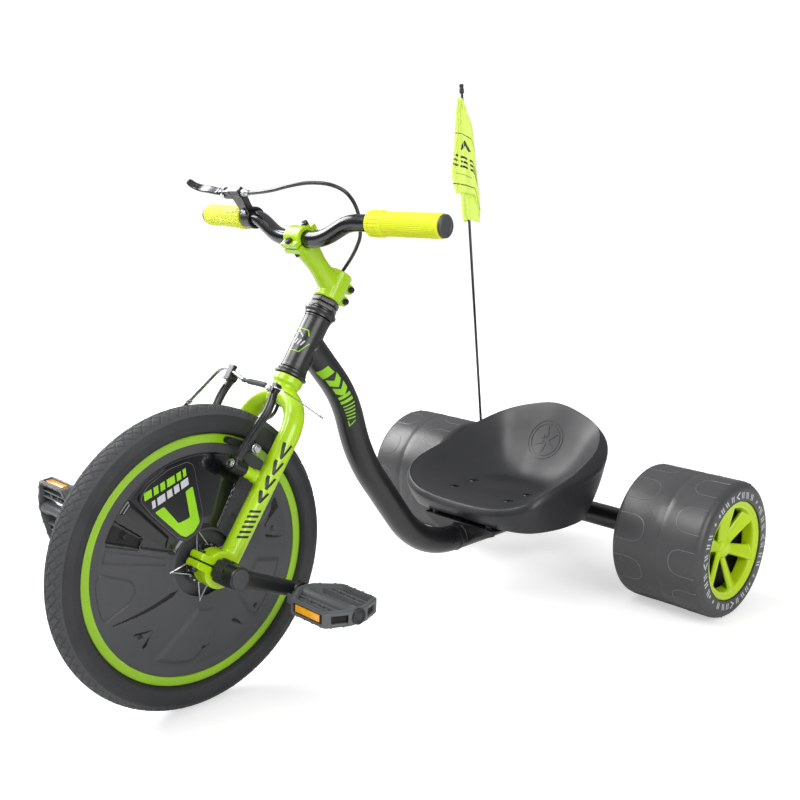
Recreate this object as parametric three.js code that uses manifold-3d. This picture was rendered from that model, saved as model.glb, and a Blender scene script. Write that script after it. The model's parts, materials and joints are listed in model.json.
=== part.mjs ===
// Drift trike: a low three-wheeler with cranks on the front hub, a bucket seat and plastic rear wheels
// Millimetres, +Z up, -Y is the way it rides, +X is the rider's left

import * as THREE from 'three';
import Module from 'manifold-3d';
import { mergeVertices } from 'three/addons/utils/BufferGeometryUtils.js';

const wasm = await Module();
wasm.setup();

const deg = Math.PI / 180;

// Fits between pieces
const restGap = 0.3;
const turnGap = 0.6;
const cutOver = 4;
const flatness = 0.06;

// Facets round the circles
const wheelSides = 28;
const drumSides = 24;
const tubeSides = 16;
const boltSides = 8;
const spokeSides = 3;

// Main layout
const wheelBase = 762;
const headLean = 34.3 * deg;
const forkRake = 14.6;

// Front wheel
const tyre = { radius: 203, section: 23.6, wall: 4, beadHalf: 11, beadDepth: 7, beadThick: 3.4, lipAngle: 115 * deg };
const rim = { lipRadius: 166.8, innerRadius: 155, halfWidth: 13.6, wall: 2.2, floor: 4.2 };
const disc = { wall: 2.2, rimInset: 1.6, bandRadius: 143, dome: 12.5, mouthRadius: 44, crownRadius: 60, crownRise: 1 };
const discSlits = [
  { inner: 50, innerTurn: -147.5 * deg, outer: 138, outerTurn: -157.6 * deg, width: 5 },
  { inner: 106, innerTurn: -63.7 * deg, outer: 124, outerTurn: -60.5 * deg, width: 3.4 },
  { inner: 104, innerTurn: 5.4 * deg, outer: 132, outerTurn: 0.2 * deg, width: 3.4 },
];
const hub = { flangeRadius: 28, flange: 3, halfWidth: 27.5, barrelRadius: 16, neckRadius: 14.4, neck: 5 };
const spoke = { count: 18, radius: 1.3, ring: 24, seatShare: 0.8 };

// Cranks and pedals
const axleRadius = 10;
const crank = { length: 102, angle: -24 * deg, hubRadius: 15, hubWidth: 20, armWidth: 21, armThick: 11, squareShare: 0.62 };
const crankEye = { radius: 12.5, thick: 14, inset: 3, widthShare: 0.84 };
const crankCap = { radius: 12.4, thick: 2.2 };
const boot = { radius: 16.5, length: 20.4, ribs: 10, ribDepth: 1.3, ribWidth: 2.6 };
const pedal = {
  length: 106, depth: 88, thick: 21, wall: 5.5, chamfer: 30, boreRadius: 5.6, innerSkew: 27, outerSkew: 13,
  pocketDepthShare: 0.55, pocketTallShare: 0.3,
};
const pedalCore = { radius: 10.2, bridge: 9, bridgePlaceShare: 0.56, bridgeTallShare: 0.32 };
const pedalPin = { radius: 5, collarRadius: 8, collar: 4, capRadius: 10.4, cap: 2.5 };
const pedalTilt = { left: 3 * deg, right: 84 * deg };

// Fork
const fork = {
  spread: 50, bow: 3, tubeRadius: 14.2, shoulder: 236, droop: 12, bend: 46, crownTop: 252, crownRadius: 18,
  rootShare: 0.4, crownNeckShare: 0.8,
};
const steerer = { radius: 12.7, bore: 10.6, topInset: 3 };
const crownRace = { radius: 20.5 };
const forkClamp = { radius: 24.5, width: 26, ear: 37, earWidth: 21, slot: 1.8, boltRadius: 3.4 };
const clampBolt = { headRadius: 5.4, head: 4, sink: 1 };
const boss = { spread: 40, height: 117, radius: 8, face: 33.5, bore: 4.4 };

// Headset, stem and handlebar
const headTube = { radius: 18.75, bottom: 272.3, length: 83.5, wall: 2.6 };
const cup = { radius: 23, height: 8.6, lip: 3.4, neckRadius: 20.4, socket: 7 };
const locknut = { flats: 35, collar: 3.4, height: 18.4 };
const stem = { clampRadius: 19.5, clampLength: 43, reach: 86.2, barRise: 25.1, armRadius: 16.6, armRootShare: 0.3 };
const stemFace = { radius: 17.4, width: 31, ear: 22.5, split: 1.6, rise: 18.5 * deg, earThick: 8.5, boltPlace: 17.8, armShare: 0.5 };
const stemEar = { reach: 29, width: 15, slot: 2.2, spacing: 19, insetShare: 0.06, slotShare: 0.5 };
const faceBolt = { radius: 3, headRadius: 5.2, head: 4.6, depth: 17 };
const pinchBolt = { radius: 2.6, headRadius: 4.4, head: 4 };
const handlebar = {
  radius: 11.1, wall: 2, riseStart: 46, riseEnd: 94, rise: 24, lift: 0, half: 242, sweep: 25,
  outerBend: 15, innerBend: 20, riseSweepShare: 0.2,
};
const grip = { radius: 15.6, length: 112, collarRadius: 17.2, collar: 24, plugRadius: 14.4, plug: 5, plugShank: 14, shankRadius: 8 };

// Brake lever
const lever = { clampPlace: 117, clampRadius: 15.6, clampWidth: 19, pitch: 50 * deg, pivotOut: 46, pivotPlace: 138 };
const perch = { gripClear: 2, width: 22, thick: 13, slot: 7, pinRadius: 2.4, pinHead: 1.6, eye: 7, pinHeadShare: 1.6 };
const blade = { reach: 50, width: 13, thick: 5.4, bow: 5, rise: 9, tip: 16, tipLift: 36 * deg, hook: 2, linkShare: 0.6 };
const adjuster = { radius: 5, length: 15, nutShare: 0.55, barrelShare: 0.8 };

// Brake on the front rim
const brakeArm = { width: 14, thick: 10, face: 46, padOut: 43.5, topOut: 48, topHeight: 229, eyeRadius: 10.5 };
const armTop = { radius: 6.5, midOut: 54, midDrop: 34, widthShare: 0.86, sink: 1 };
const pivotBolt = { radius: 3.9, headRadius: 6.6, head: 4, depth: 12 };
const pad = { length: 52, height: 10, thick: 9, rimGap: 1.4, ringRadius: 159.6, forward: 40 };
const padStud = { radius: 3, washerRadius: 5.6, washer: 3, nutRadius: 5.4, nut: 6, sink: 1 };
const noodle = {
  radius: 2.7, tip: -13, stand: 1.4, drop: 1, corner: 70, cornerRise: 14.8, bend: 18, endOut: 107, endDrop: 50,
};
const sleeve = { radius: 3.6, end: 37 };
const wire = {
  radius: 0.9, clampRadius: 4.2, clampLength: 9, clampShank: 2, clampWasher: 1.4, crimp: 9, crimpOver: 1,
  washerShare: 1.3, crimpShare: 1.7,
};
const cable = { radius: 2.5, sides: 8, crownDrop: 5.8 };

// Frame
const mainTube = {
  radius: 21, wall: 2, topY: 200, topZ: 460, neckY: 264.4, neckZ: 380, dropY: 291, dropZ: 284,
  groundY: 420.6, groundZ: 107, neckBend: 38, dropBend: 48, groundBend: 80, rearShort: 12, rearLift: 2,
  boreStart: 30, tunnelGap: 1.2, collarAhead: 12, collarWidth: 3, collarRise: 0.9,
};
const axleTube = { radius: 19, wall: 2.4, half: 189, plug: 12 };
const rearPin = { radius: 10, boreRadius: 4, length: 136 };
const bracket = { halfWidth: 77, front: 509, length: 138, thick: 3.2, webDrop: 26, gap: 1.5, footHalf: 26, lip: 5 };

// Seat
const seat = {
  front: 499, rear: 770, lipHeight: 168, backHeight: 291, halfWidth: 148, wall: 4.5, floorHeight: 168,
  middleShare: 0.4, floorShare: 0.45, bowlPower: 1.7,
};
const seatRim = {
  roll: 6, bulge: 3, backBulge: 8, skirt: 127.5, tuck: 19, backTuck: 46, backLift: 24, frontLift: 55,
  crestInShare: 0.9, crestDropShare: 0.25, topInShare: 0.3, wallShare: 0.5, tuckPower: 1.6,
};
const seatBolt = { halfAcross: 59.5, frontRow: 566, rowPitch: 49, radius: 4, headRadius: 7.4, head: 3.6, nut: 6 };
const seatBoss = { radius: 11 };

// Rear wheels
const rearTyre = {
  radius: 110.8, axleGap: 13, width: 158.5, shoulder: 12, skin: 6, sleeveRadius: 86, coreRadius: 80.8, softShare: 0.29,
};
const rearWeb = { thick: 6, inset: 4, bossRadius: 20, bossLength: 44 };
const rearHub = {
  ringWidth: 13, ringDepth: 24, faceInset: 2, spokes: 6, spokeWidth: 26, spokeThick: 9, bossRadius: 17,
  rootShare: 0.6, rootWidthShare: 0.62,
};
const rearHubBoss = { faceInset: 18, twist: 24 * deg };

// Flag
const flagPole = { radius: 2.4, footInset: 23, footHeight: 134, lean: 70, topHeight: 846 };
const poleCap = { radius: 4.2, length: 16, depthShare: 0.7 };
const poleSocket = { radius: 7, length: 46, sink: 3, clampRadius: 23.5, clampWidth: 20, boreDepth: 34 };
const flag = {
  capGap: 9.1, length: 221, folds: 7, halfWidth: 22, halfDepth: 7.5, bore: 2.8, points: 26,
  facing: 46 * deg, turn: 2.2, pleatShare: 0.3, tightShare: 0.6, sagShare: 0.3,
};

// Materials
function finish(color, roughness, metalness) {
  return new THREE.MeshStandardMaterial({ color, roughness, metalness });
}
const limePaint = finish(0x9fd816, 0.3, 0);
const limePlastic = finish(0xb4e01c, 0.4, 0);
const limeRubber = finish(0xcdee12, 0.65, 0);
const limeCloth = finish(0xc6f21c, 0.85, 0);
const blackPaint = finish(0x17181a, 0.32, 0);
const blackPlastic = finish(0x303234, 0.45, 0);
const greyPlastic = finish(0x55575a, 0.5, 0);
const tyreRubber = finish(0x2a2b2d, 0.75, 0);
const padRubber = finish(0x1a1a1c, 0.8, 0);
const darkSteel = finish(0x4c4b4a, 0.22, 1);
const brightSteel = finish(0xc9ccd0, 0.2, 1);
const blackSteel = finish(0x1c1d1f, 0.35, 0.6);

// Solids
function volumeOf(geometry) {
  const p = geometry.attributes.position;
  const index = geometry.index;
  const [a, b, c] = [new THREE.Vector3(), new THREE.Vector3(), new THREE.Vector3()];
  let sum = 0;
  for (let i = 0; i < index.count; i += 3) {
    a.fromBufferAttribute(p, index.getX(i));
    b.fromBufferAttribute(p, index.getX(i + 1));
    c.fromBufferAttribute(p, index.getX(i + 2));
    sum += a.dot(b.cross(c));
  }
  return sum;
}

function merged(geometry) {
  const plain = geometry.clone();
  for (const name of Object.keys(plain.attributes)) {
    if (name !== 'position') plain.deleteAttribute(name);
  }
  const joined = mergeVertices(plain, 1e-4);
  if (volumeOf(joined) < 0) {
    const index = joined.index.array;
    for (let i = 0; i < index.length; i += 3) {
      [index[i + 1], index[i + 2]] = [index[i + 2], index[i + 1]];
    }
  }
  return joined;
}

function solid(shape) {
  if (!shape.isBufferGeometry) return shape;
  const geometry = merged(shape);
  return new wasm.Manifold(new wasm.Mesh({
    numProp: 3,
    vertProperties: new Float32Array(geometry.attributes.position.array),
    triVerts: new Uint32Array(geometry.index.array),
  }));
}

function join(...shapes) {
  return shapes.map(solid).reduce((whole, next) => whole.add(next));
}

function cut(shape, ...cutters) {
  return cutters.map(solid).reduce((whole, next) => whole.subtract(next), solid(shape));
}

function geometryOf(shape) {
  const mesh = solid(shape).simplify(flatness).getMesh();
  const geometry = new THREE.BufferGeometry();
  const count = mesh.vertProperties.length / mesh.numProp;
  const positions = new Float32Array(count * 3);
  for (let i = 0; i < count; i++) {
    for (let k = 0; k < 3; k++) positions[i * 3 + k] = mesh.vertProperties[i * mesh.numProp + k];
  }
  geometry.setAttribute('position', new THREE.BufferAttribute(positions, 3));
  geometry.setIndex(new THREE.BufferAttribute(new Uint32Array(mesh.triVerts), 1));
  geometry.computeVertexNormals();
  return geometry;
}

function vec(x, y, z) {
  return new THREE.Vector3(x, y, z);
}

// A round bar between two points
function bar(radius, start, end, sides = 16) {
  const way = end.clone().sub(start);
  const geometry = new THREE.CylinderGeometry(radius, radius, way.length(), sides);
  const turn = new THREE.Quaternion().setFromUnitVectors(vec(0, 1, 0), way.normalize());
  geometry.applyQuaternion(turn);
  const middle = start.clone().add(end).multiplyScalar(0.5);
  return geometry.translate(middle.x, middle.y, middle.z);
}

function block(low, high) {
  const size = high.clone().sub(low);
  const middle = low.clone().add(high).multiplyScalar(0.5);
  return new THREE.BoxGeometry(size.x, size.y, size.z).translate(middle.x, middle.y, middle.z);
}

// A profile of [radius, height] points turned about Z
function turned(profile, sides = 32) {
  const points = profile.map(([r, h]) => new THREE.Vector2(r, h));
  const ends = [points[0], points[points.length - 1]];
  if (ends[0].x > 0 || ends[1].x > 0) points.push(points[0].clone());
  return new THREE.LatheGeometry(points, sides).rotateX(Math.PI / 2);
}

// A profile of [radius, place] points turned about X
function wheelTurned(profile, sides = 32) {
  return turned(profile, sides).rotateY(Math.PI / 2);
}

function roundSection(radius, sides) {
  const points = [];
  for (let i = 0; i < sides; i++) {
    const angle = (i / sides) * 2 * Math.PI;
    points.push(new THREE.Vector2(radius * Math.cos(angle), radius * Math.sin(angle)));
  }
  return new THREE.Shape(points);
}

function swept(path, radius, steps, sides = 12) {
  return new THREE.ExtrudeGeometry(roundSection(radius, sides), { extrudePath: path, steps });
}

// Straight runs joined by bends; each bend takes its length from both runs
function bentPath(corners, bends) {
  const path = new THREE.CurvePath();
  let from = corners[0];
  for (let i = 1; i < corners.length - 1; i++) {
    const into = corners[i].clone().sub(corners[i - 1]).normalize();
    const away = corners[i + 1].clone().sub(corners[i]).normalize();
    const start = corners[i].clone().addScaledVector(into, -bends[i - 1]);
    const end = corners[i].clone().addScaledVector(away, bends[i - 1]);
    path.add(new THREE.LineCurve3(from, start));
    path.add(new THREE.QuadraticBezierCurve3(start, corners[i], end));
    from = end;
  }
  path.add(new THREE.LineCurve3(from, corners[corners.length - 1]));
  return path;
}

function extruded(points, thick) {
  const shape = new THREE.Shape(points.map(([x, y]) => new THREE.Vector2(x, y)));
  return new THREE.ExtrudeGeometry(shape, { depth: thick, bevelEnabled: false });
}

function add(parent, name, shape, material) {
  const mesh = new THREE.Mesh(geometryOf(shape), material);
  mesh.name = name;
  parent.add(mesh);
  return mesh;
}

// The scene: the origin is under the middle of the trike's length
const model = new THREE.Group();
const shiftBack = (wheelBase + rearTyre.radius - tyre.radius) / 2;
const rolling = new THREE.Group();
rolling.position.y = -shiftBack;
model.add(rolling);

// The steering group stands on its own leaned axis, +Z up the axis and -Y forward
const axisFoot = vec(0, forkRake / Math.cos(headLean), tyre.radius);
const axleAlong = -axisFoot.y * Math.sin(headLean);
const steering = new THREE.Group();
steering.position.copy(axisFoot);
steering.rotation.x = -headLean;
rolling.add(steering);

// The front wheel and cranks turn about the axle
const frontAxle = new THREE.Group();
frontAxle.position.z = tyre.radius;
rolling.add(frontAxle);

function frontTyre() {
  const centre = tyre.radius - tyre.section;
  const outline = [];
  const steps = 3;
  for (let i = -steps; i <= steps; i++) {
    const angle = (i / steps) * tyre.lipAngle;
    outline.push([centre + tyre.section * Math.cos(angle), tyre.section * Math.sin(angle)]);
  }
  const lip = rim.lipRadius + turnGap;
  const heel = rim.lipRadius - tyre.beadDepth + restGap;
  const inside = tyre.section - tyre.wall;
  const beadIn = tyre.beadHalf - tyre.beadThick;
  outline.push([lip, tyre.beadHalf], [heel, tyre.beadHalf], [heel, beadIn], [lip, beadIn]);
  for (let i = steps; i >= -steps; i -= steps) {
    const angle = (i / steps) * tyre.lipAngle;
    outline.push([centre + inside * Math.cos(angle), inside * Math.sin(angle)]);
  }
  outline.push([lip, -beadIn], [heel, -beadIn], [heel, -tyre.beadHalf], [lip, -tyre.beadHalf]);
  return wheelTurned(outline, wheelSides);
}

function frontRim() {
  const inner = rim.halfWidth - rim.wall;
  const floor = rim.lipRadius - tyre.beadDepth;
  const half = [[rim.innerRadius, rim.halfWidth], [rim.lipRadius, rim.halfWidth], [rim.lipRadius, inner], [floor, inner]];
  const other = half.map(([r, x]) => [r, -x]).reverse();
  return wheelTurned([...half, ...other], wheelSides);
}

function discCover() {
  const outer = rim.innerRadius - restGap;
  const face = rim.halfWidth - disc.rimInset;
  const crownFace = face + disc.dome;
  const mouthFace = crownFace + disc.crownRise;
  const shell = wheelTurned([
    [outer, face - disc.wall], [outer, face], [disc.bandRadius, face], [disc.crownRadius, crownFace],
    [disc.mouthRadius, mouthFace], [disc.mouthRadius, mouthFace - disc.wall],
    [disc.crownRadius, crownFace - disc.wall], [disc.bandRadius, face - disc.wall],
  ], wheelSides);
  return cut(shell, ...discSlits.map(discSlit));
}

// A blade-shaped slit: wide at its inner end and pointed at its outer end
function discSlit(slit) {
  const foot = [slit.inner * Math.cos(slit.innerTurn), slit.inner * Math.sin(slit.innerTurn)];
  const tip = [slit.outer * Math.cos(slit.outerTurn), slit.outer * Math.sin(slit.outerTurn)];
  const length = Math.hypot(tip[0] - foot[0], tip[1] - foot[1]);
  const across = [(tip[1] - foot[1]) / length * slit.width / 2, (foot[0] - tip[0]) / length * slit.width / 2];
  const outline = [[foot[0] + across[0], foot[1] + across[1]], tip, [foot[0] - across[0], foot[1] - across[1]]];
  const blade = extruded(outline, rim.halfWidth + disc.dome + cutOver);
  return blade.applyMatrix4(new THREE.Matrix4().makeBasis(vec(0, 1, 0), vec(0, 0, 1), vec(1, 0, 0)));
}

function frontHub() {
  const end = hub.halfWidth + hub.neck;
  const bore = axleRadius + turnGap;
  const inner = hub.halfWidth - hub.flange;
  const half = [
    [bore, end], [hub.neckRadius, end], [hub.neckRadius, hub.halfWidth], [hub.flangeRadius, hub.halfWidth],
    [hub.flangeRadius, inner], [hub.barrelRadius, inner],
  ];
  const other = half.map(([r, x]) => [r, -x]).reverse();
  return join(wheelTurned([...half, ...other], tubeSides), ...spokes());
}

function spokes() {
  const list = [];
  const reach = rim.innerRadius * Math.cos(Math.PI / wheelSides) - restGap;
  const start = hub.halfWidth - hub.flange * spoke.seatShare;
  for (let i = 0; i < spoke.count; i++) {
    const side = i % 2 === 0 ? 1 : -1;
    const angle = ((i + 0.5) / spoke.count) * 2 * Math.PI;
    const way = vec(0, Math.cos(angle), Math.sin(angle));
    const foot = way.clone().multiplyScalar(spoke.ring);
    foot.x = side * start;
    list.push(bar(spoke.radius, foot, way.clone().multiplyScalar(reach), spokeSides));
  }
  return list;
}

add(frontAxle, 'front_tyre', frontTyre(), tyreRubber);
add(frontAxle, 'front_rim', frontRim(), limePaint);
add(frontAxle, 'disc_cover_left', discCover(), blackPlastic);
add(frontAxle, 'disc_cover_right', discCover(), blackPlastic).rotation.z = Math.PI;
add(frontAxle, 'front_hub', frontHub(), blackPaint);

// Cranks: the left arm points back and a little down, the right arm opposite
const clampOuter = fork.spread + forkClamp.width / 2;
const bootStart = clampOuter + turnGap;
const armStart = bootStart + boot.length + restGap;
const crankWay = vec(0, Math.cos(crank.angle), Math.sin(crank.angle));
const crankEnd = crankWay.clone().multiplyScalar(crank.length);
const eyeInner = armStart + crank.hubWidth + crankEye.inset - crankEye.thick;
const eyeOuter = eyeInner + crankEye.thick;

function crankAxle() {
  const shaft = bar(axleRadius, vec(-armStart + restGap, 0, 0), vec(armStart - restGap, 0, 0), tubeSides);
  const pieces = [shaft];
  const squareHalf = axleRadius * crank.squareShare;
  const squareEnd = armStart + crank.hubWidth / 2;
  const square = block(vec(-squareEnd, -squareHalf, -squareHalf), vec(squareEnd, squareHalf, squareHalf));
  pieces.push(square.rotateX(crank.angle));
  for (const side of [1, -1]) {
    pieces.push(ribbedBoot(Math.min(side * bootStart, side * (bootStart + boot.length))));
  }
  return join(...pieces);
}

// A round sleeve with ribs along it
function ribbedBoot(start) {
  const points = [];
  const valley = boot.radius - boot.ribDepth;
  const half = boot.ribWidth / 2 / boot.radius;
  for (let i = 0; i < boot.ribs; i++) {
    const angle = (i / boot.ribs) * 2 * Math.PI;
    for (const [radius, turn] of [[valley, -half], [boot.radius, -half], [boot.radius, half], [valley, half]]) {
      points.push([radius * Math.cos(angle + turn), radius * Math.sin(angle + turn)]);
    }
  }
  return extruded(points, boot.length).rotateY(Math.PI / 2).translate(start, 0, 0);
}

function crankArm() {
  const squareHalf = axleRadius * crank.squareShare + restGap;
  const hubEnd = armStart + crank.hubWidth;
  const round = bar(crank.hubRadius, vec(armStart, 0, 0), vec(hubEnd, 0, 0), tubeSides);
  const cap = bar(crankCap.radius, vec(armStart, 0, 0), vec(hubEnd + crankCap.thick, 0, 0), tubeSides);
  const outward = vec(1, 0, 0);
  const eyeFoot = crankEnd.clone().addScaledVector(outward, eyeInner);
  const eye = bar(crankEye.radius, eyeFoot, eyeFoot.clone().addScaledVector(outward, crankEye.thick), tubeSides);
  const halfHub = crank.armWidth / 2;
  const halfEye = halfHub * crankEye.widthShare;
  const outline = [[0, -halfHub], [crank.length, -halfEye], [crank.length, halfEye], [0, halfHub]];
  const web = extruded(outline, crank.armThick);
  const flat = vec(0, Math.sin(crank.angle), -Math.cos(crank.angle));
  web.applyMatrix4(new THREE.Matrix4().makeBasis(crankWay, flat, outward));
  web.translate(eyeInner + (crankEye.thick - crank.armThick) / 2, 0, 0);
  const squareEnd = armStart + crank.hubWidth / 2 + restGap;
  const socket = block(vec(0, -squareHalf, -squareHalf), vec(squareEnd, squareHalf, squareHalf));
  socket.rotateX(crank.angle);
  const far = eyeFoot.clone().addScaledVector(outward, crankEye.thick + cutOver);
  const threaded = bar(pedalPin.radius + restGap, eyeFoot.clone().addScaledVector(outward, -cutOver), far, boltSides);
  return cut(join(round, cap, eye, web), socket, threaded);
}

// The spindle screws into the arm's eye and carries the pedal
const pedalStart = eyeOuter + restGap + pedalPin.collar + turnGap;
const pedalEnd = pedalStart + pedal.length;

function pedalSpindle() {
  const collarStart = eyeOuter + restGap;
  const tail = pedalEnd - pedalPin.cap - pedal.wall;
  const pin = bar(pedalPin.radius, vec(eyeInner, 0, 0), vec(tail, 0, 0), boltSides);
  const collar = bar(pedalPin.collarRadius, vec(collarStart, 0, 0), vec(collarStart + pedalPin.collar, 0, 0), boltSides);
  return join(pin, collar);
}

// A cage of four walls round a core that runs on the spindle
function pedalBody() {
  const half = pedal.depth / 2;
  const plan = cagePlan(half, pedal.chamfer, pedalStart, pedalEnd);
  const innerHalf = half - pedal.wall;
  const hole = cagePlan(innerHalf, pedal.chamfer, pedalStart + pedal.wall, pedalEnd - pedal.wall);
  const outer = extruded(plan, pedal.thick).translate(0, 0, -pedal.thick / 2);
  const inner = extruded(hole, pedal.thick + 2 * cutOver).translate(0, 0, -pedal.thick / 2 - cutOver);
  const core = bar(pedalCore.radius, vec(pedalStart, 0, 0), vec(pedalEnd, 0, 0), boltSides);
  const endCap = bar(pedalPin.capRadius, vec(pedalEnd - pedal.wall, 0, 0), vec(pedalEnd + pedalPin.cap, 0, 0), boltSides);
  const bridges = [-1, 1].map((side) => {
    const middle = side * half * pedalCore.bridgePlaceShare;
    const tall = pedal.thick * pedalCore.bridgeTallShare;
    const low = vec(pedalStart + pedal.wall / 2, middle - pedalCore.bridge / 2, -tall);
    const high = vec(pedalEnd - pedal.wall / 2, middle + pedalCore.bridge / 2, tall);
    return block(low, high);
  });
  const shaftEnd = pedalEnd - pedalPin.cap - pedal.wall + restGap;
  const bore = bar(pedal.boreRadius, vec(pedalStart - cutOver, 0, 0), vec(shaftEnd, 0, 0), boltSides);
  return cut(join(cut(outer, inner), core, endCap, ...bridges), bore, ...reflectorPockets(half));
}

function cagePlan(half, chamfer, start, end) {
  const [inner, outer] = [start + pedal.innerSkew, end - pedal.outerSkew];
  return [
    [start, -half + chamfer], [inner, -half], [outer, -half], [end, -half + chamfer],
    [end, half - chamfer], [outer, half], [inner, half], [start, half - chamfer],
  ];
}

// Shallow pockets in the front and rear walls for the reflectors
function reflectorPockets(half) {
  const depth = pedal.wall * pedal.pocketDepthShare;
  const tall = pedal.thick * pedal.pocketTallShare;
  return [-1, 1].map((side) => {
    const near = side * (half - depth);
    const far = side * (half + cutOver);
    const low = vec(pedalStart + pedal.innerSkew + pedal.wall, Math.min(near, far), -tall);
    return block(low, vec(pedalEnd - pedal.outerSkew - pedal.wall, Math.max(near, far), tall));
  });
}

function addCranks() {
  add(frontAxle, 'crank_axle', crankAxle(), blackSteel);
  for (const side of [1, -1]) {
    const name = side > 0 ? 'left' : 'right';
    const group = new THREE.Group();
    if (side < 0) group.rotation.y = Math.PI;
    frontAxle.add(group);
    const arm = new THREE.Group();
    if (side < 0) arm.rotation.x = Math.PI - 2 * crank.angle;
    group.add(arm);
    add(arm, `crank_arm_${name}`, crankArm(), blackPaint);
    const onArm = new THREE.Group();
    onArm.position.copy(crankEnd);
    onArm.rotation.x = -arm.rotation.x + (side > 0 ? -pedalTilt.left : pedalTilt.right);
    arm.add(onArm);
    add(onArm, `pedal_spindle_${name}`, pedalSpindle(), brightSteel);
    add(onArm, `pedal_${name}`, pedalBody(), greyPlastic);
  }
}
addCranks();

// Fork, in the steering group
const axleForward = -forkRake;
const raceTop = headTube.bottom - restGap - cup.height - turnGap;
const headTop = headTube.bottom + headTube.length;
const locknutLow = headTop + restGap + cup.height + turnGap;
const locknutHigh = locknutLow + locknut.height;
const clampBottom = locknutHigh + restGap;
const clampMiddle = clampBottom + stem.clampLength / 2;
const steererTop = clampBottom + stem.clampLength - steerer.topInset;

function forkLegPath(side) {
  const corners = [
    vec(side * fork.tubeRadius * fork.rootShare, 0, fork.shoulder),
    vec(side * (fork.spread + fork.bow), 0, fork.shoulder - fork.droop),
    vec(side * (fork.spread + forkClamp.width / 2 - fork.tubeRadius), 0, axleAlong + forkClamp.slot * 2),
  ];
  return bentPath(corners, [fork.bend]);
}

function clampRing(x, low, high) {
  const centre = vec(x, axleForward, axleAlong);
  const start = centre.clone().add(vec(-forkClamp.width / 2, 0, 0));
  const end = centre.clone().add(vec(forkClamp.width / 2, 0, 0));
  const ring = bar(forkClamp.radius, start, end, tubeSides);
  const ear = block(
    vec(start.x, axleForward - forkClamp.ear, axleAlong - forkClamp.earWidth / 2),
    vec(end.x, axleForward, axleAlong + forkClamp.earWidth / 2),
  );
  const over = forkClamp.ear + cutOver;
  const keep = block(
    vec(start.x - cutOver, axleForward - over, axleAlong + low),
    vec(end.x + cutOver, axleForward + over, axleAlong + high),
  );
  return join(ring, ear).intersect(solid(keep));
}

function clampCuts(x) {
  const reach = forkClamp.width / 2 + cutOver;
  const axle = vec(x, axleForward, axleAlong);
  const bore = bar(axleRadius + turnGap, axle.clone().add(vec(-reach, 0, 0)), axle.clone().add(vec(reach, 0, 0)), tubeSides);
  const bolt = axle.clone().add(vec(0, -(forkClamp.ear + forkClamp.radius) / 2, 0));
  const tall = forkClamp.earWidth + cutOver;
  const hole = bar(forkClamp.boltRadius, bolt.clone().add(vec(0, 0, -tall)), bolt.clone().add(vec(0, 0, tall)), boltSides);
  return [bore, hole];
}

function forkBody() {
  const pieces = [];
  const cuts = [];
  for (const side of [1, -1]) {
    const x = side * fork.spread;
    pieces.push(swept(forkLegPath(side), fork.tubeRadius, 14, 12));
    pieces.push(clampRing(x, forkClamp.slot / 2, forkClamp.radius + cutOver));
    const post = vec(side * boss.spread, 0, boss.height);
    pieces.push(bar(boss.radius, post, vec(side * boss.spread, -boss.face, boss.height), boltSides));
    const deep = vec(side * boss.spread, -boss.face + pivotBolt.depth, boss.height);
    cuts.push(bar(boss.bore, deep, vec(side * boss.spread, -boss.face - cutOver, boss.height), boltSides));
    cuts.push(...clampCuts(x));
  }
  const low = fork.shoulder - fork.tubeRadius;
  pieces.push(turned([
    [0, low], [fork.crownRadius * fork.crownNeckShare, low], [fork.crownRadius, fork.shoulder],
    [fork.crownRadius, fork.crownTop],
    [crownRace.radius, fork.crownTop], [crownRace.radius, raceTop],
    [steerer.radius, raceTop], [steerer.radius, steererTop], [0, steererTop],
  ], tubeSides));
  cuts.push(bar(steerer.bore, vec(0, 0, low - cutOver), vec(0, 0, steererTop + cutOver), tubeSides));
  const arms = join(...pieces);
  return cut(arms, ...cuts);
}

function lowerClamp(side) {
  const x = side * fork.spread;
  const jaw = clampRing(x, -forkClamp.radius - cutOver, -forkClamp.slot / 2);
  const [bore, hole] = clampCuts(x);
  const bolt = vec(x, axleForward - (forkClamp.ear + forkClamp.radius) / 2, axleAlong);
  const nutLow = bolt.clone().add(vec(0, 0, -forkClamp.earWidth / 2 - clampBolt.head));
  const nut = bar(clampBolt.headRadius, nutLow, bolt.clone().add(vec(0, 0, -forkClamp.earWidth / 2 + clampBolt.sink)), 6);
  return join(cut(jaw, bore, hole), nut);
}

add(steering, 'fork', forkBody(), limePaint);
add(steering, 'axle_clamp_left', lowerClamp(1), limePaint);
add(steering, 'axle_clamp_right', lowerClamp(-1), limePaint);

// Headset
const cupInner = steerer.radius + turnGap;

function headsetCup() {
  const plug = headTube.radius - headTube.wall - restGap;
  return turned([
    [cupInner, 0], [cup.radius, 0], [cup.radius, cup.lip], [cup.neckRadius, cup.height],
    [plug, cup.height], [plug, cup.height + cup.socket], [cupInner, cup.height + cup.socket],
  ], tubeSides);
}

function locknutBody() {
  const low = vec(0, 0, locknutLow);
  const nut = bar(locknut.flats / Math.sqrt(3), low, vec(0, 0, locknutHigh), 6);
  const collar = bar(cup.neckRadius, low, vec(0, 0, locknutLow + locknut.collar), tubeSides);
  const hole = bar(steerer.radius + restGap, vec(0, 0, locknutLow - cutOver), vec(0, 0, locknutHigh + cutOver), tubeSides);
  return cut(join(nut, collar), hole);
}

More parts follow.
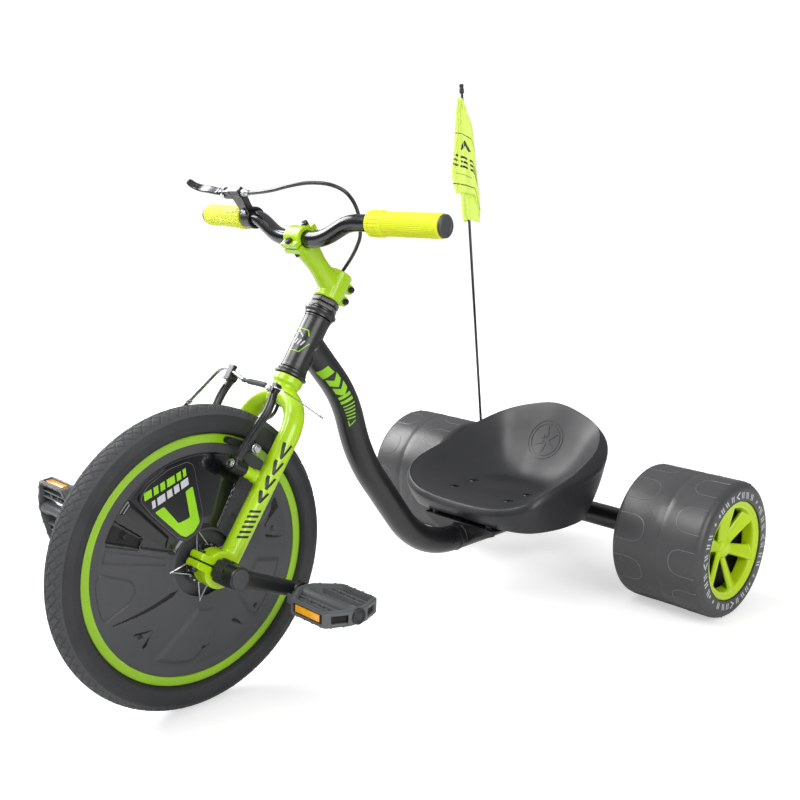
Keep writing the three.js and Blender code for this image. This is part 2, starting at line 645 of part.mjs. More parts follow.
// These cups belong to the frame, so they hang on a copy of the leaned axis
const headAxis = new THREE.Group();
headAxis.position.copy(steering.position);
headAxis.rotation.copy(steering.rotation);
rolling.add(headAxis);
const cupLow = add(headAxis, 'headset_cup_lower', headsetCup(), blackPaint);
cupLow.position.z = headTube.bottom - restGap - cup.height;
const cupHigh = add(headAxis, 'headset_cup_upper', headsetCup(), blackPaint);
cupHigh.rotation.x = Math.PI;
cupHigh.position.z = headTop + restGap + cup.height;
add(steering, 'headset_locknut', locknutBody(), blackPaint);

// Stem: a clamp round the steerer, an arm and a split clamp round the handlebar
const barCentre = vec(0, -stem.reach, clampMiddle + stem.barRise);
const armWay = vec(0, -Math.cos(stemFace.rise), Math.sin(stemFace.rise));
const armAcross = vec(0, Math.sin(stemFace.rise), Math.cos(stemFace.rise));
const faceNormal = armWay.clone();

function facePoint(out, across, x = 0) {
  return barCentre.clone().addScaledVector(faceNormal, out).addScaledVector(armAcross, across).add(vec(x, 0, 0));
}

// Half of the round clamp with its two bolt ears; side 1 is the cap
function faceHalf(side) {
  const half = stemFace.width / 2;
  const round = bar(stemFace.radius, facePoint(0, 0, -half), facePoint(0, 0, half), tubeSides);
  const ears = new THREE.BoxGeometry(stemFace.width, stemFace.earThick * 2, stemFace.ear * 2);
  ears.rotateX(-stemFace.rise).translate(barCentre.x, barCentre.y, barCentre.z);
  const keep = new THREE.BoxGeometry(stemFace.width + cutOver, stemFace.radius * 2, stemFace.ear * 3);
  keep.rotateX(-stemFace.rise);
  const away = facePoint(side * (stemFace.radius + stemFace.split / 2), 0);
  keep.translate(away.x, away.y, away.z);
  return join(round, ears).intersect(solid(keep));
}

function faceBoltPlaces() {
  return [-1, 1].map((side) => side * stemFace.boltPlace);
}

function faceCuts() {
  const half = stemFace.width / 2 + cutOver;
  const cuts = [bar(handlebar.radius + restGap, facePoint(0, 0, -half), facePoint(0, 0, half), tubeSides)];
  for (const place of faceBoltPlaces()) {
    const inner = facePoint(-faceBolt.depth, place);
    const mouth = facePoint(stemFace.radius + cutOver, place);
    cuts.push(bar(faceBolt.radius + restGap, inner, mouth, boltSides));
    cuts.push(bar(faceBolt.headRadius + restGap, facePoint(stemFace.earThick, place), mouth, boltSides));
  }
  return cuts;
}

function stemBody() {
  const low = vec(0, 0, clampBottom);
  const high = vec(0, 0, clampBottom + stem.clampLength);
  const collar = bar(stem.clampRadius, low, high, tubeSides);
  const armStartPoint = vec(0, -stem.clampRadius * stem.armRootShare, clampMiddle);
  const armEndPoint = facePoint(-stemFace.radius * stemFace.armShare, 0);
  const arm = bar(stem.armRadius, armStartPoint, armEndPoint, tubeSides);
  const halfEar = stemEar.width / 2;
  const inset = stem.clampLength * stemEar.insetShare;
  const ear = block(vec(-halfEar, 0, low.z + inset), vec(halfEar, stemEar.reach, high.z - inset));
  const slotHalf = stemEar.slot / 2;
  const slot = block(
    vec(-slotHalf, steerer.radius * stemEar.slotShare, low.z - cutOver),
    vec(slotHalf, stemEar.reach + cutOver, high.z + cutOver),
  );
  const bore = bar(steerer.radius + restGap, vec(0, 0, low.z - cutOver), vec(0, 0, high.z + cutOver), tubeSides);
  return cut(join(collar, arm, ear, faceHalf(-1)), bore, slot, ...pinchHoles(), ...faceCuts());
}

function pinchPoint(index, x) {
  const place = clampMiddle + (index * 2 - 1) * (stemEar.spacing / 2);
  return vec(x, (stem.clampRadius + stemEar.reach) / 2, place);
}

function pinchHoles() {
  const reach = stemEar.width / 2 + cutOver;
  return [0, 1].map((i) => bar(pinchBolt.radius + restGap, pinchPoint(i, -reach), pinchPoint(i, reach), boltSides));
}

function pinchBoltBody(index) {
  const half = stemEar.width / 2 + restGap;
  const shank = bar(pinchBolt.radius, pinchPoint(index, -half), pinchPoint(index, half), boltSides);
  const head = bar(pinchBolt.headRadius, pinchPoint(index, half), pinchPoint(index, half + pinchBolt.head), boltSides);
  return join(shank, head);
}

function faceBoltBody(place) {
  const top = stemFace.earThick + restGap;
  const inHead = top + faceBolt.head / 2;
  const shank = bar(faceBolt.radius, facePoint(-faceBolt.depth + restGap, place), facePoint(inHead, place), boltSides);
  const head = bar(faceBolt.headRadius, facePoint(top, place), facePoint(top + faceBolt.head, place), boltSides);
  return join(shank, head);
}

function stemCap() {
  return cut(faceHalf(1), ...faceCuts());
}

add(steering, 'stem', stemBody(), limePaint);
add(steering, 'stem_cap', stemCap(), limePaint);
add(steering, 'stem_cap_bolt_front', faceBoltBody(faceBoltPlaces()[0]), darkSteel);
add(steering, 'stem_cap_bolt_rear', faceBoltBody(faceBoltPlaces()[1]), darkSteel);
add(steering, 'stem_pinch_bolt_lower', pinchBoltBody(0), darkSteel);
add(steering, 'stem_pinch_bolt_upper', pinchBoltBody(1), darkSteel);

// Handlebar, in a group that stands upright at the clamp
const bars = new THREE.Group();
bars.position.copy(barCentre);
bars.rotation.x = headLean;
steering.add(bars);

function riseCorner(side) {
  return vec(side * handlebar.riseEnd, handlebar.sweep * handlebar.riseSweepShare, handlebar.rise);
}

function gripWay(side) {
  const end = vec(side * handlebar.half, handlebar.sweep, handlebar.rise + handlebar.lift);
  return end.sub(riseCorner(side)).normalize();
}

// A point on the straight outer run of the bar, at a distance from the middle plane
function barPoint(side, place) {
  const way = gripWay(side);
  return riseCorner(side).addScaledVector(way, (place - handlebar.riseEnd) / Math.abs(way.x));
}

function handlebarPath(past) {
  const half = (side) => [
    barPoint(side, handlebar.half + past),
    riseCorner(side),
    vec(side * handlebar.riseStart, 0, 0),
  ];
  const corners = [...half(1), ...half(-1).reverse()];
  return bentPath(corners, [handlebar.outerBend, handlebar.innerBend, handlebar.innerBend, handlebar.outerBend]);
}

function handlebarTube() {
  const outer = swept(handlebarPath(0), handlebar.radius, 32, 12);
  const inner = swept(handlebarPath(cutOver), handlebar.radius - handlebar.wall, 24, 8);
  return cut(outer, inner);
}

function gripSleeve(side) {
  const inner = barPoint(side, handlebar.half - grip.length);
  const outer = barPoint(side, handlebar.half);
  const collarEnd = barPoint(side, handlebar.half - grip.length + grip.collar);
  const way = gripWay(side).multiplyScalar(cutOver);
  const bore = bar(handlebar.radius + restGap, inner.clone().sub(way), outer.clone().add(way), tubeSides);
  return cut(join(bar(grip.radius, inner, outer, 16), bar(grip.collarRadius, inner, collarEnd, 16)), bore);
}

function gripPlug(side) {
  const end = barPoint(side, handlebar.half + restGap);
  const way = gripWay(side);
  const face = end.clone().addScaledVector(way, grip.plug);
  const tail = end.clone().addScaledVector(way, -grip.plugShank);
  return join(bar(grip.plugRadius, end, face, 16), bar(grip.shankRadius, tail, face, 8));
}

add(bars, 'handlebar', handlebarTube(), darkSteel);
for (const side of [1, -1]) {
  const name = side > 0 ? 'left' : 'right';
  add(bars, `grip_${name}`, gripSleeve(side), limeRubber);
  add(bars, `grip_plug_${name}`, gripPlug(side), greyPlastic);
}

// Brake lever on the rider's right: -Y is away from the bar, +Z is across the blade
const leverMount = new THREE.Group();
leverMount.position.copy(barPoint(-1, lever.clampPlace));
leverMount.rotation.x = -lever.pitch;
bars.add(leverMount);
const pivotX = lever.clampPlace - lever.pivotPlace;

function perchBody() {
  const half = lever.clampWidth / 2;
  const ring = bar(lever.clampRadius, vec(-half, 0, 0), vec(half, 0, 0), tubeSides);
  const out = -lever.pivotOut;
  const wide = perch.width;
  const outline = [
    [half, 0], [wide / 2 + perch.eye, out + perch.eye], [wide / 2 + perch.eye, out - perch.eye],
    [pivotX, out - perch.eye], [pivotX - perch.eye, out], [pivotX, out + perch.eye],
    [-half, -grip.collarRadius - perch.gripClear], [-half, 0],
  ];
  const body = extruded(outline, perch.thick).translate(0, 0, -perch.thick / 2);
  const way = gripWay(-1).multiplyScalar(lever.clampWidth);
  const bore = bar(handlebar.radius + restGap, way.clone().negate(), way, tubeSides);
  const slotHalf = perch.slot / 2;
  const slotStart = pivotX + perch.eye + turnGap * 2;
  const far = -lever.pivotPlace;
  const slot = block(vec(far, out - perch.eye * 3, -slotHalf), vec(slotStart, out + perch.eye + turnGap * 2, slotHalf));
  const pinHole = bar(perch.pinRadius + restGap, vec(pivotX, out, -perch.thick), vec(pivotX, out, perch.thick), boltSides);
  return cut(join(ring, body), bore.applyMatrix4(leverUnpitch()), slot, pinHole);
}

// Turns a direction given in the bars' group into the lever's group
function leverUnpitch() {
  return new THREE.Matrix4().makeRotationX(lever.pitch);
}

function leverPin() {
  const half = perch.thick / 2 + restGap;
  const out = -lever.pivotOut;
  const shank = bar(perch.pinRadius, vec(pivotX, out, -half), vec(pivotX, out, half), boltSides);
  const heads = [-1, 1].map((side) => bar(
    perch.pinRadius * perch.pinHeadShare, vec(pivotX, out, side * half), vec(pivotX, out, side * (half + perch.pinHead)), 12,
  ));
  return join(shank, ...heads);
}

// The blade: a thin root in the slot, then a wide strip with a turned-up tip
function leverBlade() {
  const out = -lever.pivotOut;
  const root = perch.slot / 2 - turnGap;
  const eye = bar(perch.eye, vec(pivotX, out, -root), vec(pivotX, out, root), boltSides);
  const start = pivotX - perch.eye - blade.thick;
  const end = start - blade.reach;
  const tipX = end - blade.tip * Math.cos(blade.tipLift);
  const middle = (start + end) / 2;
  const high = out - blade.rise;
  const tipOut = high - blade.tip * Math.sin(blade.tipLift) - blade.hook;
  const thick = blade.thick;
  const strip = [
    [start, out - thick / 2], [middle, out - blade.bow], [end, high - thick / 2], [tipX, tipOut],
    [tipX + thick / 2, tipOut + thick], [end + thick / 2, high + thick / 2],
    [middle, out - blade.bow + thick], [start, out + thick / 2],
  ];
  const wide = extruded(strip, blade.width).translate(0, 0, -blade.width / 2);
  const halfLink = perch.eye * blade.linkShare;
  const link = block(vec(start - thick, out - halfLink, -root), vec(pivotX, out + halfLink, root));
  const reach = perch.thick;
  const hole = bar(perch.pinRadius + restGap, vec(pivotX, out, -reach), vec(pivotX, out, reach), boltSides);
  return cut(join(eye, wide, link), hole);
}

function adjusterBarrel() {
  const start = perch.width / 2 + perch.eye + restGap;
  const out = -lever.pivotOut;
  const end = start + adjuster.length;
  const nut = bar(adjuster.radius, vec(start, out, 0), vec(start + adjuster.length * adjuster.nutShare, out, 0), boltSides);
  const barrel = bar(adjuster.radius * adjuster.barrelShare, vec(start, out, 0), vec(end, out, 0), boltSides);
  return cut(join(nut, barrel), bar(cable.radius + restGap, vec(start + cutOver, out, 0), vec(end + cutOver, out, 0), 12));
}

add(leverMount, 'lever_perch', perchBody(), blackSteel);
add(leverMount, 'lever_pivot_pin', leverPin(), brightSteel);
add(leverMount, 'brake_lever', leverBlade(), darkSteel);
add(leverMount, 'cable_adjuster', adjusterBarrel(), brightSteel);

// Height of the wire between the tops of the two brake arms
const lineHeight = brakeArm.topHeight - noodle.drop;

// Brake cable, in a group that stands upright, in the rolling group's own places
const upright = new THREE.Group();
upright.rotation.x = headLean;
steering.add(upright);
const route = new THREE.Group();
route.position.copy(axisFoot).negate();
upright.add(route);

// The routes as offsets from straight lines between their anchors
const upperOffsets = [
  [-10.3, -0.06, -0.03], [-5.28, -6.41, 8.06], [1.74, -12.76, 16.65], [32.76, -19.22, 28.24], [64.79, -23.07, 42.83], [90.81, -21.43, 54.92],
  [110.83, -15.78, 60.61], [115.85, -9.13, 61.1], [112.87, -4.49, 58.19], [104.89, 1.16, 49.28], [87.91, 8.81, 27.77], [64.94, 11.45, 18.46],
  [39.96, 12.1, 10.55], [16.98, 10.75, 5.64], [3, 1.39, 2.73],
];
const steererDrops = [11.7, 54.3, 100.5, 144.8, 182.4];
const lowerOffsets = [
  [0, 0, -0.8], [8.92, 5.78, -7.48], [13.83, 15.57, -14.17], [10.75, 28.35, -17.35], [3.67, 39.13, -17.53], [-9.42, 45.42, -21.22],
  [-21.5, 41.7, -29.9], [-30.58, 27.48, -41.58], [-35.67, 10.27, -47.27], [-32.75, -2.95, -40.95], [-24.83, -7.17, -28.13], [-13.12, -4.78, -13.32],
  [-0.4, 0, -0.8],
];

function offsetRoute(from, to, offsets) {
  const last = offsets.length - 1;
  return offsets.map((offset, i) => from.clone().lerp(to, i / last).add(vec(...offset)));
}

function upperRoute() {
  const mouth = vec(perch.width / 2 + perch.eye + restGap + adjuster.length, -lever.pivotOut, 0);
  const start = mouth.applyMatrix4(new THREE.Matrix4().makeRotationX(-lever.pitch)).add(barPoint(-1, lever.clampPlace));
  const from = onHeadAxis(barCentre.z).add(vec(0, barCentre.y * Math.cos(headLean), -barCentre.y * Math.sin(headLean)));
  const outside = offsetRoute(start.add(from), onHeadAxis(steererTop), upperOffsets);
  return [...outside, ...steererDrops.map((drop) => onHeadAxis(steererTop - drop))];
}

function lowerRoute() {
  const from = vec(0, 0, fork.shoulder + cable.crownDrop);
  return offsetRoute(from, vec(-noodle.endOut, -brakeArm.face - brakeArm.thick - noodle.stand, lineHeight - noodle.endDrop), lowerOffsets);
}

function cableAlong(points, steps) {
  const path = new THREE.CatmullRomCurve3(points, false, 'centripetal');
  return swept(path, cable.radius, steps, cable.sides);
}

add(route, 'brake_cable_upper', cableAlong(upperRoute(), 36), blackPlastic);
add(steering, 'brake_cable_lower', cableAlong(lowerRoute(), 24), blackPlastic);

// Brake arms in front of the fork legs; side 1 is the rider's left
const padHeight = axleAlong + Math.sqrt(pad.ringRadius ** 2 - (pad.forward - forkRake) ** 2);
const armFront = brakeArm.face + brakeArm.thick;
const lineForward = armFront + noodle.stand;
const cornerHeight = lineHeight + noodle.cornerRise;

function armOutline() {
  const spine = [
    [boss.spread, boss.height, brakeArm.width], [brakeArm.padOut, padHeight, brakeArm.width],
    [armTop.midOut, brakeArm.topHeight - armTop.midDrop, brakeArm.width * armTop.widthShare],
    [brakeArm.topOut, brakeArm.topHeight, brakeArm.width * armTop.widthShare],
  ];
  const inner = spine.map(([x, z, w]) => [x - w / 2, z]);
  const outer = spine.map(([x, z, w]) => [x + w / 2, z]).reverse();
  return [...inner, ...outer];
}

function armSolid(side) {
  const place = (x, forward, z) => vec(side * x, -forward, z);
  const plate = extruded(armOutline(), brakeArm.thick).rotateX(Math.PI / 2).translate(0, -brakeArm.face, 0);
  plate.scale(side, 1, 1);
  const sleeveStart = boss.face + turnGap;
  const eye = bar(
    brakeArm.eyeRadius, place(boss.spread, sleeveStart, boss.height), place(boss.spread, armFront, boss.height), 16,
  );
  const bracketHalf = padStud.washerRadius;
  const low = [brakeArm.padOut - brakeArm.width / 2, pad.forward - bracketHalf, padHeight - bracketHalf];
  const high = [brakeArm.padOut + brakeArm.width / 2, brakeArm.face + armTop.sink, padHeight + bracketHalf];
  const bracket = block(
    vec(Math.min(side * low[0], side * high[0]), -high[1], low[2]),
    vec(Math.max(side * low[0], side * high[0]), -low[1], high[2]),
  );
  const top = bar(
    armTop.radius, place(brakeArm.topOut, brakeArm.face, brakeArm.topHeight),
    place(brakeArm.topOut, armFront, brakeArm.topHeight), boltSides,
  );
  const pivotHole = bar(
    pivotBolt.radius + restGap, place(boss.spread, sleeveStart - cutOver, boss.height),
    place(boss.spread, armFront + cutOver, boss.height), boltSides,
  );
  const studHole = bar(
    padStud.radius + restGap, place(brakeArm.padOut - brakeArm.width, pad.forward, padHeight),
    place(brakeArm.padOut + brakeArm.width, pad.forward, padHeight), boltSides,
  );
  return cut(join(plate, eye, bracket, top), pivotHole, studHole);
}

// The left arm clamps the wire's end under a washer
function leftArm() {
  const shankHeight = lineHeight - wire.radius - wire.clampShank - restGap;
  const place = (forward) => vec(brakeArm.topOut, -forward, shankHeight);
  const washerStart = lineForward + wire.radius + turnGap;
  const shank = bar(wire.clampShank, place(armFront - armTop.sink), place(washerStart + wire.clampLength / 2), 8);
  const washer = bar(wire.clampRadius * wire.washerShare, place(washerStart), place(washerStart + wire.clampWasher), boltSides);
  const head = bar(wire.clampRadius, place(washerStart), place(washerStart + wire.clampLength / 2), 6);
  return join(armSolid(1), shank, washer, head);
}

// The right arm holds the bent tube in a stirrup
function rightArm() {
  const half = armTop.radius;
  const low = vec(-brakeArm.topOut - half, -lineForward - noodle.stand - noodle.radius, brakeArm.topHeight - half);
  const high = vec(-brakeArm.topOut + half, -armFront + armTop.sink, noodleLine(-brakeArm.topOut).z + noodle.radius * 2);
  const stirrup = block(low, high);
  const hole = bar(noodle.radius + restGap, noodleLine(low.x - cutOver), noodleLine(high.x + cutOver), boltSides);
  return cut(join(armSolid(-1), stirrup), hole);
}

// A point on the first straight run of the bent tube
function noodleLine(x) {
  const share = (noodle.tip - x) / (noodle.tip + noodle.corner);
  return vec(x, -lineForward, lineHeight + (cornerHeight - lineHeight) * share);
}

function noodleTube() {
  const corners = [
    noodleLine(noodle.tip), noodleLine(-noodle.corner), vec(-noodle.endOut, -lineForward, lineHeight - noodle.endDrop),
  ];
  return swept(bentPath(corners, [noodle.bend]), noodle.radius, 18, 8);
}

function wireSleeve() {
  const slope = (cornerHeight - lineHeight) / (noodle.corner + noodle.tip);
  const start = noodle.tip + restGap + noodle.radius * slope;
  const line = (x) => vec(x, -lineForward, lineHeight);
  const outer = bar(sleeve.radius, line(start), line(sleeve.end), boltSides);
  return cut(outer, bar(wire.radius + restGap, line(start - cutOver), line(sleeve.end + cutOver), 8));
}

// The wire from inside its sleeve past the clamp on the left arm to the tail
const wireOffsets = [
  [-34, 0, 0], [-8, 0, 0], [6, 0, 0], [13, 4.4, 0], [17, 15.4, -0.4], [19, 32.4, -1], [19.5, 51.4, -1.6], [19, 69.4, -2.2], [18.5, 84.4, -2.6],
];

function wireBody() {
  const clamp = vec(brakeArm.topOut, -lineForward, lineHeight);
  const route = wireOffsets.map((offset) => clamp.clone().add(vec(...offset)));
  const path = new THREE.CatmullRomCurve3(route, false, 'centripetal');
  const [near, end] = route.slice(-2);
  const way = end.clone().sub(near).normalize();
  const crimpStart = end.clone().addScaledVector(way, -wire.crimp);
  const crimp = bar(wire.radius * wire.crimpShare, crimpStart, end.clone().addScaledVector(way, wire.crimpOver), 8);
  return join(swept(path, wire.radius, 16, 4), crimp);
}

function padBody(side) {
  const inner = rim.halfWidth + pad.rimGap;
  const outer = inner + pad.thick;
  const armInner = brakeArm.padOut - brakeArm.width / 2;
  const armOuter = brakeArm.padOut + brakeArm.width / 2;
  const tilt = Math.asin((pad.forward - forkRake) / pad.ringRadius);
  const rubber = block(vec(inner, -pad.length / 2, -pad.height / 2), vec(outer, pad.length / 2, pad.height / 2));
  const onX = (x) => vec(x, 0, 0);
  const stud = bar(padStud.radius, onX(outer - padStud.sink), onX(armOuter + restGap + padStud.nut), 8);
  const washer = bar(padStud.washerRadius, onX(armInner - restGap - padStud.washer), onX(armInner - restGap), boltSides);
  const nut = bar(padStud.nutRadius, onX(armOuter + restGap), onX(armOuter + restGap + padStud.nut), boltSides);
  const pieces = join(rubber.rotateX(tilt), stud, washer, nut);
  return geometryOf(pieces).translate(0, -pad.forward, padHeight).scale(side, 1, 1);
}

function pivotBoltBody(side) {
  const place = (forward) => vec(side * boss.spread, -forward, boss.height);
  const start = armFront + restGap;
  const shank = bar(pivotBolt.radius, place(boss.face - pivotBolt.depth + restGap * 2), place(start), boltSides);
  return join(shank, bar(pivotBolt.headRadius, place(start), place(start + pivotBolt.head), boltSides));
}

add(steering, 'brake_arm_left', leftArm(), blackSteel);
add(steering, 'brake_arm_right', rightArm(), blackSteel);
add(steering, 'brake_pad_left', padBody(1), padRubber);
add(steering, 'brake_pad_right', padBody(-1), padRubber);
add(steering, 'brake_pivot_bolt_left', pivotBoltBody(1), brightSteel);
add(steering, 'brake_pivot_bolt_right', pivotBoltBody(-1), brightSteel);
add(steering, 'brake_noodle', noodleTube(), brightSteel);
add(steering, 'wire_sleeve', wireSleeve(), blackPlastic);
add(steering, 'brake_wire', wireBody(), brightSteel);

// Main tube, with the head tube welded to it
function mainTubePath(past, start) {
  const rear = wheelBase - mainTube.rearShort + past;
  const top = vec(0, mainTube.topY, mainTube.topZ);
  const corners = [
    top,
    vec(0, mainTube.neckY, mainTube.neckZ),
    vec(0, mainTube.dropY, mainTube.dropZ),
    vec(0, mainTube.groundY, mainTube.groundZ),
    vec(0, rear, mainTube.groundZ + mainTube.rearLift),
  ];
  const way = corners[1].clone().sub(top).normalize();
  corners[0] = top.clone().addScaledVector(way, start);
  return bentPath(corners, [mainTube.neckBend, mainTube.dropBend, mainTube.groundBend]);
}

// A point in the rolling group for a place along the steering axis
function onHeadAxis(along) {
  return axisFoot.clone().add(vec(0, along * Math.sin(headLean), along * Math.cos(headLean)));
}

function mainTubeBody() {
  const outer = swept(mainTubePath(0, 0), mainTube.radius, 20, 12);
  const inner = swept(mainTubePath(cutOver * 2, mainTube.boreStart), mainTube.radius - mainTube.wall, 12, 8);
  const head = bar(headTube.radius, onHeadAxis(headTube.bottom), onHeadAxis(headTop), tubeSides);
  const headBore = bar(
    headTube.radius - headTube.wall, onHeadAxis(headTube.bottom - cutOver), onHeadAxis(headTop + cutOver), tubeSides,
  );
  const collarY = bracket.front - mainTube.collarAhead;
  const collar = bar(
    mainTube.radius + mainTube.collarRise, vec(0, collarY, tubeHeight(collarY)),
    vec(0, collarY + mainTube.collarWidth, tubeHeight(collarY)), tubeSides,
  );
  const reach = bracket.halfWidth;
  const saddle = bar(axleTube.radius + restGap, rearAxlePoint(-reach), rearAxlePoint(reach), tubeSides);
  return cut(join(outer, head, collar), inner, headBore, saddle);
}

function rearAxlePoint(x) {
  return vec(x, wheelBase, rearTyre.radius);
}

// Rear axle tube with a hollow pin for each wheel
function rearAxleBody() {
  const end = axleTube.half + rearPin.length;
  const plug = axleTube.half - axleTube.plug;
  const half = [
    [rearPin.boreRadius, end], [rearPin.radius, end], [rearPin.radius, axleTube.half],
    [axleTube.radius, axleTube.half],
  ];
  const inside = [[rearPin.boreRadius, plug], [axleTube.radius - axleTube.wall, plug]];
  const other = half.map(([r, x]) => [r, -x]).reverse();
  const insideOther = inside.map(([r, x]) => [r, -x]);
  const outline = [...half, ...other, ...insideOther, ...inside.reverse()];
  return wheelTurned(outline, tubeSides).translate(0, wheelBase, rearTyre.radius);
}

add(rolling, 'main_tube', mainTubeBody(), blackPaint);
add(rolling, 'rear_axle_tube', rearAxleBody(), blackPaint);

// Seat bracket: a plate with folded webs that come down beside the tube
const plateLow = mainTube.groundZ + mainTube.radius + bracket.gap;
const plateTop = plateLow + bracket.thick;

function boltPlaces() {
  const rows = [seatBolt.frontRow, seatBolt.frontRow + seatBolt.rowPitch];
  return [
    ['front_left', seatBolt.halfAcross, rows[0]], ['front_right', -seatBolt.halfAcross, rows[0]],
    ['rear_left', seatBolt.halfAcross, rows[1]], ['rear_right', -seatBolt.halfAcross, rows[1]],
  ];
}

// Height of the lower run's middle line, which climbs a little to the rear
function tubeHeight(y) {
  const climb = (y - mainTube.groundY) / (wheelBase - mainTube.rearShort - mainTube.groundY);
  return mainTube.groundZ + mainTube.rearLift * climb;
}

function bracketBody() {
  const rear = bracket.front + bracket.length;
  const plate = block(vec(-bracket.halfWidth, bracket.front, plateLow), vec(bracket.halfWidth, rear, plateTop));
  const top = plateLow + bracket.thick / 2;
  const foot = plateLow - bracket.webDrop;
  const wing = [
    [-bracket.halfWidth, top], [bracket.halfWidth, top], [bracket.halfWidth, plateLow - bracket.lip],
    [bracket.footHalf, foot], [-bracket.footHalf, foot], [-bracket.halfWidth, plateLow - bracket.lip],
  ];
  const webs = [bracket.front + bracket.thick, rear].map((y) => (
    extruded(wing, bracket.thick).rotateX(Math.PI / 2).translate(0, y, 0)
  ));
  const lineAt = (y) => vec(0, y, tubeHeight(y));
  const tunnelRadius = mainTube.radius + mainTube.tunnelGap;
  const tunnel = bar(tunnelRadius, lineAt(bracket.front - cutOver), lineAt(rear + cutOver), tubeSides);
  const holes = boltPlaces().map(([, x, y]) => (
    bar(seatBolt.radius + restGap, vec(x, y, plateLow - cutOver), vec(x, y, plateTop + cutOver), boltSides)
  ));
  return cut(join(plate, ...webs), tunnel, ...holes);
}
add(rolling, 'seat_bracket', bracketBody(), blackPaint);

// Seat: a pan inside a rolled rim and a skirt, hollow from below
const rimXShares = [0, 0.62, 0.9, 0.985, 1, 0.92, 0.7, 0.36, 0];
const rimYShares = [0, 0.02, 0.1, 0.21, 0.5, 0.76, 0.93, 0.99, 1];
const rimZShares = [0, 0.05, 0.165, 0.28, 0.43, 0.62, 0.8, 0.93, 1];
const innerFloorShares = [0.8];
const outerFloorShares = [0.68, 0.88];
const skirtShares = [0, 0.5, 1];
const seatLength = seat.rear - seat.front;
const seatRise = seat.backHeight - seat.lipHeight;

function rimCurve() {
  const half = rimXShares.map((share, i) => vec(
    share * seat.halfWidth, seat.front + rimYShares[i] * seatLength, seat.lipHeight + rimZShares[i] * seatRise,
  ));
  const other = half.slice(1, -1).reverse().map((p) => vec(-p.x, p.y, p.z));
  return new THREE.CatmullRomCurve3([...half, ...other], true);
}

// Rings from the middle of the pan, over the rim and down the skirt; lift is the wall's offset
function seatRings(rimPoints, wall) {
  const middle = vec(0, seat.front + seatLength * seat.middleShare, seat.floorHeight - wall);
  const floorPoint = (p, share) => {
    const spot = middle.clone().lerp(vec(p.x, p.y, middle.z), share);
    const rise = Math.max(0, share - seat.floorShare) / (1 - seat.floorShare);
    spot.z += (p.z - seat.floorHeight) * rise ** seat.bowlPower;
    return spot;
  };
  const inward = (p, amount) => {
    const out = vec(p.x, p.y - middle.y, 0);
    return vec(0, middle.y, 0).addScaledVector(out, 1 - amount / out.length());
  };
  const skirtPoint = (p, amount, share) => {
    const back = Math.max(0, (p.y - middle.y) / (seat.rear - middle.y));
    const front = Math.max(0, 1 - p.y / middle.y);
    const tuck = seatRim.tuck + seatRim.backTuck * back ** 3;
    const bulge = seatRim.bulge + seatRim.backBulge * Math.min(1, back * 2);
    const bottom = seatRim.skirt + seatRim.frontLift * front + seatRim.backLift * back ** 4;
    const spot = inward(p, amount - bulge + tuck * share ** seatRim.tuckPower);
    const shoulder = seatRim.roll + bulge;
    spot.z = p.z - shoulder + (bottom - p.z + shoulder) * share;
    return spot;
  };
  const ring = (make) => rimPoints.map(make);
  const shares = [seat.floorShare, ...(wall > 0 ? innerFloorShares : outerFloorShares)];
  const rings = shares.map((share) => ring((p) => floorPoint(p, share * (1 - seatRim.roll / seat.halfWidth))));
  const crest = (p, side, drop) => {
    const spot = inward(p, side);
    spot.z = p.z - drop - wall;
    return spot;
  };
  if (wall === 0) rings.push(ring((p) => crest(p, seatRim.roll * seatRim.crestInShare, seatRim.roll * seatRim.crestDropShare)));
  rings.push(ring((p) => crest(p, seatRim.roll * seatRim.topInShare + wall * seatRim.wallShare, 0)));
  for (const share of skirtShares) rings.push(ring((p) => skirtPoint(p, wall, share)));
  return { middle, rings };
}

function lofted(rings, first, last) {
  const count = rings[0].length;
  const positions = [first, ...rings.flat(), last].flatMap((p) => [p.x, p.y, p.z]);
  const index = [];
  const at = (r, i) => 1 + r * count + (i % count);
  const end = 1 + rings.length * count;
  for (let i = 0; i < count; i++) {
    index.push(0, at(0, i), at(0, i + 1));
    index.push(end, at(rings.length - 1, i + 1), at(rings.length - 1, i));
    for (let r = 0; r < rings.length - 1; r++) {
      index.push(at(r, i), at(r + 1, i), at(r + 1, i + 1), at(r, i), at(r + 1, i + 1), at(r, i + 1));
    }
  }
  const geometry = new THREE.BufferGeometry();
  geometry.setAttribute('position', new THREE.Float32BufferAttribute(positions, 3));
  geometry.setIndex(index);
  return geometry;
}

function seatBody() {
  const rimPoints = rimCurve().getSpacedPoints(20).slice(0, -1);
  const top = seatRings(rimPoints, 0);
  const under = seatRings(rimPoints, seat.wall);
  const shell = lofted([...top.rings, ...under.rings.reverse()], top.middle, under.middle);
  const bosses = boltPlaces().map(([, x, y]) => (
    bar(seatBoss.radius, vec(x, y, plateTop + restGap), vec(x, y, seat.floorHeight - seat.wall / 2), boltSides)
  ));
  const holes = boltPlaces().map(([, x, y]) => (
    bar(seatBolt.radius + restGap, vec(x, y, plateTop - cutOver), vec(x, y, seat.floorHeight + seatRim.roll * 2), boltSides)
  ));
  const recesses = boltPlaces().map(([, x, y]) => (
    bar(seatBolt.headRadius + turnGap, vec(x, y, seat.floorHeight - seatBolt.head), vec(x, y, seat.backHeight), boltSides)
  ));
  return cut(join(shell, ...bosses), ...holes, ...recesses);
}

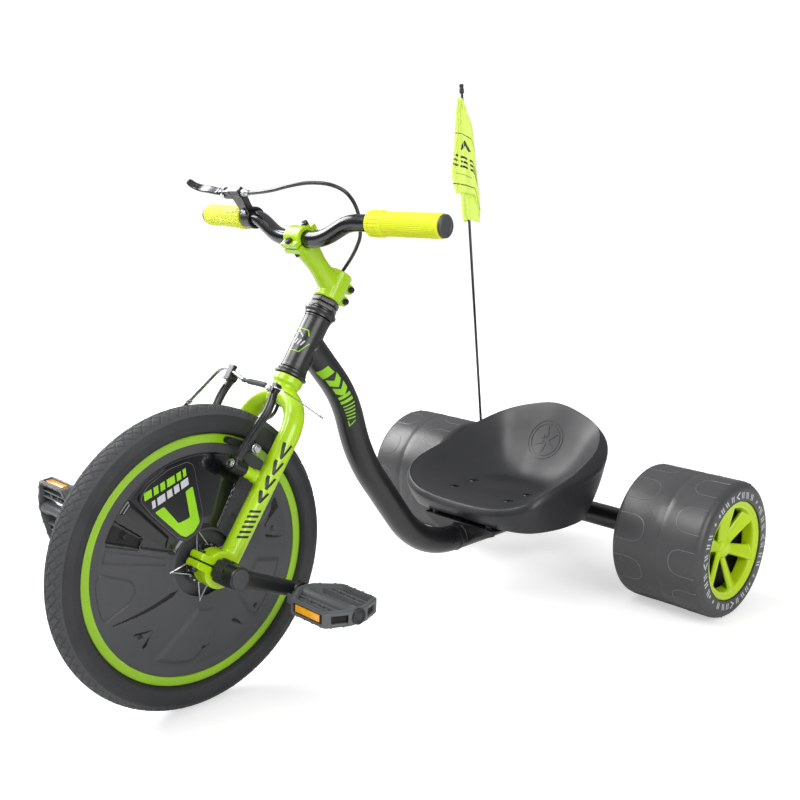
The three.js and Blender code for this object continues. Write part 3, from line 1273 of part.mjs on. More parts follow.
function seatBoltBody(x, y) {
  const headLow = seat.floorHeight - seatBolt.head + restGap;
  const nutTop = plateLow - restGap;
  const shank = bar(seatBolt.radius, vec(x, y, nutTop - seatBolt.nut), vec(x, y, headLow), 8);
  const head = bar(seatBolt.headRadius, vec(x, y, headLow), vec(x, y, headLow + seatBolt.head), boltSides);
  const nut = bar(seatBolt.headRadius, vec(x, y, nutTop - seatBolt.nut), vec(x, y, nutTop), 6);
  return join(shank, head, nut);
}

add(rolling, 'seat', seatBody(), blackPlastic);
for (const [name, x, y] of boltPlaces()) {
  add(rolling, `seat_bolt_${name}`, seatBoltBody(x, y), blackSteel);
}

// Rear wheels: a black drum with an open annular back, and a lime spoked centre
const drumInner = axleTube.half + rearTyre.axleGap;
const drumOuter = drumInner + rearTyre.width;

function rearDrum() {
  const r = rearTyre.radius;
  const cornerR = r - rearTyre.shoulder;
  const soft = rearTyre.shoulder * rearTyre.softShare;
  const out = drumOuter;
  const inn = drumInner;
  const skinR = r - rearTyre.skin;
  const webLow = inn + rearWeb.inset;
  const webHigh = webLow + rearWeb.thick;
  const bore = rearPin.radius + turnGap;
  const bossEnd = webLow + rearWeb.bossLength;
  return wheelTurned([
    [rearTyre.coreRadius, out], [cornerR, out], [r - soft, out - soft], [r, out - rearTyre.shoulder],
    [r, inn + soft], [cornerR, inn], [cornerR - rearTyre.skin, webLow],
    [skinR, inn + rearTyre.shoulder + rearTyre.skin], [skinR, out - rearTyre.shoulder - rearTyre.skin],
    [rearTyre.sleeveRadius, out - rearTyre.skin], [rearTyre.sleeveRadius, webLow], [bore, webLow],
    [bore, bossEnd], [rearWeb.bossRadius, bossEnd], [rearWeb.bossRadius, webHigh], [rearTyre.coreRadius, webHigh],
  ], drumSides);
}

function rearCentre() {
  const ringOuter = rearTyre.coreRadius - restGap;
  const ringInner = ringOuter - rearHub.ringWidth;
  const face = drumOuter - rearHub.faceInset;
  const ring = wheelTurned([
    [ringInner, face - rearHub.ringDepth], [ringOuter, face - rearHub.ringDepth], [ringOuter, face],
    [ringInner, face],
  ], drumSides);
  const bossFace = face - rearHubBoss.faceInset;
  const bossLow = drumInner + rearWeb.inset + rearWeb.bossLength + restGap;
  const centre = bar(rearHub.bossRadius, vec(bossLow, 0, 0), vec(bossFace, 0, 0), tubeSides);
  const pinEnd = axleTube.half + rearPin.length + turnGap;
  const bore = bar(rearPin.radius + turnGap, vec(bossLow - cutOver, 0, 0), vec(pinEnd, 0, 0), tubeSides);
  return cut(join(ring, centre, ...rearSpokes(ringInner, face, bossFace)), bore);
}

// Broad spokes, twisted so that each one leans from the ring back to the boss
function rearSpokes(ringInner, face, bossFace) {
  const list = [];
  const reach = ringInner + rearHub.ringWidth / 2;
  const start = rearHub.bossRadius * rearHub.rootShare;
  const mid = rearHub.ringDepth / 2;
  for (let i = 0; i < rearHub.spokes; i++) {
    const half = rearHub.spokeWidth / 2;
    const root = half * rearHub.rootWidthShare;
    const plan = [[start, -root], [reach, -half], [reach, half], [start, root]];
    const spokeBody = extruded(plan, rearHub.spokeThick).translate(0, 0, -rearHub.spokeThick / 2);
    spokeBody.rotateX(rearHubBoss.twist);
    spokeBody.applyMatrix4(new THREE.Matrix4().makeBasis(vec(0, 0, 1), vec(0, 1, 0), vec(1, 0, 0)));
    const slope = Math.atan2(face - bossFace, reach - start);
    spokeBody.rotateY(slope);
    spokeBody.translate(bossFace - mid, 0, 0);
    list.push(spokeBody.rotateX((i / rearHub.spokes) * 2 * Math.PI));
  }
  return list;
}

for (const side of [1, -1]) {
  const name = side > 0 ? 'left' : 'right';
  const wheel = new THREE.Group();
  wheel.position.set(0, wheelBase, rearTyre.radius);
  if (side < 0) wheel.rotation.z = Math.PI;
  rolling.add(wheel);
  add(wheel, `rear_drum_${name}`, rearDrum(), tyreRubber);
  add(wheel, `rear_wheel_centre_${name}`, rearCentre(), limePlastic);
}

// Flag on its pole, clamped to the right end of the rear axle tube
const footPlace = flagPole.footInset - axleTube.half;
const poleFoot = vec(footPlace, wheelBase, flagPole.footHeight);
const poleTop = vec(footPlace - flagPole.lean, wheelBase, flagPole.topHeight);
const poleWay = poleTop.clone().sub(poleFoot).normalize();
const capInside = flagPole.topHeight + restGap;
const capLow = capInside - poleCap.length * poleCap.depthShare;
const flagTop = capLow - flag.capGap;

function polePoint(height) {
  return poleFoot.clone().addScaledVector(poleWay, (height - poleFoot.z) / poleWay.z);
}

function socketBody() {
  const half = poleSocket.clampWidth / 2;
  const across = (x) => rearAxlePoint(footPlace + x);
  const ring = bar(poleSocket.clampRadius, across(-half), across(half), tubeSides);
  const foot = polePoint(flagPole.footHeight - poleSocket.sink);
  const post = bar(poleSocket.radius, foot, polePoint(flagPole.footHeight + poleSocket.length), boltSides);
  const axleBore = bar(axleTube.radius + restGap, across(-half - cutOver), across(half + cutOver), tubeSides);
  const top = flagPole.footHeight + poleSocket.length;
  const poleBore = bar(flagPole.radius + restGap, polePoint(top - poleSocket.boreDepth), polePoint(top + cutOver), 10);
  return cut(join(ring, post), axleBore, poleBore);
}

function poleBody() {
  const low = flagPole.footHeight + poleSocket.length - poleSocket.boreDepth + restGap;
  return bar(flagPole.radius, polePoint(low), poleTop, 10);
}

function poleCapBody() {
  const cap = bar(poleCap.radius, polePoint(capLow), polePoint(capLow + poleCap.length), 12);
  return cut(cap, bar(flagPole.radius + restGap, polePoint(capLow - cutOver), polePoint(capInside), 12));
}

// The cloth hangs folded round the pole in upright pleats
const flagDownShares = [0, 0.08, 0.16, 0.3, 0.45, 0.6, 0.72, 0.775, 0.8, 0.9, 1];
const flagNearShares = [0.3, 0.52, 0.68, 0.84, 0.98, 1.12, 1.2, 1.2, 0.42, 0.42, 0.4];
const flagFarShares = [0.3, 0.55, 0.78, 0.85, 0.88, 0.92, 0.95, 0.95, 0.96, 0.98, 0.82];

function flagBody() {
  const outer = [];
  const inner = [];
  const across = vec(Math.cos(flag.facing), Math.sin(flag.facing), 0);
  const through = vec(-across.y, across.x, 0);
  flagDownShares.forEach((down, level) => {
    const centre = polePoint(flagTop - flag.length * down);
    const [near, far] = [flagNearShares[level], flagFarShares[level]];
    const ring = [];
    const core = [];
    for (let i = 0; i < flag.points; i++) {
      const angle = (i / flag.points) * 2 * Math.PI;
      const wide = flag.halfWidth * (Math.cos(angle) > 0 ? far : near) * Math.cos(angle);
      const pleat = 1 + flag.pleatShare * Math.cos(flag.folds * angle + down * flag.turn);
      const deep = flag.halfDepth * Math.sin(angle) * pleat * (level === 0 ? flag.tightShare : 1);
      const spot = centre.clone().addScaledVector(across, wide).addScaledVector(through, deep);
      spot.z -= wide * flag.sagShare * down;
      ring.push(spot);
      core.push(centre.clone().addScaledVector(across, flag.bore * Math.cos(angle))
        .addScaledVector(through, flag.bore * Math.sin(angle)));
    }
    outer.push(ring);
    inner.push(core);
  });
  return ringBody([...outer, ...inner.reverse()]);
}

// Rings joined one after another and the last back to the first
function ringBody(rings) {
  const count = rings[0].length;
  const positions = rings.flat().flatMap((p) => [p.x, p.y, p.z]);
  const index = [];
  const at = (r, i) => (r % rings.length) * count + (i % count);
  for (let r = 0; r < rings.length; r++) {
    for (let i = 0; i < count; i++) {
      index.push(at(r, i), at(r + 1, i), at(r + 1, i + 1), at(r, i), at(r + 1, i + 1), at(r, i + 1));
    }
  }
  const geometry = new THREE.BufferGeometry();
  geometry.setAttribute('position', new THREE.Float32BufferAttribute(positions, 3));
  geometry.setIndex(index);
  return geometry;
}

add(rolling, 'flag_socket', socketBody(), blackPlastic);
add(rolling, 'flag_pole', poleBody(), blackPlastic);
add(rolling, 'flag_pole_cap', poleCapBody(), blackPlastic);
add(rolling, 'flag', flagBody(), limeCloth);

export default model;
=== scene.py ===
# Drift trike: the looks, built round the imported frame
import json
import math

import bmesh
import bpy
import numpy as np
from mathutils import Matrix, Vector
from mathutils.bvhtree import BVHTree

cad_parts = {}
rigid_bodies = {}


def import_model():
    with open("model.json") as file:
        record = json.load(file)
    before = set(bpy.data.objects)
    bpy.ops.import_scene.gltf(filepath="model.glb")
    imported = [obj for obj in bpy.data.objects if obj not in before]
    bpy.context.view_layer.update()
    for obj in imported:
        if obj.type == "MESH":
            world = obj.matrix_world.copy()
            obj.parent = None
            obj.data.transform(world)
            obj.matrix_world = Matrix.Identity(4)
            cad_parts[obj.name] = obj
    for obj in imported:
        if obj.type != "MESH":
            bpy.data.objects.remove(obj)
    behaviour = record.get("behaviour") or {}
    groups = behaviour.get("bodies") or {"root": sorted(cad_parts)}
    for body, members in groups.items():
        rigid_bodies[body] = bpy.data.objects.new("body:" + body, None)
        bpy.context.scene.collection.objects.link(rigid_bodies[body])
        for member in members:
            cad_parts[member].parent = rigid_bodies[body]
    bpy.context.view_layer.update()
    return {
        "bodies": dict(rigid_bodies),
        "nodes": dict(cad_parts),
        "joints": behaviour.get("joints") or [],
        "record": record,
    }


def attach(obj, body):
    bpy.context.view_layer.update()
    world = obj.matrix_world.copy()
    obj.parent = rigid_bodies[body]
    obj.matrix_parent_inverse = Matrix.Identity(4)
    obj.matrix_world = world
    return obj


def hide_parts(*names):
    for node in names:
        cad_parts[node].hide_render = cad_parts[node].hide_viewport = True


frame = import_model()
scene = bpy.context.scene
print("frame loaded")

# The photograph's view, then a pale floor and soft studio light
camera = {"place": (1.1217, -1.0495, 0.695), "azimuth": 45.8, "elevation": 12.2, "lens": 47.51}
studio = {"floor": "#e2e2e2", "floorHalf": 9, "floorGlow": (0.5, 0.72), "glowFade": (0.9, 2.4),
          "sky": "#ffffff", "skySeen": 1.05, "skyLow": 0.2, "skyHigh": 0.62, "target": (0, 0, 0.3),
          "lights": [("keyLight", (-0.6, -1.8, 2.6), 1.6, 48), ("fillLight", (2.4, -0.6, 1.4), 1.8, 36),
                     ("sideLight", (-2.5, -0.5, 1.9), 2.0, 90)]}


def linear(hexColor):
    parts = [int(hexColor[i:i + 2], 16) / 255 for i in (1, 3, 5)]
    return tuple(c / 12.92 if c <= 0.04045 else ((c + 0.055) / 1.055) ** 2.4 for c in parts) + (1.0,)


def addNode(tree, kind, settings=None, links=None):
    node = tree.nodes.new(kind)
    for key, value in (settings or {}).items():
        if isinstance(key, int) or key in node.inputs:
            node.inputs[key].default_value = value
        else:
            setattr(node, key, value)
    for key, (source, output) in (links or {}).items():
        tree.links.new(source.outputs[output], node.inputs[key])
    return node


def setInputs(node, values):
    for key, value in values.items():
        node.inputs[key].default_value = value


def newMaterial(name):
    material = bpy.data.materials.new(name)
    material.use_nodes = True
    return material, material.node_tree, material.node_tree.nodes["Principled BSDF"]


def inScene(name, data):
    made = bpy.data.objects.new(name, data)
    scene.collection.objects.link(made)
    return made


def setCamera():
    lens = bpy.data.cameras.new("camera")
    lens.sensor_width, lens.lens, lens.clip_end = 36, camera["lens"], 50
    seen = inScene("camera", lens)
    turn, lift = math.radians(camera["azimuth"]), math.radians(camera["elevation"])
    back = Vector((math.sin(turn) * math.cos(lift), -math.cos(turn) * math.cos(lift), math.sin(lift)))
    seen.location = camera["place"]
    seen.rotation_mode = "QUATERNION"
    seen.rotation_quaternion = (-back).to_track_quat("-Z", "Y")
    scene.camera = seen


def addLight(name, place, size, power):
    data = bpy.data.lights.new(name, "AREA")
    data.shape, data.size, data.energy = "DISK", size, power
    light = inScene(name, data)
    light.location = place
    light.rotation_euler = (Vector(studio["target"]) - Vector(place)).to_track_quat("-Z", "Y").to_euler()


def setStudio():
    world = bpy.data.worlds.new("sky")
    world.use_nodes = True
    tree = world.node_tree
    sky = tree.nodes["Background"]
    sky.inputs["Color"].default_value = linear(studio["sky"])
    ray = addNode(tree, "ShaderNodeLightPath")
    way = addNode(tree, "ShaderNodeTexCoord")
    rise = addNode(tree, "ShaderNodeSeparateXYZ", links={"Vector": (way, "Generated")})
    ramp = addNode(tree, "ShaderNodeMapRange", {"To Min": studio["skyLow"], "To Max": studio["skyHigh"]},
                   {"Value": (rise, "Z")})
    seen = addNode(tree, "ShaderNodeMix", {3: studio["skySeen"]},
                   {0: (ray, "Is Camera Ray"), 2: (ramp, "Result")})
    tree.links.new(seen.outputs[0], sky.inputs["Strength"])
    scene.world = world
    for light in studio["lights"]:
        addLight(*light)
    half = studio["floorHalf"]
    mesh = bpy.data.meshes.new("floor")
    mesh.from_pydata([(-half, -half, 0), (half, -half, 0), (half, half, 0), (-half, half, 0)], [],
                     [(0, 1, 2, 3)])
    floor = inScene("floor", mesh)
    paint, tree, shader = newMaterial("studioFloor")
    setInputs(shader, {"Base Color": linear(studio["floor"]), "Roughness": 0.7,
                       "Emission Color": (1, 1, 1, 1)})
    look = addNode(tree, "ShaderNodeLightPath")
    spot = addNode(tree, "ShaderNodeTexCoord")
    away = addNode(tree, "ShaderNodeVectorMath", {"operation": "LENGTH"}, {0: (spot, "Object")})
    (start, end), (near, far) = studio["glowFade"], studio["floorGlow"]
    fade = addNode(tree, "ShaderNodeMapRange", {"From Min": start, "From Max": end, "To Min": near,
                                                "To Max": far},
                   {"Value": (away, "Value")})
    glow = addNode(tree, "ShaderNodeMath", {"operation": "MULTIPLY"},
                   {0: (look, "Is Camera Ray"), 1: (fade, "Result")})
    tree.links.new(glow.outputs[0], shader.inputs["Emission Strength"])
    mesh.materials.append(paint)


scene.view_settings.view_transform = "Standard"
setCamera()
setStudio()
print("camera, floor and light set")

# Finishes. Sizes in the dictionaries are in millimetres on the real surface
looks = {
    # powder coat under clear lacquer: slight orange peel, wide soft highlights
    "limePowderCoat": dict(color="#b4dc06", shade="#a4d004", patch=60, grain=1.4, bump=0.02, rough=0.28,
                           drift=0.06, coat=0.4, coatRough=0.08),
    # the rim's coat, a shade deeper
    "limeRimCoat": dict(color="#93c208", shade="#86b604", patch=60, grain=1.4, bump=0.02, rough=0.3,
                        drift=0.06, coat=0.3, coatRough=0.1),
    # the same coat in black
    "blackPowderCoat": dict(color="#0e0f10", shade="#151618", patch=50, grain=1.4, bump=0.02, rough=0.34,
                            drift=0.08, coat=0.4, coatRough=0.3),
    # nickel and smoked chrome: dark mirror with faint polishing haze
    "smokedChrome": dict(color="#57585a", shade="#4a4a4b", patch=30, grain=0.9, bump=0.004, rough=0.16,
                         drift=0.08, metal=1),
    # zinc-plated steel: bright, a little cloudy
    "zincSteel": dict(color="#c6c9cc", shade="#b4b7bb", patch=8, grain=0.7, bump=0.008, rough=0.24, drift=0.1,
                      metal=1),
    # black electro-coat on steel and cast alloy: thin, glossy, shows every edge
    "blackElectroCoat": dict(color="#0c0d0e", shade="#131416", patch=20, grain=0.8, bump=0.01, rough=0.32,
                             drift=0.1, coat=0.2, coatRough=0.12),
    # cast alloy with a silver wash
    "castAlloy": dict(color="#6c6f72", shade="#5c5f62", patch=9, grain=0.6, bump=0.02, rough=0.34, drift=0.1,
                      metal=1),
    # moulded ABS with a satin spark finish: grey, fine grain
    "satinAbs": dict(color="#454648", shade="#3c3d40", patch=70, grain=0.8, bump=0.02, rough=0.42,
                     drift=0.07),
    # the same ABS, polished
    "glossAbs": dict(color="#101113", shade="#17181a", patch=60, grain=2, bump=0.006, rough=0.14, drift=0.04,
                     coat=0.4, coatRough=0.05),
    # blow-moulded polyethylene for the seat: leather-like grain, greyer where it is rubbed
    "grainedPolyethylene": dict(color="#1f2022", shade="#292a2c", patch=90, grain=1.3, bump=0.09, rough=0.42,
                                drift=0.1, cells=True),
    # hard polyethylene of the drums: smooth, waxy, cloudy
    "waxyPolyethylene": dict(color="#3c3c3d", shade="#464648", patch=60, grain=1.1, bump=0.025, rough=0.36,
                             drift=0.12),
    # the same, lightened: a painted highlight on the raised tab outlines
    "tabEdgePaintedHighlight": dict(color="#66676a", shade="#56575a", patch=14, grain=0.8, bump=0.02, rough=0.3, drift=0.1),
    # tread rubber, painted lighter than the walls: a painted highlight where light falls on the crown; matt
    "treadRubberPaintedHighlight": dict(color="#3c3d3f", shade="#48494c", patch=24, grain=0.5, bump=0.05, rough=0.74,
                        drift=0.12),
    "sidewallRubber": dict(color="#2b2c2e", shade="#252628", patch=40, grain=0.6, bump=0.03, rough=0.62,
                           drift=0.1),
    # soft grip rubber, dyed through
    "limeGripRubber": dict(color="#e4ec1c", shade="#d8e214", patch=30, grain=0.6, bump=0.04, rough=0.55,
                           drift=0.08, glow=0.05),
    "limeNylon": dict(color="#c2e010", shade="#b4d40a", patch=40, grain=0.9, bump=0.02, rough=0.34,
                      drift=0.08, coat=0.2),
    "blackRubber": dict(color="#17181a", shade="#222325", patch=12, grain=0.5, bump=0.04, rough=0.6,
                        drift=0.1),
    "greyRubber": dict(color="#505254", shade="#46484a", patch=12, grain=0.6, bump=0.04, rough=0.5,
                       drift=0.1),
    # glass-filled nylon of the pedals: grey, sparkly grain
    "filledNylon": dict(color="#606265", shade="#545659", patch=20, grain=0.7, bump=0.05, rough=0.44,
                        drift=0.1),
    "darkNylon": dict(color="#242528", shade="#2c2d30", patch=20, grain=0.7, bump=0.05, rough=0.45,
                      drift=0.1),
    "cableJacket": dict(color="#26272a", shade="#303135", patch=10, grain=0.6, bump=0.02, rough=0.3,
                        drift=0.08, coat=0.2),
    "blackInk": dict(color="#101112", shade="#18191b", patch=6, grain=0.5, bump=0.01, rough=0.4, drift=0.08),
    "silverInk": dict(color="#c9cbce", shade="#bcbfc3", patch=6, grain=0.5, bump=0.01, rough=0.4, drift=0.08),
    # grey band for the emblem plate's rim: a painted highlight
    "paintedEdgeHighlight": dict(color="#5c5e61", shade="#505255", patch=6, grain=0.5, bump=0.01, rough=0.35, drift=0.08),
    "limeInk": dict(color="#a6e012", shade="#7cc00a", patch=45, grain=0.5, bump=0.01, rough=0.3, drift=0.08),
    # near-black painted shade, laid into holes, slits, grooves and sockets
    "paintedShadeGap": dict(color="#08090a", shade="#0d0e0f", patch=10, grain=0.8, bump=0.02, rough=0.7, drift=0.1),
}


def makeFinish(name, look):
    material, tree, shader = newMaterial(name)
    place = addNode(tree, "ShaderNodeTexCoord")
    cloud = addNode(tree, "ShaderNodeTexNoise", {"Scale": 1000 / look["patch"], "Detail": 3.0},
                    {"Vector": (place, "Object")})
    mix = addNode(tree, "ShaderNodeMix", {"data_type": "RGBA", 6: linear(look["color"]),
                                          7: linear(look["shade"])},
                  {0: (cloud, "Fac")})
    if look.get("cells"):
        kind, output, more = "ShaderNodeTexVoronoi", "Distance", {"feature": "SMOOTH_F1"}
    else:
        kind, output, more = "ShaderNodeTexNoise", "Fac", {"Detail": 2.0}
    grain = addNode(tree, kind, {"Scale": 1000 / look["grain"], **more}, {"Vector": (place, "Object")})
    low, high = look["rough"] - look["drift"], look["rough"] + look["drift"]
    gloss = addNode(tree, "ShaderNodeMapRange", {"From Min": 0.3, "From Max": 0.7, "To Min": low,
                                                 "To Max": high},
                    {"Value": (cloud, "Fac")})
    bump = addNode(tree, "ShaderNodeBump", {"Strength": 0.8, "Distance": look["bump"] / 1000},
                   {"Height": (grain, output)})
    for node, index, key in ((mix, 2, "Base Color"), (gloss, 0, "Roughness"), (bump, 0, "Normal")):
        tree.links.new(node.outputs[index], shader.inputs[key])
    setInputs(shader, {"Metallic": look.get("metal", 0), "Coat Weight": look.get("coat", 0),
                       "Coat Roughness": look.get("coatRough", 0.1)})
    if look.get("glow"):  # light scattered inside the dyed rubber
        setInputs(shader, {"Subsurface Weight": look["glow"], "Subsurface Radius": (0.004, 0.005, 0.001)})
    return material


finishes = {name: makeFinish(name, look) for name, look in looks.items()}


# Amber acrylic over rows of corner prisms: deep colour, sparkling facets, and a faint painted glow
reflectorLook = {"color": "#f8b010", "depth": "#cf8400", "prism": 2.6, "uneven": 0.15, "bump": 0.6,
                 "rough": 0.12, "coat": 0.7, "paintedGlow": 0.12}


def makeReflector():
    t = reflectorLook
    material, tree, shader = newMaterial("amberReflector")
    place = addNode(tree, "ShaderNodeTexCoord")
    cells = addNode(tree, "ShaderNodeTexVoronoi", {"Scale": 1000 / t["prism"], "Randomness": t["uneven"]},
                    {"Vector": (place, "Object")})
    mix = addNode(tree, "ShaderNodeMix", {"data_type": "RGBA", 6: linear(t["color"]), 7: linear(t["depth"])},
                  {0: (cells, "Distance")})
    bump = addNode(tree, "ShaderNodeBump", {"Strength": 0.7, "Distance": t["bump"] / 1000},
                   {"Height": (cells, "Distance")})
    tree.links.new(mix.outputs[2], shader.inputs["Base Color"])
    tree.links.new(bump.outputs[0], shader.inputs["Normal"])
    # the emission is a painted glow; the reflector is no lamp
    setInputs(shader, {"Roughness": t["rough"], "Coat Weight": t["coat"],
                       "Emission Color": linear(t["color"]), "Emission Strength": t["paintedGlow"]})
    return material


finishes["amberReflector"] = makeReflector()
print("finishes made:", len(finishes))


# Shapes are pairs of points and faces, in millimetres
def loft(rings, closeAlong=False, caps=True):
    rings = np.asarray(rings, float)
    rows, count = rings.shape[:2]
    faces = []
    for r in range(rows if closeAlong else rows - 1):
        a, b = r * count, ((r + 1) % rows) * count
        for i in range(count):
            j = (i + 1) % count
            faces.append((a + i, a + j, b + j, b + i))
    if caps and not closeAlong:
        faces.append(tuple(range(count))[::-1])
        faces.append(tuple(range((rows - 1) * count, rows * count)))
    return rings.reshape(-1, 3), faces


def rounded(points, radius, steps=3, closed=True):
    points = [np.array(p, float) for p in points]
    made = []
    count = len(points)
    for i, p in enumerate(points):
        if not closed and i in (0, count - 1):
            made.append(p)
            continue
        before, after = points[i - 1] - p, points[(i + 1) % count] - p
        reach = min(radius, np.linalg.norm(before) * 0.45, np.linalg.norm(after) * 0.45)
        if reach < 1e-6:
            made.append(p)
            continue
        start, end = p + before / np.linalg.norm(before) * reach, p + after / np.linalg.norm(after) * reach
        for k in range(steps + 1):
            t = k / steps
            made.append((1 - t) ** 2 * start + 2 * t * (1 - t) * p + t * t * end)
    return made


def latheX(profile, steps=96, soft=0.0, closed=True):  # profile: radius, then place along X
    if soft:
        profile = rounded(profile, soft, closed=closed)
    angle = np.linspace(0, 2 * math.pi, steps, endpoint=False)
    rings = [np.stack([np.full(steps, x), r * np.cos(angle), r * np.sin(angle)], 1) for r, x in profile]
    return loft(rings, closeAlong=closed, caps=not closed)


def latheZ(profile, steps=96, soft=0.0, closed=True):
    points, faces = latheX(profile, steps, soft, closed)
    return points[:, [1, 2, 0]], faces


def framesAlong(points):
    points = np.asarray(points, float)
    tangents = np.gradient(points, axis=0)
    tangents /= np.linalg.norm(tangents, axis=1)[:, None]
    side = np.cross(tangents[0], [0.31, 0.77, 0.55])
    side /= np.linalg.norm(side)
    frames = []
    for t in tangents:
        side = side - t * (side @ t)
        side /= np.linalg.norm(side)
        frames.append((side.copy(), np.cross(t, side)))
    return points, tangents, frames


def skinRings(path, radii, sides):
    points, _, frames = framesAlong(path)
    angle = np.linspace(0, 2 * math.pi, sides, endpoint=False)
    return [p + r * (np.cos(angle)[:, None] * u + np.sin(angle)[:, None] * v)
            for p, r, (u, v) in zip(points, np.broadcast_to(radii, len(points)), frames)]


def tube(path, radius, sides=24):
    return loft(skinRings(path, radius, sides))


def rod(radius, start, end, sides=40, soft=0.5):
    start, end = np.array(start, float), np.array(end, float)
    length = np.linalg.norm(end - start)
    soft = min(soft, radius * 0.4, length * 0.4)
    profile = rounded([(0, 0), (radius, 0), (radius, length), (0, length)], soft, 2, False)[1:-1]
    way = Vector(end - start).normalized()
    turn = Vector((0, 0, 1)).rotation_difference(way).to_matrix()
    points, faces = latheZ(profile, sides, closed=False)
    return points @ np.array(turn).T + start, faces


def squircle(k, count, power, otherPower=None):  # point k of a rounded square, each way from -1 to 1
    c, s = math.cos(k / count * 2 * math.pi), math.sin(k / count * 2 * math.pi)
    return abs(c) ** power * math.copysign(1, c), abs(s) ** (otherPower or power) * math.copysign(1, s)


def lengthsAlong(points, power=1):
    steps = np.linalg.norm(np.diff(points, axis=0), axis=1) ** power
    return np.concatenate([[0], np.cumsum(steps)])


def prism(outline, low, high):
    outline = np.asarray(outline, float)
    rings = [np.column_stack([outline, np.full(len(outline), z)]) for z in (low, high)]
    return loft(rings)


def boxShape(corner, other):
    (x0, x1), (y0, y1), (z0, z1) = (sorted(pair) for pair in zip(corner, other))
    return prism([(x0, y0), (x1, y0), (x1, y1), (x0, y1)], z0, z1)


def hexNut(radius, start, end):
    return rod(radius, start, end, 6, 0)


def moved(shape, place):
    place = np.array(place, float)
    return shape[0] @ place[:3, :3].T + place[:3, 3], shape[1]


def shift(x=0, y=0, z=0):
    made = np.eye(4)
    made[:3, 3] = (x, y, z)
    return made


def turnAbout(axis, degrees):
    return np.array(Matrix.Rotation(math.radians(degrees), 4, axis))


def basis(x, y, z, origin=(0, 0, 0)):
    made = np.eye(4)
    made[:3, 0], made[:3, 1], made[:3, 2], made[:3, 3] = x, y, z, origin
    return made


def combined(shapes):
    points, faces, total = [], [], 0
    for p, f in shapes:
        points.append(p)
        faces += [tuple(i + total for i in face) for face in f]
        total += len(p)
    return np.concatenate(points), faces


def bentPath(corners, bends, step=5.0):
    corners = [np.array(c, float) for c in corners]
    points = []
    start = corners[0]

    def run(a, b):
        count = max(2, int(np.linalg.norm(b - a) / step))
        return [a + (b - a) * k / count for k in range(count)]

    for i in range(1, len(corners) - 1):
        into, away = corners[i] - corners[i - 1], corners[i + 1] - corners[i]
        a = corners[i] - into / np.linalg.norm(into) * bends[i - 1]
        b = corners[i] + away / np.linalg.norm(away) * bends[i - 1]
        points += run(start, a)
        for k in range(14):
            t = k / 14
            points.append((1 - t) ** 2 * a + 2 * t * (1 - t) * corners[i] + t * t * b)
        start = b
    points += run(start, corners[-1]) + [corners[-1]]
    return np.array(points)


def smoothPath(points, count):
    points = np.array(points, float)
    padded = np.vstack([2 * points[0] - points[1], points, 2 * points[-1] - points[-2]])
    knots = lengthsAlong(padded, 0.5)
    made = []
    for t in np.linspace(knots[1], knots[-2], count):
        i = min(max(int(np.searchsorted(knots, t, "right")) - 1, 1), len(padded) - 3)
        k, p = knots[i - 1:i + 3], padded[i - 1:i + 3]
        a = [p[j] * (k[j + 1] - t) / (k[j + 1] - k[j]) + p[j + 1] * (t - k[j]) / (k[j + 1] - k[j])
             for j in range(3)]
        b = [a[j] * (k[j + 2] - t) / (k[j + 2] - k[j]) + a[j + 1] * (t - k[j]) / (k[j + 2] - k[j])
             for j in range(2)]
        made.append(b[0] * (k[2] - t) / (k[2] - k[1]) + b[1] * (t - k[1]) / (k[2] - k[1]))
    return np.array(made)


# Places of the groups, in the trike's own frame
wheelCentre = (0, -334.9, 203)
rolling = shift(y=wheelCentre[1])
wheelPlace = shift(*wheelCentre)
steerPlace = shift(0, -317.2271, 203) @ turnAbout("X", -34.3)
barPlace = shift(0, -145.782, 607.294)
leverPlace = shift(-117, -137.674, 631.294) @ turnAbout("X", -50)
rearPlace = {"left": shift(0, 427.1, 110.8), "right": shift(0, 427.1, 110.8) @ turnAbout("Z", 180)}
sides = {"left": 1, "right": -1}


def meshObject(name, shape, materials, place=None, faceFinish=None, merge=True):
    if place is not None:
        shape = moved(shape, place)
    mesh = bpy.data.meshes.new(name)
    mesh.from_pydata((np.asarray(shape[0]) / 1000).tolist(), [], shape[1])
    if faceFinish is not None:
        mesh.polygons.foreach_set("material_index", np.asarray(faceFinish, np.int32))
    for material in materials:
        mesh.materials.append(finishes[material])
    work = bmesh.new()
    work.from_mesh(mesh)
    if merge:
        bmesh.ops.remove_doubles(work, verts=work.verts, dist=1e-6)
    bmesh.ops.recalc_face_normals(work, faces=work.faces)
    work.to_mesh(mesh)
    work.free()
    return inScene(name, mesh)


def baked(made):  # the modifiers turned into a plain mesh
    bpy.context.view_layer.update()
    whole = made.evaluated_get(bpy.context.evaluated_depsgraph_get())
    mesh = bpy.data.meshes.new_from_object(whole)
    made.modifiers.clear()
    made.data = mesh
    return made


def bevelled(made, width, angle=30):
    edge = made.modifiers.new("edge", "BEVEL")
    edge.width, edge.segments = width / 1000, 2
    edge.limit_method, edge.angle_limit = "ANGLE", math.radians(angle)
    return baked(made)


def joined(made, shapes, material, place, operation="DIFFERENCE"):
    for shape in shapes:
        tool = meshObject("tool", shape, [material], place)
        change = made.modifiers.new("change", "BOOLEAN")
        change.operation, change.solver, change.object = operation, "EXACT", tool
        baked(made)
        bpy.data.objects.remove(tool)


def inOneFinish(made, material):
    made.data.materials.clear()
    made.data.materials.append(finishes[material])
    return made


def smoothed(made, sharp=34):
    work = bmesh.new()
    work.from_mesh(made.data)
    for face in work.faces:
        face.smooth = True
    limit = math.radians(sharp)
    for edge in work.edges:
        edge.smooth = len(edge.link_faces) == 2 and edge.calc_face_angle(0) < limit
    work.to_mesh(made.data)
    work.free()
    return made


def settle(made, body, replaces=""):
    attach(made, body)
    if replaces:
        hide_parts(replaces)
    return made


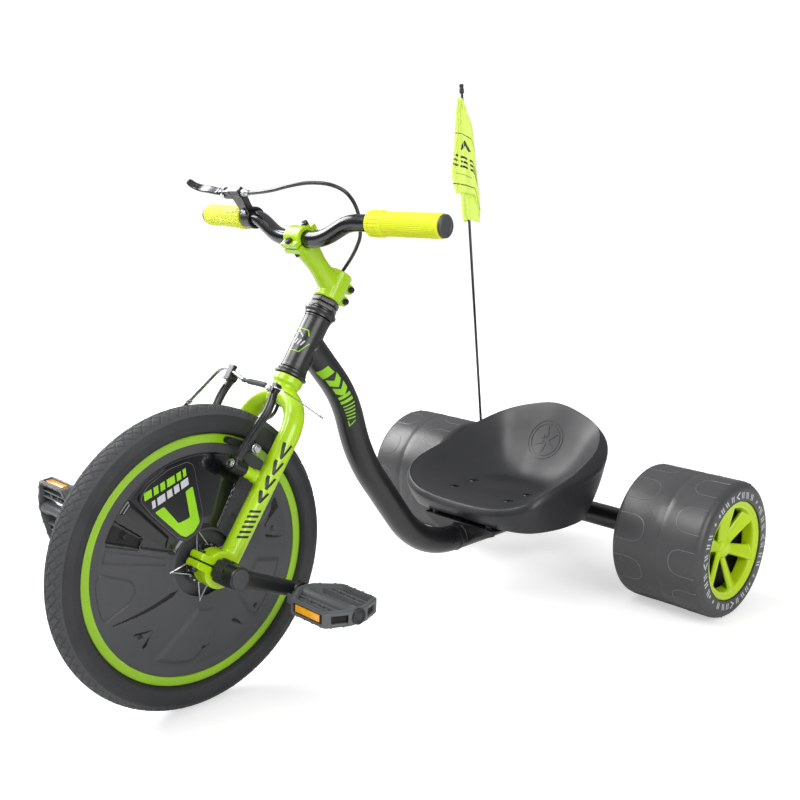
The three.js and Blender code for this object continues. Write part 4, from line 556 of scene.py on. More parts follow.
def piece(name, shapes, material, body, replaces="", place=None, bevel=0, sharp=34):
    shape = combined(shapes) if isinstance(shapes, list) else shapes
    made = meshObject(name, shape, [material], place)
    if bevel:
        bevelled(made, bevel, 40)
    return settle(smoothed(made, sharp), body, replaces)


# Geometry Nodes: one shape stood on points, each turned by its own angles and scaled
def repeated(name, shape, spots, material, body):
    source = meshObject("seed", shape, [])
    mesh = bpy.data.meshes.new(name + "Spots")
    mesh.from_pydata([tuple(np.array(s[0]) / 1000) for s in spots], [], [])
    turn = mesh.attributes.new("turn", "FLOAT_VECTOR", "POINT")
    turn.data.foreach_set("vector", np.array([s[1] for s in spots], float).ravel())
    grow = mesh.attributes.new("grow", "FLOAT", "POINT")
    grow.data.foreach_set("value", np.array([s[2] if len(s) > 2 else 1 for s in spots], float))
    made = inScene(name, mesh)
    tree = bpy.data.node_groups.new(name + "Tree", "GeometryNodeTree")
    face = tree.interface
    face.new_socket("Geometry", in_out="INPUT", socket_type="NodeSocketGeometry")
    shapeSocket = face.new_socket("Shape", in_out="INPUT", socket_type="NodeSocketObject")
    finishSocket = face.new_socket("Finish", in_out="INPUT", socket_type="NodeSocketMaterial")
    face.new_socket("Geometry", in_out="OUTPUT", socket_type="NodeSocketGeometry")
    start = addNode(tree, "NodeGroupInput")
    seed = addNode(tree, "GeometryNodeObjectInfo", links={"Object": (start, "Shape")})
    angles = addNode(tree, "GeometryNodeInputNamedAttribute", {"data_type": "FLOAT_VECTOR", "Name": "turn"})
    turned = addNode(tree, "FunctionNodeEulerToRotation", links={"Euler": (angles, "Attribute")})
    sizes = addNode(tree, "GeometryNodeInputNamedAttribute", {"data_type": "FLOAT", "Name": "grow"})
    stood = addNode(tree, "GeometryNodeInstanceOnPoints", links={
        "Points": (start, "Geometry"), "Instance": (seed, "Geometry"), "Rotation": (turned, 0),
        "Scale": (sizes, "Attribute")})
    real = addNode(tree, "GeometryNodeRealizeInstances", links={"Geometry": (stood, "Instances")})
    finish = addNode(tree, "GeometryNodeSetMaterial", links={"Geometry": (real, "Geometry"),
                                                             "Material": (start, "Finish")})
    end = addNode(tree, "NodeGroupOutput")
    tree.links.new(finish.outputs["Geometry"], end.inputs["Geometry"])
    modifier = made.modifiers.new("repeat", "NODES")
    modifier.node_group = tree
    modifier[shapeSocket.identifier] = source
    modifier[finishSocket.identifier] = finishes[material]
    baked(made)
    bpy.data.objects.remove(source)
    return settle(smoothed(inOneFinish(made, material)), body)


# Welded and cast parts: the solids run into one skin with soft seams, then the bores are cut
def fusedPiece(name, shapes, material, body, replaces, place, voxel, passes, cutters=()):
    made = meshObject(name, combined(shapes), [material], place)
    join = made.modifiers.new("join", "REMESH")
    join.mode, join.voxel_size, join.adaptivity = "VOXEL", voxel / 1000, 0
    soften = made.modifiers.new("soften", "SMOOTH")
    soften.factor, soften.iterations = 0.5, passes
    baked(made)
    joined(made, cutters, material, place)
    return settle(smoothed(inOneFinish(made, material), 50), body, replaces)


def ease(low, high, value):
    t = np.clip((value - low) / (high - low), 0, 1)
    return t * t * (3 - 2 * t)


def toSegment(y, z, a, b):  # distance from points to a segment, and how far along it they lie
    ay, az, by, bz = a[0], a[1], b[0], b[1]
    dy, dz = by - ay, bz - az
    t = np.clip(((y - ay) * dy + (z - az) * dz) / (dy * dy + dz * dz + 1e-9), 0, 1)
    return np.hypot(y - ay - t * dy, z - az - t * dz), t


def toPolygon(y, z, corners):  # signed distance, below nought inside
    far = np.full(np.shape(y), 1e9)
    inside = np.zeros(np.shape(y), bool)
    for (ay, az), (by, bz) in zip(corners, corners[1:] + corners[:1]):
        far = np.minimum(far, toSegment(y, z, (ay, az), (by, bz))[0])
        with np.errstate(divide="ignore", invalid="ignore"):
            cross = ((az > z) != (bz > z)) & (y < (by - ay) * (z - az) / (bz - az + 1e-12) + ay)
        inside ^= cross
    return np.where(inside, -far, far)


# Front tyre: fine chevron tread cut into the crown, plain walls with moulded rings
tyreLook = {"radius": 203, "section": 23.6, "wall": 4, "lip": 115, "bead": 11, "beadTurn": 3.4, "heel": 160.1,
            "around": 1240, "across": 68, "depth": 1.5, "repeats": 92, "treadHalf": 21.5,
            "wallRings": ((25.5, 0.7, 0.35), (34.5, 0.8, 0.5), (36.8, 0.5, 0.3), (43.6, 0.9, 0.6)),
            "whiskers": 130}


def makeTyre():
    t = tyreLook
    centre = t["radius"] - t["section"]
    lip = math.radians(t["lip"])
    share = np.linspace(-1, 1, t["across"])
    phi = lip * np.sign(share) * np.abs(share) ** 1.12
    v = phi * t["section"]
    u = np.linspace(0, 1, t["around"], endpoint=False) * t["repeats"]
    across, along = np.meshgrid(v, u)
    side = np.abs(across)
    tread = 1 - ease(t["treadHalf"] - 1, t["treadHalf"] + 0.4, side)

    def groove(phase, width):
        gap = np.abs((phase + 0.5) % 1 - 0.5)
        return 1 - ease(width * 0.5, width, gap)

    half = np.where(across > 0, 0.0, 0.5)
    vee = groove(along + half + side / 12.5, 0.085) * (side > 2.4)
    back = groove(along + half - side / 19 + 0.3, 0.07) * (side > 5) * (side < 17.5)
    fine = groove(along * 2 + half + side / 10, 0.11) * (side > 12) * (side < 20.5)
    zigzag = 1 - ease(0.5, 1.2, np.abs(across - 1.5 * (2 * np.abs((along % 1) - 0.5) - 0.5) * 2))
    ring = 1 - ease(0.5, 1.1, np.abs(side - 18.6))
    sink = t["depth"] * tread * np.clip(np.maximum.reduce([vee, 0.8 * back, 0.55 * fine, zigzag, 0.5 * ring]),
                                        0, 1)
    stepDown = 0.7 * ease(t["treadHalf"], t["treadHalf"] + 1, side)
    rings = 0.0
    for place, width, rise in t["wallRings"]:
        rings = rings + rise * (1 - ease(width * 0.5, width, np.abs(side - place)))
    section = t["section"] - sink - stepDown + rings
    angle = across / t["section"]
    r, x = centre + section * np.cos(angle), section * np.sin(angle)
    turn = np.broadcast_to((u / t["repeats"] * 2 * math.pi)[:, None], r.shape)
    outer = np.stack([x, r * np.cos(turn), r * np.sin(turn)], -1)
    inside = t["section"] - t["wall"]
    inner = [(centre + inside * math.cos(a), inside * math.sin(a)) for a in np.linspace(lip, -lip, 9)]
    lipRadius = centre + t["section"] * math.cos(lip)
    turnIn = t["bead"] - t["beadTurn"]
    closing = [(lipRadius - 2, t["bead"]), (t["heel"], t["bead"]), (t["heel"], turnIn), (lipRadius, turnIn)]
    closing += [p for p in inner if abs(p[1]) > 0] + [(r0, -x0) for r0, x0 in closing[::-1]]
    loop = np.stack([np.stack([np.full(t["around"], x0), r0 * np.cos(turn[:, 0]), r0 * np.sin(turn[:, 0])], 1)
                     for r0, x0 in closing], 1)
    skin = np.concatenate([outer, loop], 1)
    count = skin.shape[1]
    grid = np.arange(t["around"] * count).reshape(t["around"], count)
    nextRow, nextCol = np.roll(grid, -1, 0), np.roll(grid, -1, 1)
    faces = np.stack([grid, nextCol, np.roll(nextCol, -1, 0), nextRow], -1).reshape(-1, 4)
    col = np.tile(np.arange(count), t["around"])
    places = np.append(v, np.zeros(count - t["across"]))
    sideFinish = (col < t["across"]) & (np.abs(places[col]) > t["treadHalf"])
    # the crown takes the lighter tread rubber, a painted highlight; the walls take the plain rubber
    finish = np.where(sideFinish | (col >= t["across"]), 1, 0)
    made = meshObject("frontTyre", (skin.reshape(-1, 3), faces.tolist()), ["treadRubberPaintedHighlight", "sidewallRubber"],
                      wheelPlace, finish, merge=False)
    settle(smoothed(made, 60), "front_wheel", "front_tyre")
    hairs = []
    chance = np.random.default_rng(5)
    for _ in range(t["whiskers"]):  # moulding whiskers on the walls and crown
        a, p = chance.uniform(0, 2 * math.pi), chance.choice([-1, 1]) * chance.uniform(0.9, 1.75)
        r0, x0 = centre + (t["section"] - 0.9) * math.cos(p), (t["section"] - 0.9) * math.sin(p)
        spot = (x0, r0 * math.cos(a) + wheelCentre[1], r0 * math.sin(a) + wheelCentre[2])
        out = Vector((math.sin(p), math.cos(p) * math.cos(a), math.cos(p) * math.sin(a)))
        out += Vector(chance.uniform(-0.3, 0.3, 3))
        hairs.append((spot, tuple(out.to_track_quat("Z", "Y").to_euler()), chance.uniform(0.5, 1.2)))
    repeated("tyreWhiskers", tube([(0, 0, 0), (0, 0, 1.4), (0.3, 0, 2.6)], 0.22, 5), hairs, "treadRubberPaintedHighlight",
             "front_wheel")


makeTyre()

rimLook = {"lip": 166.8, "inner": 155, "half": 13.6, "wall": 2.2, "floor": 159.8, "dip": 1.5,
           "rounding": (1.1, 0.5)}


def makeRim():
    t = rimLook
    w, f, low = t["half"], t["half"] - t["wall"], t["floor"] - t["dip"]
    down, over = t["rounding"]
    half = [(t["inner"], w), (t["lip"] - down, w), (t["lip"], w - over), (t["lip"], f), (t["floor"], f - 0.4)]
    profile = half + [(low, 0)] + [(r, -x) for r, x in half[::-1]]
    piece("frontRim", latheX(profile, 240, 0.5), "limeRimCoat", "front_wheel", "front_rim", wheelPlace)
    # Valve, behind the cover
    valve = [rod(2.6, (0, 0, -159), (0, 0, -138), 20), rod(3.4, (0, 0, -140), (0, 0, -132), 20)]
    piece("tyreValve", valve, "blackRubber", "front_wheel", place=wheelPlace)


makeRim()
print("tyre and rim done")

# Disc cover: a shallow dished shell with blade slits, creased pads and a dark emblem field
coverLook = {"outer": 154.7, "band": 143, "bandFace": 12, "crown": 60, "crownFace": 24.5, "mouth": 44,
             "mouthFace": 25.5, "wall": 2.2, "around": 720, "rings": 92, "screwRing": 120,
             "screws": (150.8, -139.9, -90.7, -45.6, 8.1)}


def at(radius, degrees):
    return (radius * math.cos(math.radians(degrees)), radius * math.sin(math.radians(degrees)))


def arc(radius, start, end, steps=10):
    return [at(radius, a) for a in np.linspace(start, end, steps)]


# blade slits: inner end, outer end, width, sideways bow
coverSlits = [(at(49, -147), at(139, -157.8), 6.4, 4), (at(105, -64.5), at(125, -60), 4.4, 1),
              (at(104, 5.4), at(134, 0), 4, -1),
              (at(124, -144), at(106, -137), 2.6, 0), (at(129, -133), at(111, -134.8), 3.6, 0),
              (at(106, 12), at(138, 19), 4, 0)]
coverGrooves = [
    [at(140, 172.8), at(102, 179.3), at(97, -176), at(97, -171.5), at(110, -165),
     at(140, -162)] + arc(145, -164, -181, 6)
    + [at(144, 175.5), at(140, 172.8)],
    [at(123, -144), at(108, -138), at(104, -135.6), at(108, -134), at(128, -133)],
]
# each pad: outline, rise, and width of its sloped edge
coverPads = [
    ([at(58, -103)] + arc(139, -123, -97) + [at(120, -84), at(65, -77)], 3.0, 9),
    ([at(52, 171.5)] + arc(140, 168, 160, 4) + [at(58, 158)], -2.4, 4),
    ([at(82, -52)] + arc(134, -52, -12) + [at(86, -10), at(76, -30)], 2.2, 8),
    (arc(140, 159, 145, 5) + [at(97, 147), at(96, 158)], -3.4, 2.4),
    (arc(140, 52, 22, 8) + [at(98, 14), at(74, 26), at(70, 52)], -2.2, 5),
    (arc(141.5, 157, 56, 30) + arc(48, 62, 150, 12), -1.8, 1.6),
    ([at(62, 150)] + arc(139, 142, 133, 4) + [at(66, 136)], 2.4, 4),
]
glossField = arc(142.6, 156.5, 56, 40) + arc(47, 60, 153, 16)
# recessed wells that are painted near-black: painted shade
paintedShadeWells = [arc(138, 157, 147, 4) + [at(99, 149), at(98, 156)], [at(108, 12.6)] + arc(140, 25, 17.5, 4)]


def coverFace(r):
    t = coverLook
    return np.interp(r, [t["mouth"], t["crown"], t["band"], t["outer"]],
                     [t["mouthFace"], t["crownFace"], t["bandFace"], t["bandFace"]])


def coverPlace(side):
    return wheelPlace if side > 0 else wheelPlace @ turnAbout("Z", 180)


def makeCover(name, side):
    t = coverLook
    r = np.linspace(t["outer"], t["mouth"], t["rings"])
    angle = np.linspace(0, 2 * math.pi, t["around"], endpoint=False)
    rr, aa = np.meshgrid(r, angle, indexing="ij")
    y, z = rr * np.cos(aa), rr * np.sin(aa)
    face = coverFace(rr)
    fade = ease(t["mouth"] + 2, t["mouth"] + 8, rr) * (1 - ease(t["band"] - 3, t["band"] + 0.5, rr))
    for corners, rise, edge in coverPads:
        face = face + rise * fade * (1 - ease(-edge, 0, toPolygon(y, z, corners)))
    for corners in coverGrooves:
        near = np.minimum.reduce([toSegment(y, z, a, b)[0] for a, b in zip(corners, corners[1:])])
        face = face - 1.1 * (1 - ease(0.5, 1.3, near))
    holes = np.full(rr.shape, 99.0)
    for degrees in t["screws"]:
        cy, cz = at(t["screwRing"], degrees)
        near = np.hypot(y - cy, z - cz)
        holes = np.minimum(holes, near)
        face = face - 0.5 * (1 - ease(4.6, 6.0, near))
    face = face - 1.4 * (1 - ease(2.7, 3.2, holes))
    # screw holes, slits and wells are painted near-black below: painted shade
    paintedShade = holes < 3.0
    for a, b, width, bow in coverSlits:
        _, share = toSegment(y, z, a, b)
        length = math.dist(a, b)
        sway = bow * np.sin(math.pi * share)
        oy, oz = -(b[1] - a[1]) / length * sway, (b[0] - a[0]) / length * sway
        near, share = toSegment(y - oy, z - oz, a, b)
        half = width / 2 * (1 - share) ** 0.8 * ease(0, 0.12, share) + 0.2
        face = face - 1.6 * (1 - ease(-0.5, 0.4, near - half))
        paintedShade |= near < half
    for corners in paintedShadeWells:
        inside = toPolygon(y, z, corners)
        face = face - 1.2 * (1 - ease(-1.0, 0.4, inside))
        paintedShade |= inside < 0
    face = face + 0.6 * (1 - ease(0.6, 2.2, np.abs(rr - t["mouth"] - 1)))  # rolled lip of the mouth
    gloss = toPolygon(y, z, glossField) < 0
    top = np.stack([face, y, z], -1)
    under = np.stack([np.minimum(coverFace(rr) - t["wall"], face - 0.4), y, z], -1)[::-1]
    under[:, :, 0] -= 0.3
    points = np.concatenate([top, under])
    rows = len(points)
    grid = np.arange(rows * t["around"]).reshape(rows, t["around"])
    down, across = np.roll(grid, -1, 0), np.roll(grid, -1, 1)
    faces = np.stack([grid, across, np.roll(down, -1, 1), down], -1).reshape(-1, 4)
    # painted shade takes the near-black finish; the gloss field is the real gloss black
    kind = np.where(paintedShade, 2, np.where(gloss, 1, 0))
    finish = np.concatenate([kind, np.zeros_like(kind)]).ravel()
    place = coverPlace(side)
    made = meshObject("discCover_" + name, (points.reshape(-1, 3), faces.tolist()),
                      ["satinAbs", "glossAbs", "paintedShadeGap"], place, finish, merge=False)
    settle(smoothed(made, 40), "front_wheel", "disc_cover_" + name)
    spots = []
    for degrees in t["screws"]:
        spot = place @ np.array([coverFace(t["screwRing"]) - 2.4, *at(t["screwRing"], degrees), 1])
        spots.append((spot[:3], (0, side * math.pi / 2, 0)))
    head = [rod(2.5, (0, 0, 0), (0, 0, 1.3), 20, 0.5), boxShape((-1.6, -0.35, 1.1), (1.6, 0.35, 1.5))]
    repeated("coverScrews_" + name, combined(head), spots, "blackElectroCoat", "front_wheel")


# Thin sheets cut to outlines drawn on a flat plan, then laid on a curved surface
def inlay(name, outlines, onSurface, material, body, cell=3.0, thick=0.14):
    sheets = bmesh.new()
    for outline in outlines:
        sheet = bmesh.new()
        sheet.faces.new([sheet.verts.new((u, v, 0)) for u, v in outline])
        for axis in (0, 1):
            low, high = min(p[axis] for p in outline), max(p[axis] for p in outline)
            count = int((high - low) / cell) + 1
            for k in range(1, count):
                cut, way = [0, 0, 0], [0, 0, 0]
                cut[axis], way[axis] = low + k * (high - low) / count, 1
                whole = sheet.verts[:] + sheet.edges[:] + sheet.faces[:]
                bmesh.ops.bisect_plane(sheet, geom=whole, plane_co=cut, plane_no=way)
        bmesh.ops.triangulate(sheet, faces=sheet.faces[:])
        kept = [sheets.verts.new(v.co) for v in sheet.verts]
        sheet.verts.index_update()
        for face in sheet.faces:
            sheets.faces.new([kept[v.index] for v in face.verts])
        sheet.free()
    up = []
    for vert in sheets.verts:
        here = np.array(onSurface(vert.co.x, vert.co.y, 0))
        up.append(np.array(onSurface(vert.co.x, vert.co.y, 1)) - here)
        vert.co = Vector(here / 1000)
    sheets.verts.index_update()
    sheets.normal_update()
    for face in sheets.faces:
        if face.normal.dot(Vector(up[face.verts[0].index])) < 0:
            face.normal_flip()
    mesh = bpy.data.meshes.new(name)
    sheets.to_mesh(mesh)
    sheets.free()
    mesh.materials.append(finishes[material])
    made = inScene(name, mesh)
    shell = made.modifiers.new("thick", "SOLIDIFY")
    shell.thickness, shell.offset = thick / 1000, 1
    return settle(smoothed(baked(made), 40), body)


# Emblem plate: a lime open bracket under two rows of slanted bars, on gloss black
emblemLook = {"plate": [(-84, 100), (-72, 116), (-40, 132), (-10, 137), (-2, 131), (3.5, 60), (-4, 45),
                        (-14, 38.5), (-25, 35), (-38, 41), (-70, 78)],
              "bracket": [(-64.2, 80.7), (-51.5, 85.6), (-34.5, 61), (-17.5, 65), (-19.5, 98.6), (-8.4, 103),
                          (-4.6, 56), (-14, 45.5), (-25.8, 41.4), (-33.5, 45.6)],
              "upperRow": ((-77.5, 96.5), (-13.5, 118.5), 9.2, (11, 7, 7, 12, 7, 5)),
              "lowerRow": ((-69.5, 84.5), (-10.5, 107.5), 8.8, (5, 12, 8, 8, 12)),
              "line": (0.965, 0.95), "gap": 3.0, "slant": 3.2, "lift": 1.1, "sunk": 1.9}


def barRow(start, end, tall, widths):
    start, end = np.array(start), np.array(end)
    along = (end - start) / np.linalg.norm(end - start)
    across = np.array([-along[1], along[0]])
    spare = np.linalg.norm(end - start) - sum(widths) - emblemLook["gap"] * (len(widths) - 1)
    place, rows = spare / 2, []
    for width in widths:
        lean = emblemLook["slant"] * along
        a, b = start + along * place, start + along * (place + width)
        rows.append([tuple(a), tuple(b), tuple(b + across * tall + lean), tuple(a + across * tall + lean)])
        place += width + emblemLook["gap"]
    return rows


def makeEmblem(name, side):
    t = emblemLook
    place = coverPlace(side)

    def lay(part, outlines, material, lift=t["lift"], *sizes):
        def surface(y, z, up):
            return (place @ np.array([float(coverFace(math.hypot(y, z))) + lift + up, y, z, 1]))[:3]
        inlay("emblem" + part + "_" + name, outlines, surface, material, "front_wheel", *sizes)

    plate = [tuple(p) for p in rounded(t["plate"], 7, 4)]
    lay("Plate", [plate], "glossAbs", -t["sunk"], 5, t["sunk"] + t["lift"])
    middle = np.mean(plate, 0)
    outer, inner = ([tuple(middle + (np.array(p) - middle) * share) for p in plate] for share in t["line"])
    after = [(i + 1) % len(plate) for i in range(len(plate))]
    line = [[outer[i], outer[j], inner[j], inner[i]] for i, j in enumerate(after)]
    # a grey band just inside the plate's edge: a painted highlight
    lay("Line", line, "paintedEdgeHighlight", t["lift"], 9, 0.1)
    lay("Bracket", [[tuple(p) for p in rounded(t["bracket"], 2.2, 3)]], "limeInk")
    lay("UpperRow", barRow(*t["upperRow"]), "limeInk")
    lay("LowerRow", barRow(*t["lowerRow"]), "silverInk")


for name, side in sides.items():
    makeCover(name, side)
    makeEmblem(name, side)
print("disc covers done")

hubLook = {"flange": 28, "half": 27.5, "barrel": 16, "neck": 14.4, "end": 32.5, "bore": 10.6,
           "guard": (15.5, 52, 17, 18.4), "rivets": 18, "rivetRing": 24.6, "spokeRadius": 1.1, "cross": 38,
           "spokeEnd": 154.4}


def makeHub():
    t = hubLook
    half = [(t["bore"], t["end"]), (t["neck"] - 0.6, t["end"]), (t["neck"], t["end"] - 0.6),
            (t["neck"], 28.6), (19, 28.2), (21, t["half"]), (t["flange"] - 0.8, t["half"]),
            (t["flange"], t["half"] - 0.8), (t["flange"], 25.2), (t["flange"] - 0.8, 24.4), (18, 23.8),
            (t["barrel"], 21)]
    profile = half + [(r, -x) for r, x in half[::-1]]
    piece("frontHub", latheX(profile, 96), "blackPowderCoat", "front_wheel", "front_hub", wheelPlace)
    low, high, near, far = t["guard"]
    for name, end in sides.items():
        guard = latheX([(low, end * near), (high, end * near), (high, end * far), (low, end * far)], 64)
        piece("hubGuard_" + name, guard, "satinAbs", "front_wheel", place=wheelPlace)
    rivets, lines = [], []
    for i in range(t["rivets"]):
        side = 1 if i % 2 == 0 else -1
        for end in (1, -1):
            angle = (i + 0.25) / t["rivets"] * 2 * math.pi
            y, z = t["rivetRing"] * math.cos(angle), t["rivetRing"] * math.sin(angle)
            rivets.append(((end * (t["half"] - 0.3), y + wheelCentre[1], z + wheelCentre[2]),
                           (0, end * math.pi / 2, 0)))
        angle = i / t["rivets"] * 2 * math.pi
        lean = math.radians(t["cross"]) * (1 if i % 4 < 2 else -1)
        foot = (side * 28.4, t["rivetRing"] * math.cos(angle), t["rivetRing"] * math.sin(angle))
        mid = (side * 22.6, 60 * math.cos(angle + lean * 0.62), 60 * math.sin(angle + lean * 0.62))
        far = (0, t["spokeEnd"] * math.cos(angle + lean), t["spokeEnd"] * math.sin(angle + lean))
        lines.append(tube([foot, tuple((np.array(foot) + np.array(mid)) / 2), mid, far], t["spokeRadius"],
                          10))
    repeated("spokeRivets", rod(1.9, (0, 0, 0), (0, 0, 1.2), 14, 0.5), rivets, "zincSteel", "front_wheel")
    piece("spokes", lines, "zincSteel", "front_wheel", place=wheelPlace)


makeHub()
print("front hub done")

# Fork: bent steel legs welded under a crown, with forged clamps at the axle
forkLook = {"spread": 50, "radius": 14.2, "bend": 46, "top": (5.68, 236), "shoulder": (53, 224),
            "foot": (48.8, -6.4), "crown": 18, "race": 20.5, "raceTop": 262.8, "steerer": 12.7, "bore": 10.6,
            "steererTop": 424, "boss": (40, 117)}
clampLook = {"radius": 24.5, "bore": 10.9, "half": 13, "ear": 37, "earHalf": 10.5, "slot": 0.9,
             "axle": (-14.6, -9.96)}
axleY, axleZ = clampLook["axle"]


def bossAt(side, y):  # along the brake's pivot
    return (side * forkLook["boss"][0], y, forkLook["boss"][1])


def clampHalf(x, up):
    t = clampLook
    start, end = math.asin(t["slot"] / t["radius"]), math.pi - math.asin(t["earHalf"] / t["radius"])
    outer = [(t["radius"] * math.cos(a), t["radius"] * math.sin(a)) for a in np.linspace(start, end, 20)]
    ear = rounded([outer[-1], (-t["ear"], t["earHalf"]), (-t["ear"], t["slot"]), (-t["bore"], t["slot"])],
                  3.5, 4, False)[1:-1]
    inner = [(-t["bore"] * math.cos(a), t["bore"] * math.sin(a))
             for a in np.linspace(0.09, math.pi - 0.09, 16)]
    outline = outer + [tuple(p) for p in ear] + inner
    points, faces = prism([(y, up * z) for y, z in outline], x - t["half"], x + t["half"])
    return points[:, [2, 0, 1]] + (0, axleY, axleZ), faces


def legPath(side):
    corners = [(side * x, 0, z) for x, z in (forkLook["top"], forkLook["shoulder"], forkLook["foot"])]
    return bentPath(corners, [forkLook["bend"]])


def makeFork():
    t = forkLook
    parts = []
    for side in sides.values():
        parts += [tube(legPath(side), t["radius"], 40), clampHalf(side * t["spread"], 1),
                  rod(8, bossAt(side, 2), bossAt(side, -33.5), 32, 0.8),
                  rod(9.4, bossAt(side, 2), bossAt(side, -17), 32, 2)]
    parts.append(latheZ([(t["bore"], 222), (15, 222), (t["crown"], 229), (t["crown"], 250),
                         (t["race"], 252.5), (t["race"], 262.0), (t["race"] - 0.8, t["raceTop"]),
                         (t["bore"], t["raceTop"])], 64))
    bores = [rod(4.4, bossAt(side, -21), bossAt(side, -40), 24, 0) for side in sides.values()]
    fusedPiece("forkLegs", parts, "limePowderCoat", "steering_assembly", "fork", steerPlace, 1.15, 3, bores)
    inner = latheZ([(t["bore"], 262), (t["steerer"], 262), (t["steerer"], t["steererTop"] - 0.6),
                    (t["steerer"] - 0.6, t["steererTop"]), (t["bore"], t["steererTop"])], 64)
    piece("steerer", inner, "blackElectroCoat", "steering_assembly", place=steerPlace)
    ear = axleY - (clampLook["ear"] + clampLook["radius"]) / 2
    low, high = axleZ - clampLook["earHalf"], axleZ + clampLook["earHalf"]
    for name, side in sides.items():
        x = side * t["spread"]
        fusedPiece("axleClamp_" + name, [clampHalf(x, -1)], "limePowderCoat", "steering_assembly",
                   "axle_clamp_" + name, steerPlace, 0.9, 2)
        bolt = [hexNut(5.4, (x, ear, low - 4), (x, ear, low + 0.5)),
                rod(3, (x, ear, low - 6), (x, ear, high), 20),
                rod(4.9, (x, ear, high - 0.4), (x, ear, high + 3.4), 28, 0.8),
                rod(6.4, (x, ear, low - 0.2), (x, ear, low + 0.9), 24)]
        piece("clampBolt_" + name, bolt, "blackElectroCoat", "steering_assembly", place=steerPlace, bevel=0.3)


makeFork()

# Print on the fork's legs: four chevrons, then slanted stripes
legInk = {"middle": 22, "top": 172, "chevrons": [(0, 22), (25, 20), (48, 18), (69, 16)], "stroke": 4.2,
          "stripes": 6, "stripeStart": 92, "stripePitch": 7.2, "half": 7.2}


def makeLegInk(name, side):
    t = legInk
    shapes = []
    h, w = t["half"], t["stroke"]
    for start, length in t["chevrons"]:
        shapes.append([(start, -h), (start + length, -h * 0.1), (start + length, h * 0.1 + w * 0.4),
                       (start + w, h), (start, h), (start, h - w), (start + length - w * 1.7, 0),
                       (start, -h + w * 0.9)])
    for i in range(t["stripes"]):
        a = t["stripeStart"] + i * t["stripePitch"]
        shapes.append([(a, -h), (a + 3.4, -h), (a + 9.4, h), (a + 6, h)])
    (footX, footZ), (shoulderX, shoulderZ) = forkLook["foot"], forkLook["shoulder"]
    radius = forkLook["radius"]

    def onLeg(along, across, up):
        z = t["top"] - along
        x = footX + (shoulderX - footX) * (z - footZ) / (shoulderZ - footZ)
        angle = math.radians(t["middle"]) + across / radius
        reach = radius + 0.08 + up
        spot = [side * (x + reach * math.cos(angle)), -reach * math.sin(angle), z, 1]
        return (steerPlace @ np.array(spot))[:3]

    inlay("forkInk_" + name, shapes, onLeg, "blackInk", "steering_assembly", 2.2)


for name, side in sides.items():
    makeLegInk(name, side)
print("fork done")

# Cranks: black arms on a square axle, ribbed rubber boots between fork and arm
crankLook = {"angle": -24, "length": 102, "armStart": 84.3, "hub": 20, "hubRadius": 15, "eye": (93.3, 107.3),
             "eyeRadius": 12.5, "web": (11.8, 10), "webThick": 5.5, "bootStart": 63.6, "bootEnd": 84.0,
             "bootRadius": 16.5, "ribs": 10}


def makeBoot(side):
    t = crankLook
    around, rings = 120, []
    start, end = t["bootStart"], t["bootEnd"]
    for x, grow in ((start, 0.62), (start, 0.93), (start + 0.8, 1), (end - 0.8, 1), (end, 0.93), (end, 0.62)):
        ring = []
        for k in range(around):
            a = k / around * 2 * math.pi
            wave = abs(((a * t["ribs"] / (2 * math.pi)) % 1) - 0.5) * 2
            r = (t["bootRadius"] - 1.4 * float(1 - ease(0.28, 0.5, wave))) * grow
            ring.append((side * x, r * math.cos(a), r * math.sin(a)))
        rings.append(ring)
    return loft(rings)


def crankFrame(side):  # the right arm points the other way
    if side > 0:
        return wheelPlace
    return wheelPlace @ turnAbout("Y", 180) @ turnAbout("X", 180 - 2 * crankLook["angle"])


def makeArm(name, side):
    t = crankLook
    turn, outward = math.radians(t["angle"]), np.array([1, 0, 0])
    way, flat = np.array([0, math.cos(turn), math.sin(turn)]), np.array([0, -math.sin(turn), math.cos(turn)])
    end = way * t["length"]
    (a, b), (wideStart, wideEnd) = t["eye"], t["web"]
    rings = []
    for share in np.linspace(0, 1, 24):  # the web: a flat bar with full rounded edges, narrower at the pedal
        wide = wideStart + (wideEnd - wideStart) * share
        thick = t["webThick"] * (1 - 0.08 * math.sin(math.pi * share))
        middle = way * (share * t["length"]) + outward * ((a + b) / 2)
        ring = [squircle(k, 32, 0.62) for k in range(32)]
        rings.append([middle + flat * wide * u + outward * thick * v for u, v in ring])
    hubEnd = t["armStart"] + t["hub"]
    parts = [loft(rings), rod(t["hubRadius"], (t["armStart"], 0, 0), (hubEnd, 0, 0), 56, 1.6),
             rod(t["eyeRadius"], end + (a, 0, 0), end + (b, 0, 0), 56, 1.6)]
    fusedPiece("crankArm_" + name, parts, "blackPowderCoat", "cranks", "crank_arm_" + name, crankFrame(side),
               0.7, 4, [rod(10.8, (hubEnd - 0.5, 0, 0), (hubEnd + 3, 0, 0), 40, 0)])
    cap = [(0.01, 2.2), (7.5, 2.1), (8.1, 1.5), (11.6, 1.6), (12.3, 0.9), (12.4, -0.8), (0.01, -0.8)]
    cap = latheX([(r, hubEnd + x) for r, x in cap], 64, closed=False)
    piece("crankCap_" + name, cap, "satinAbs", "cranks", place=crankFrame(side))


def makeCranks():
    square = moved(boxShape((-94, -6.2, -6.2), (94, 6.2, 6.2)), turnAbout("X", crankLook["angle"]))
    piece("crankAxle", [rod(10, (-84, 0, 0), (84, 0, 0), 48, 0.8), square], "blackElectroCoat", "cranks",
          "crank_axle", wheelPlace, bevel=0.4)
    for name, side in sides.items():
        piece("crankBoot_" + name, makeBoot(side), "blackRubber", "cranks", place=wheelPlace)
        makeArm(name, side)


makeCranks()
print("cranks done")

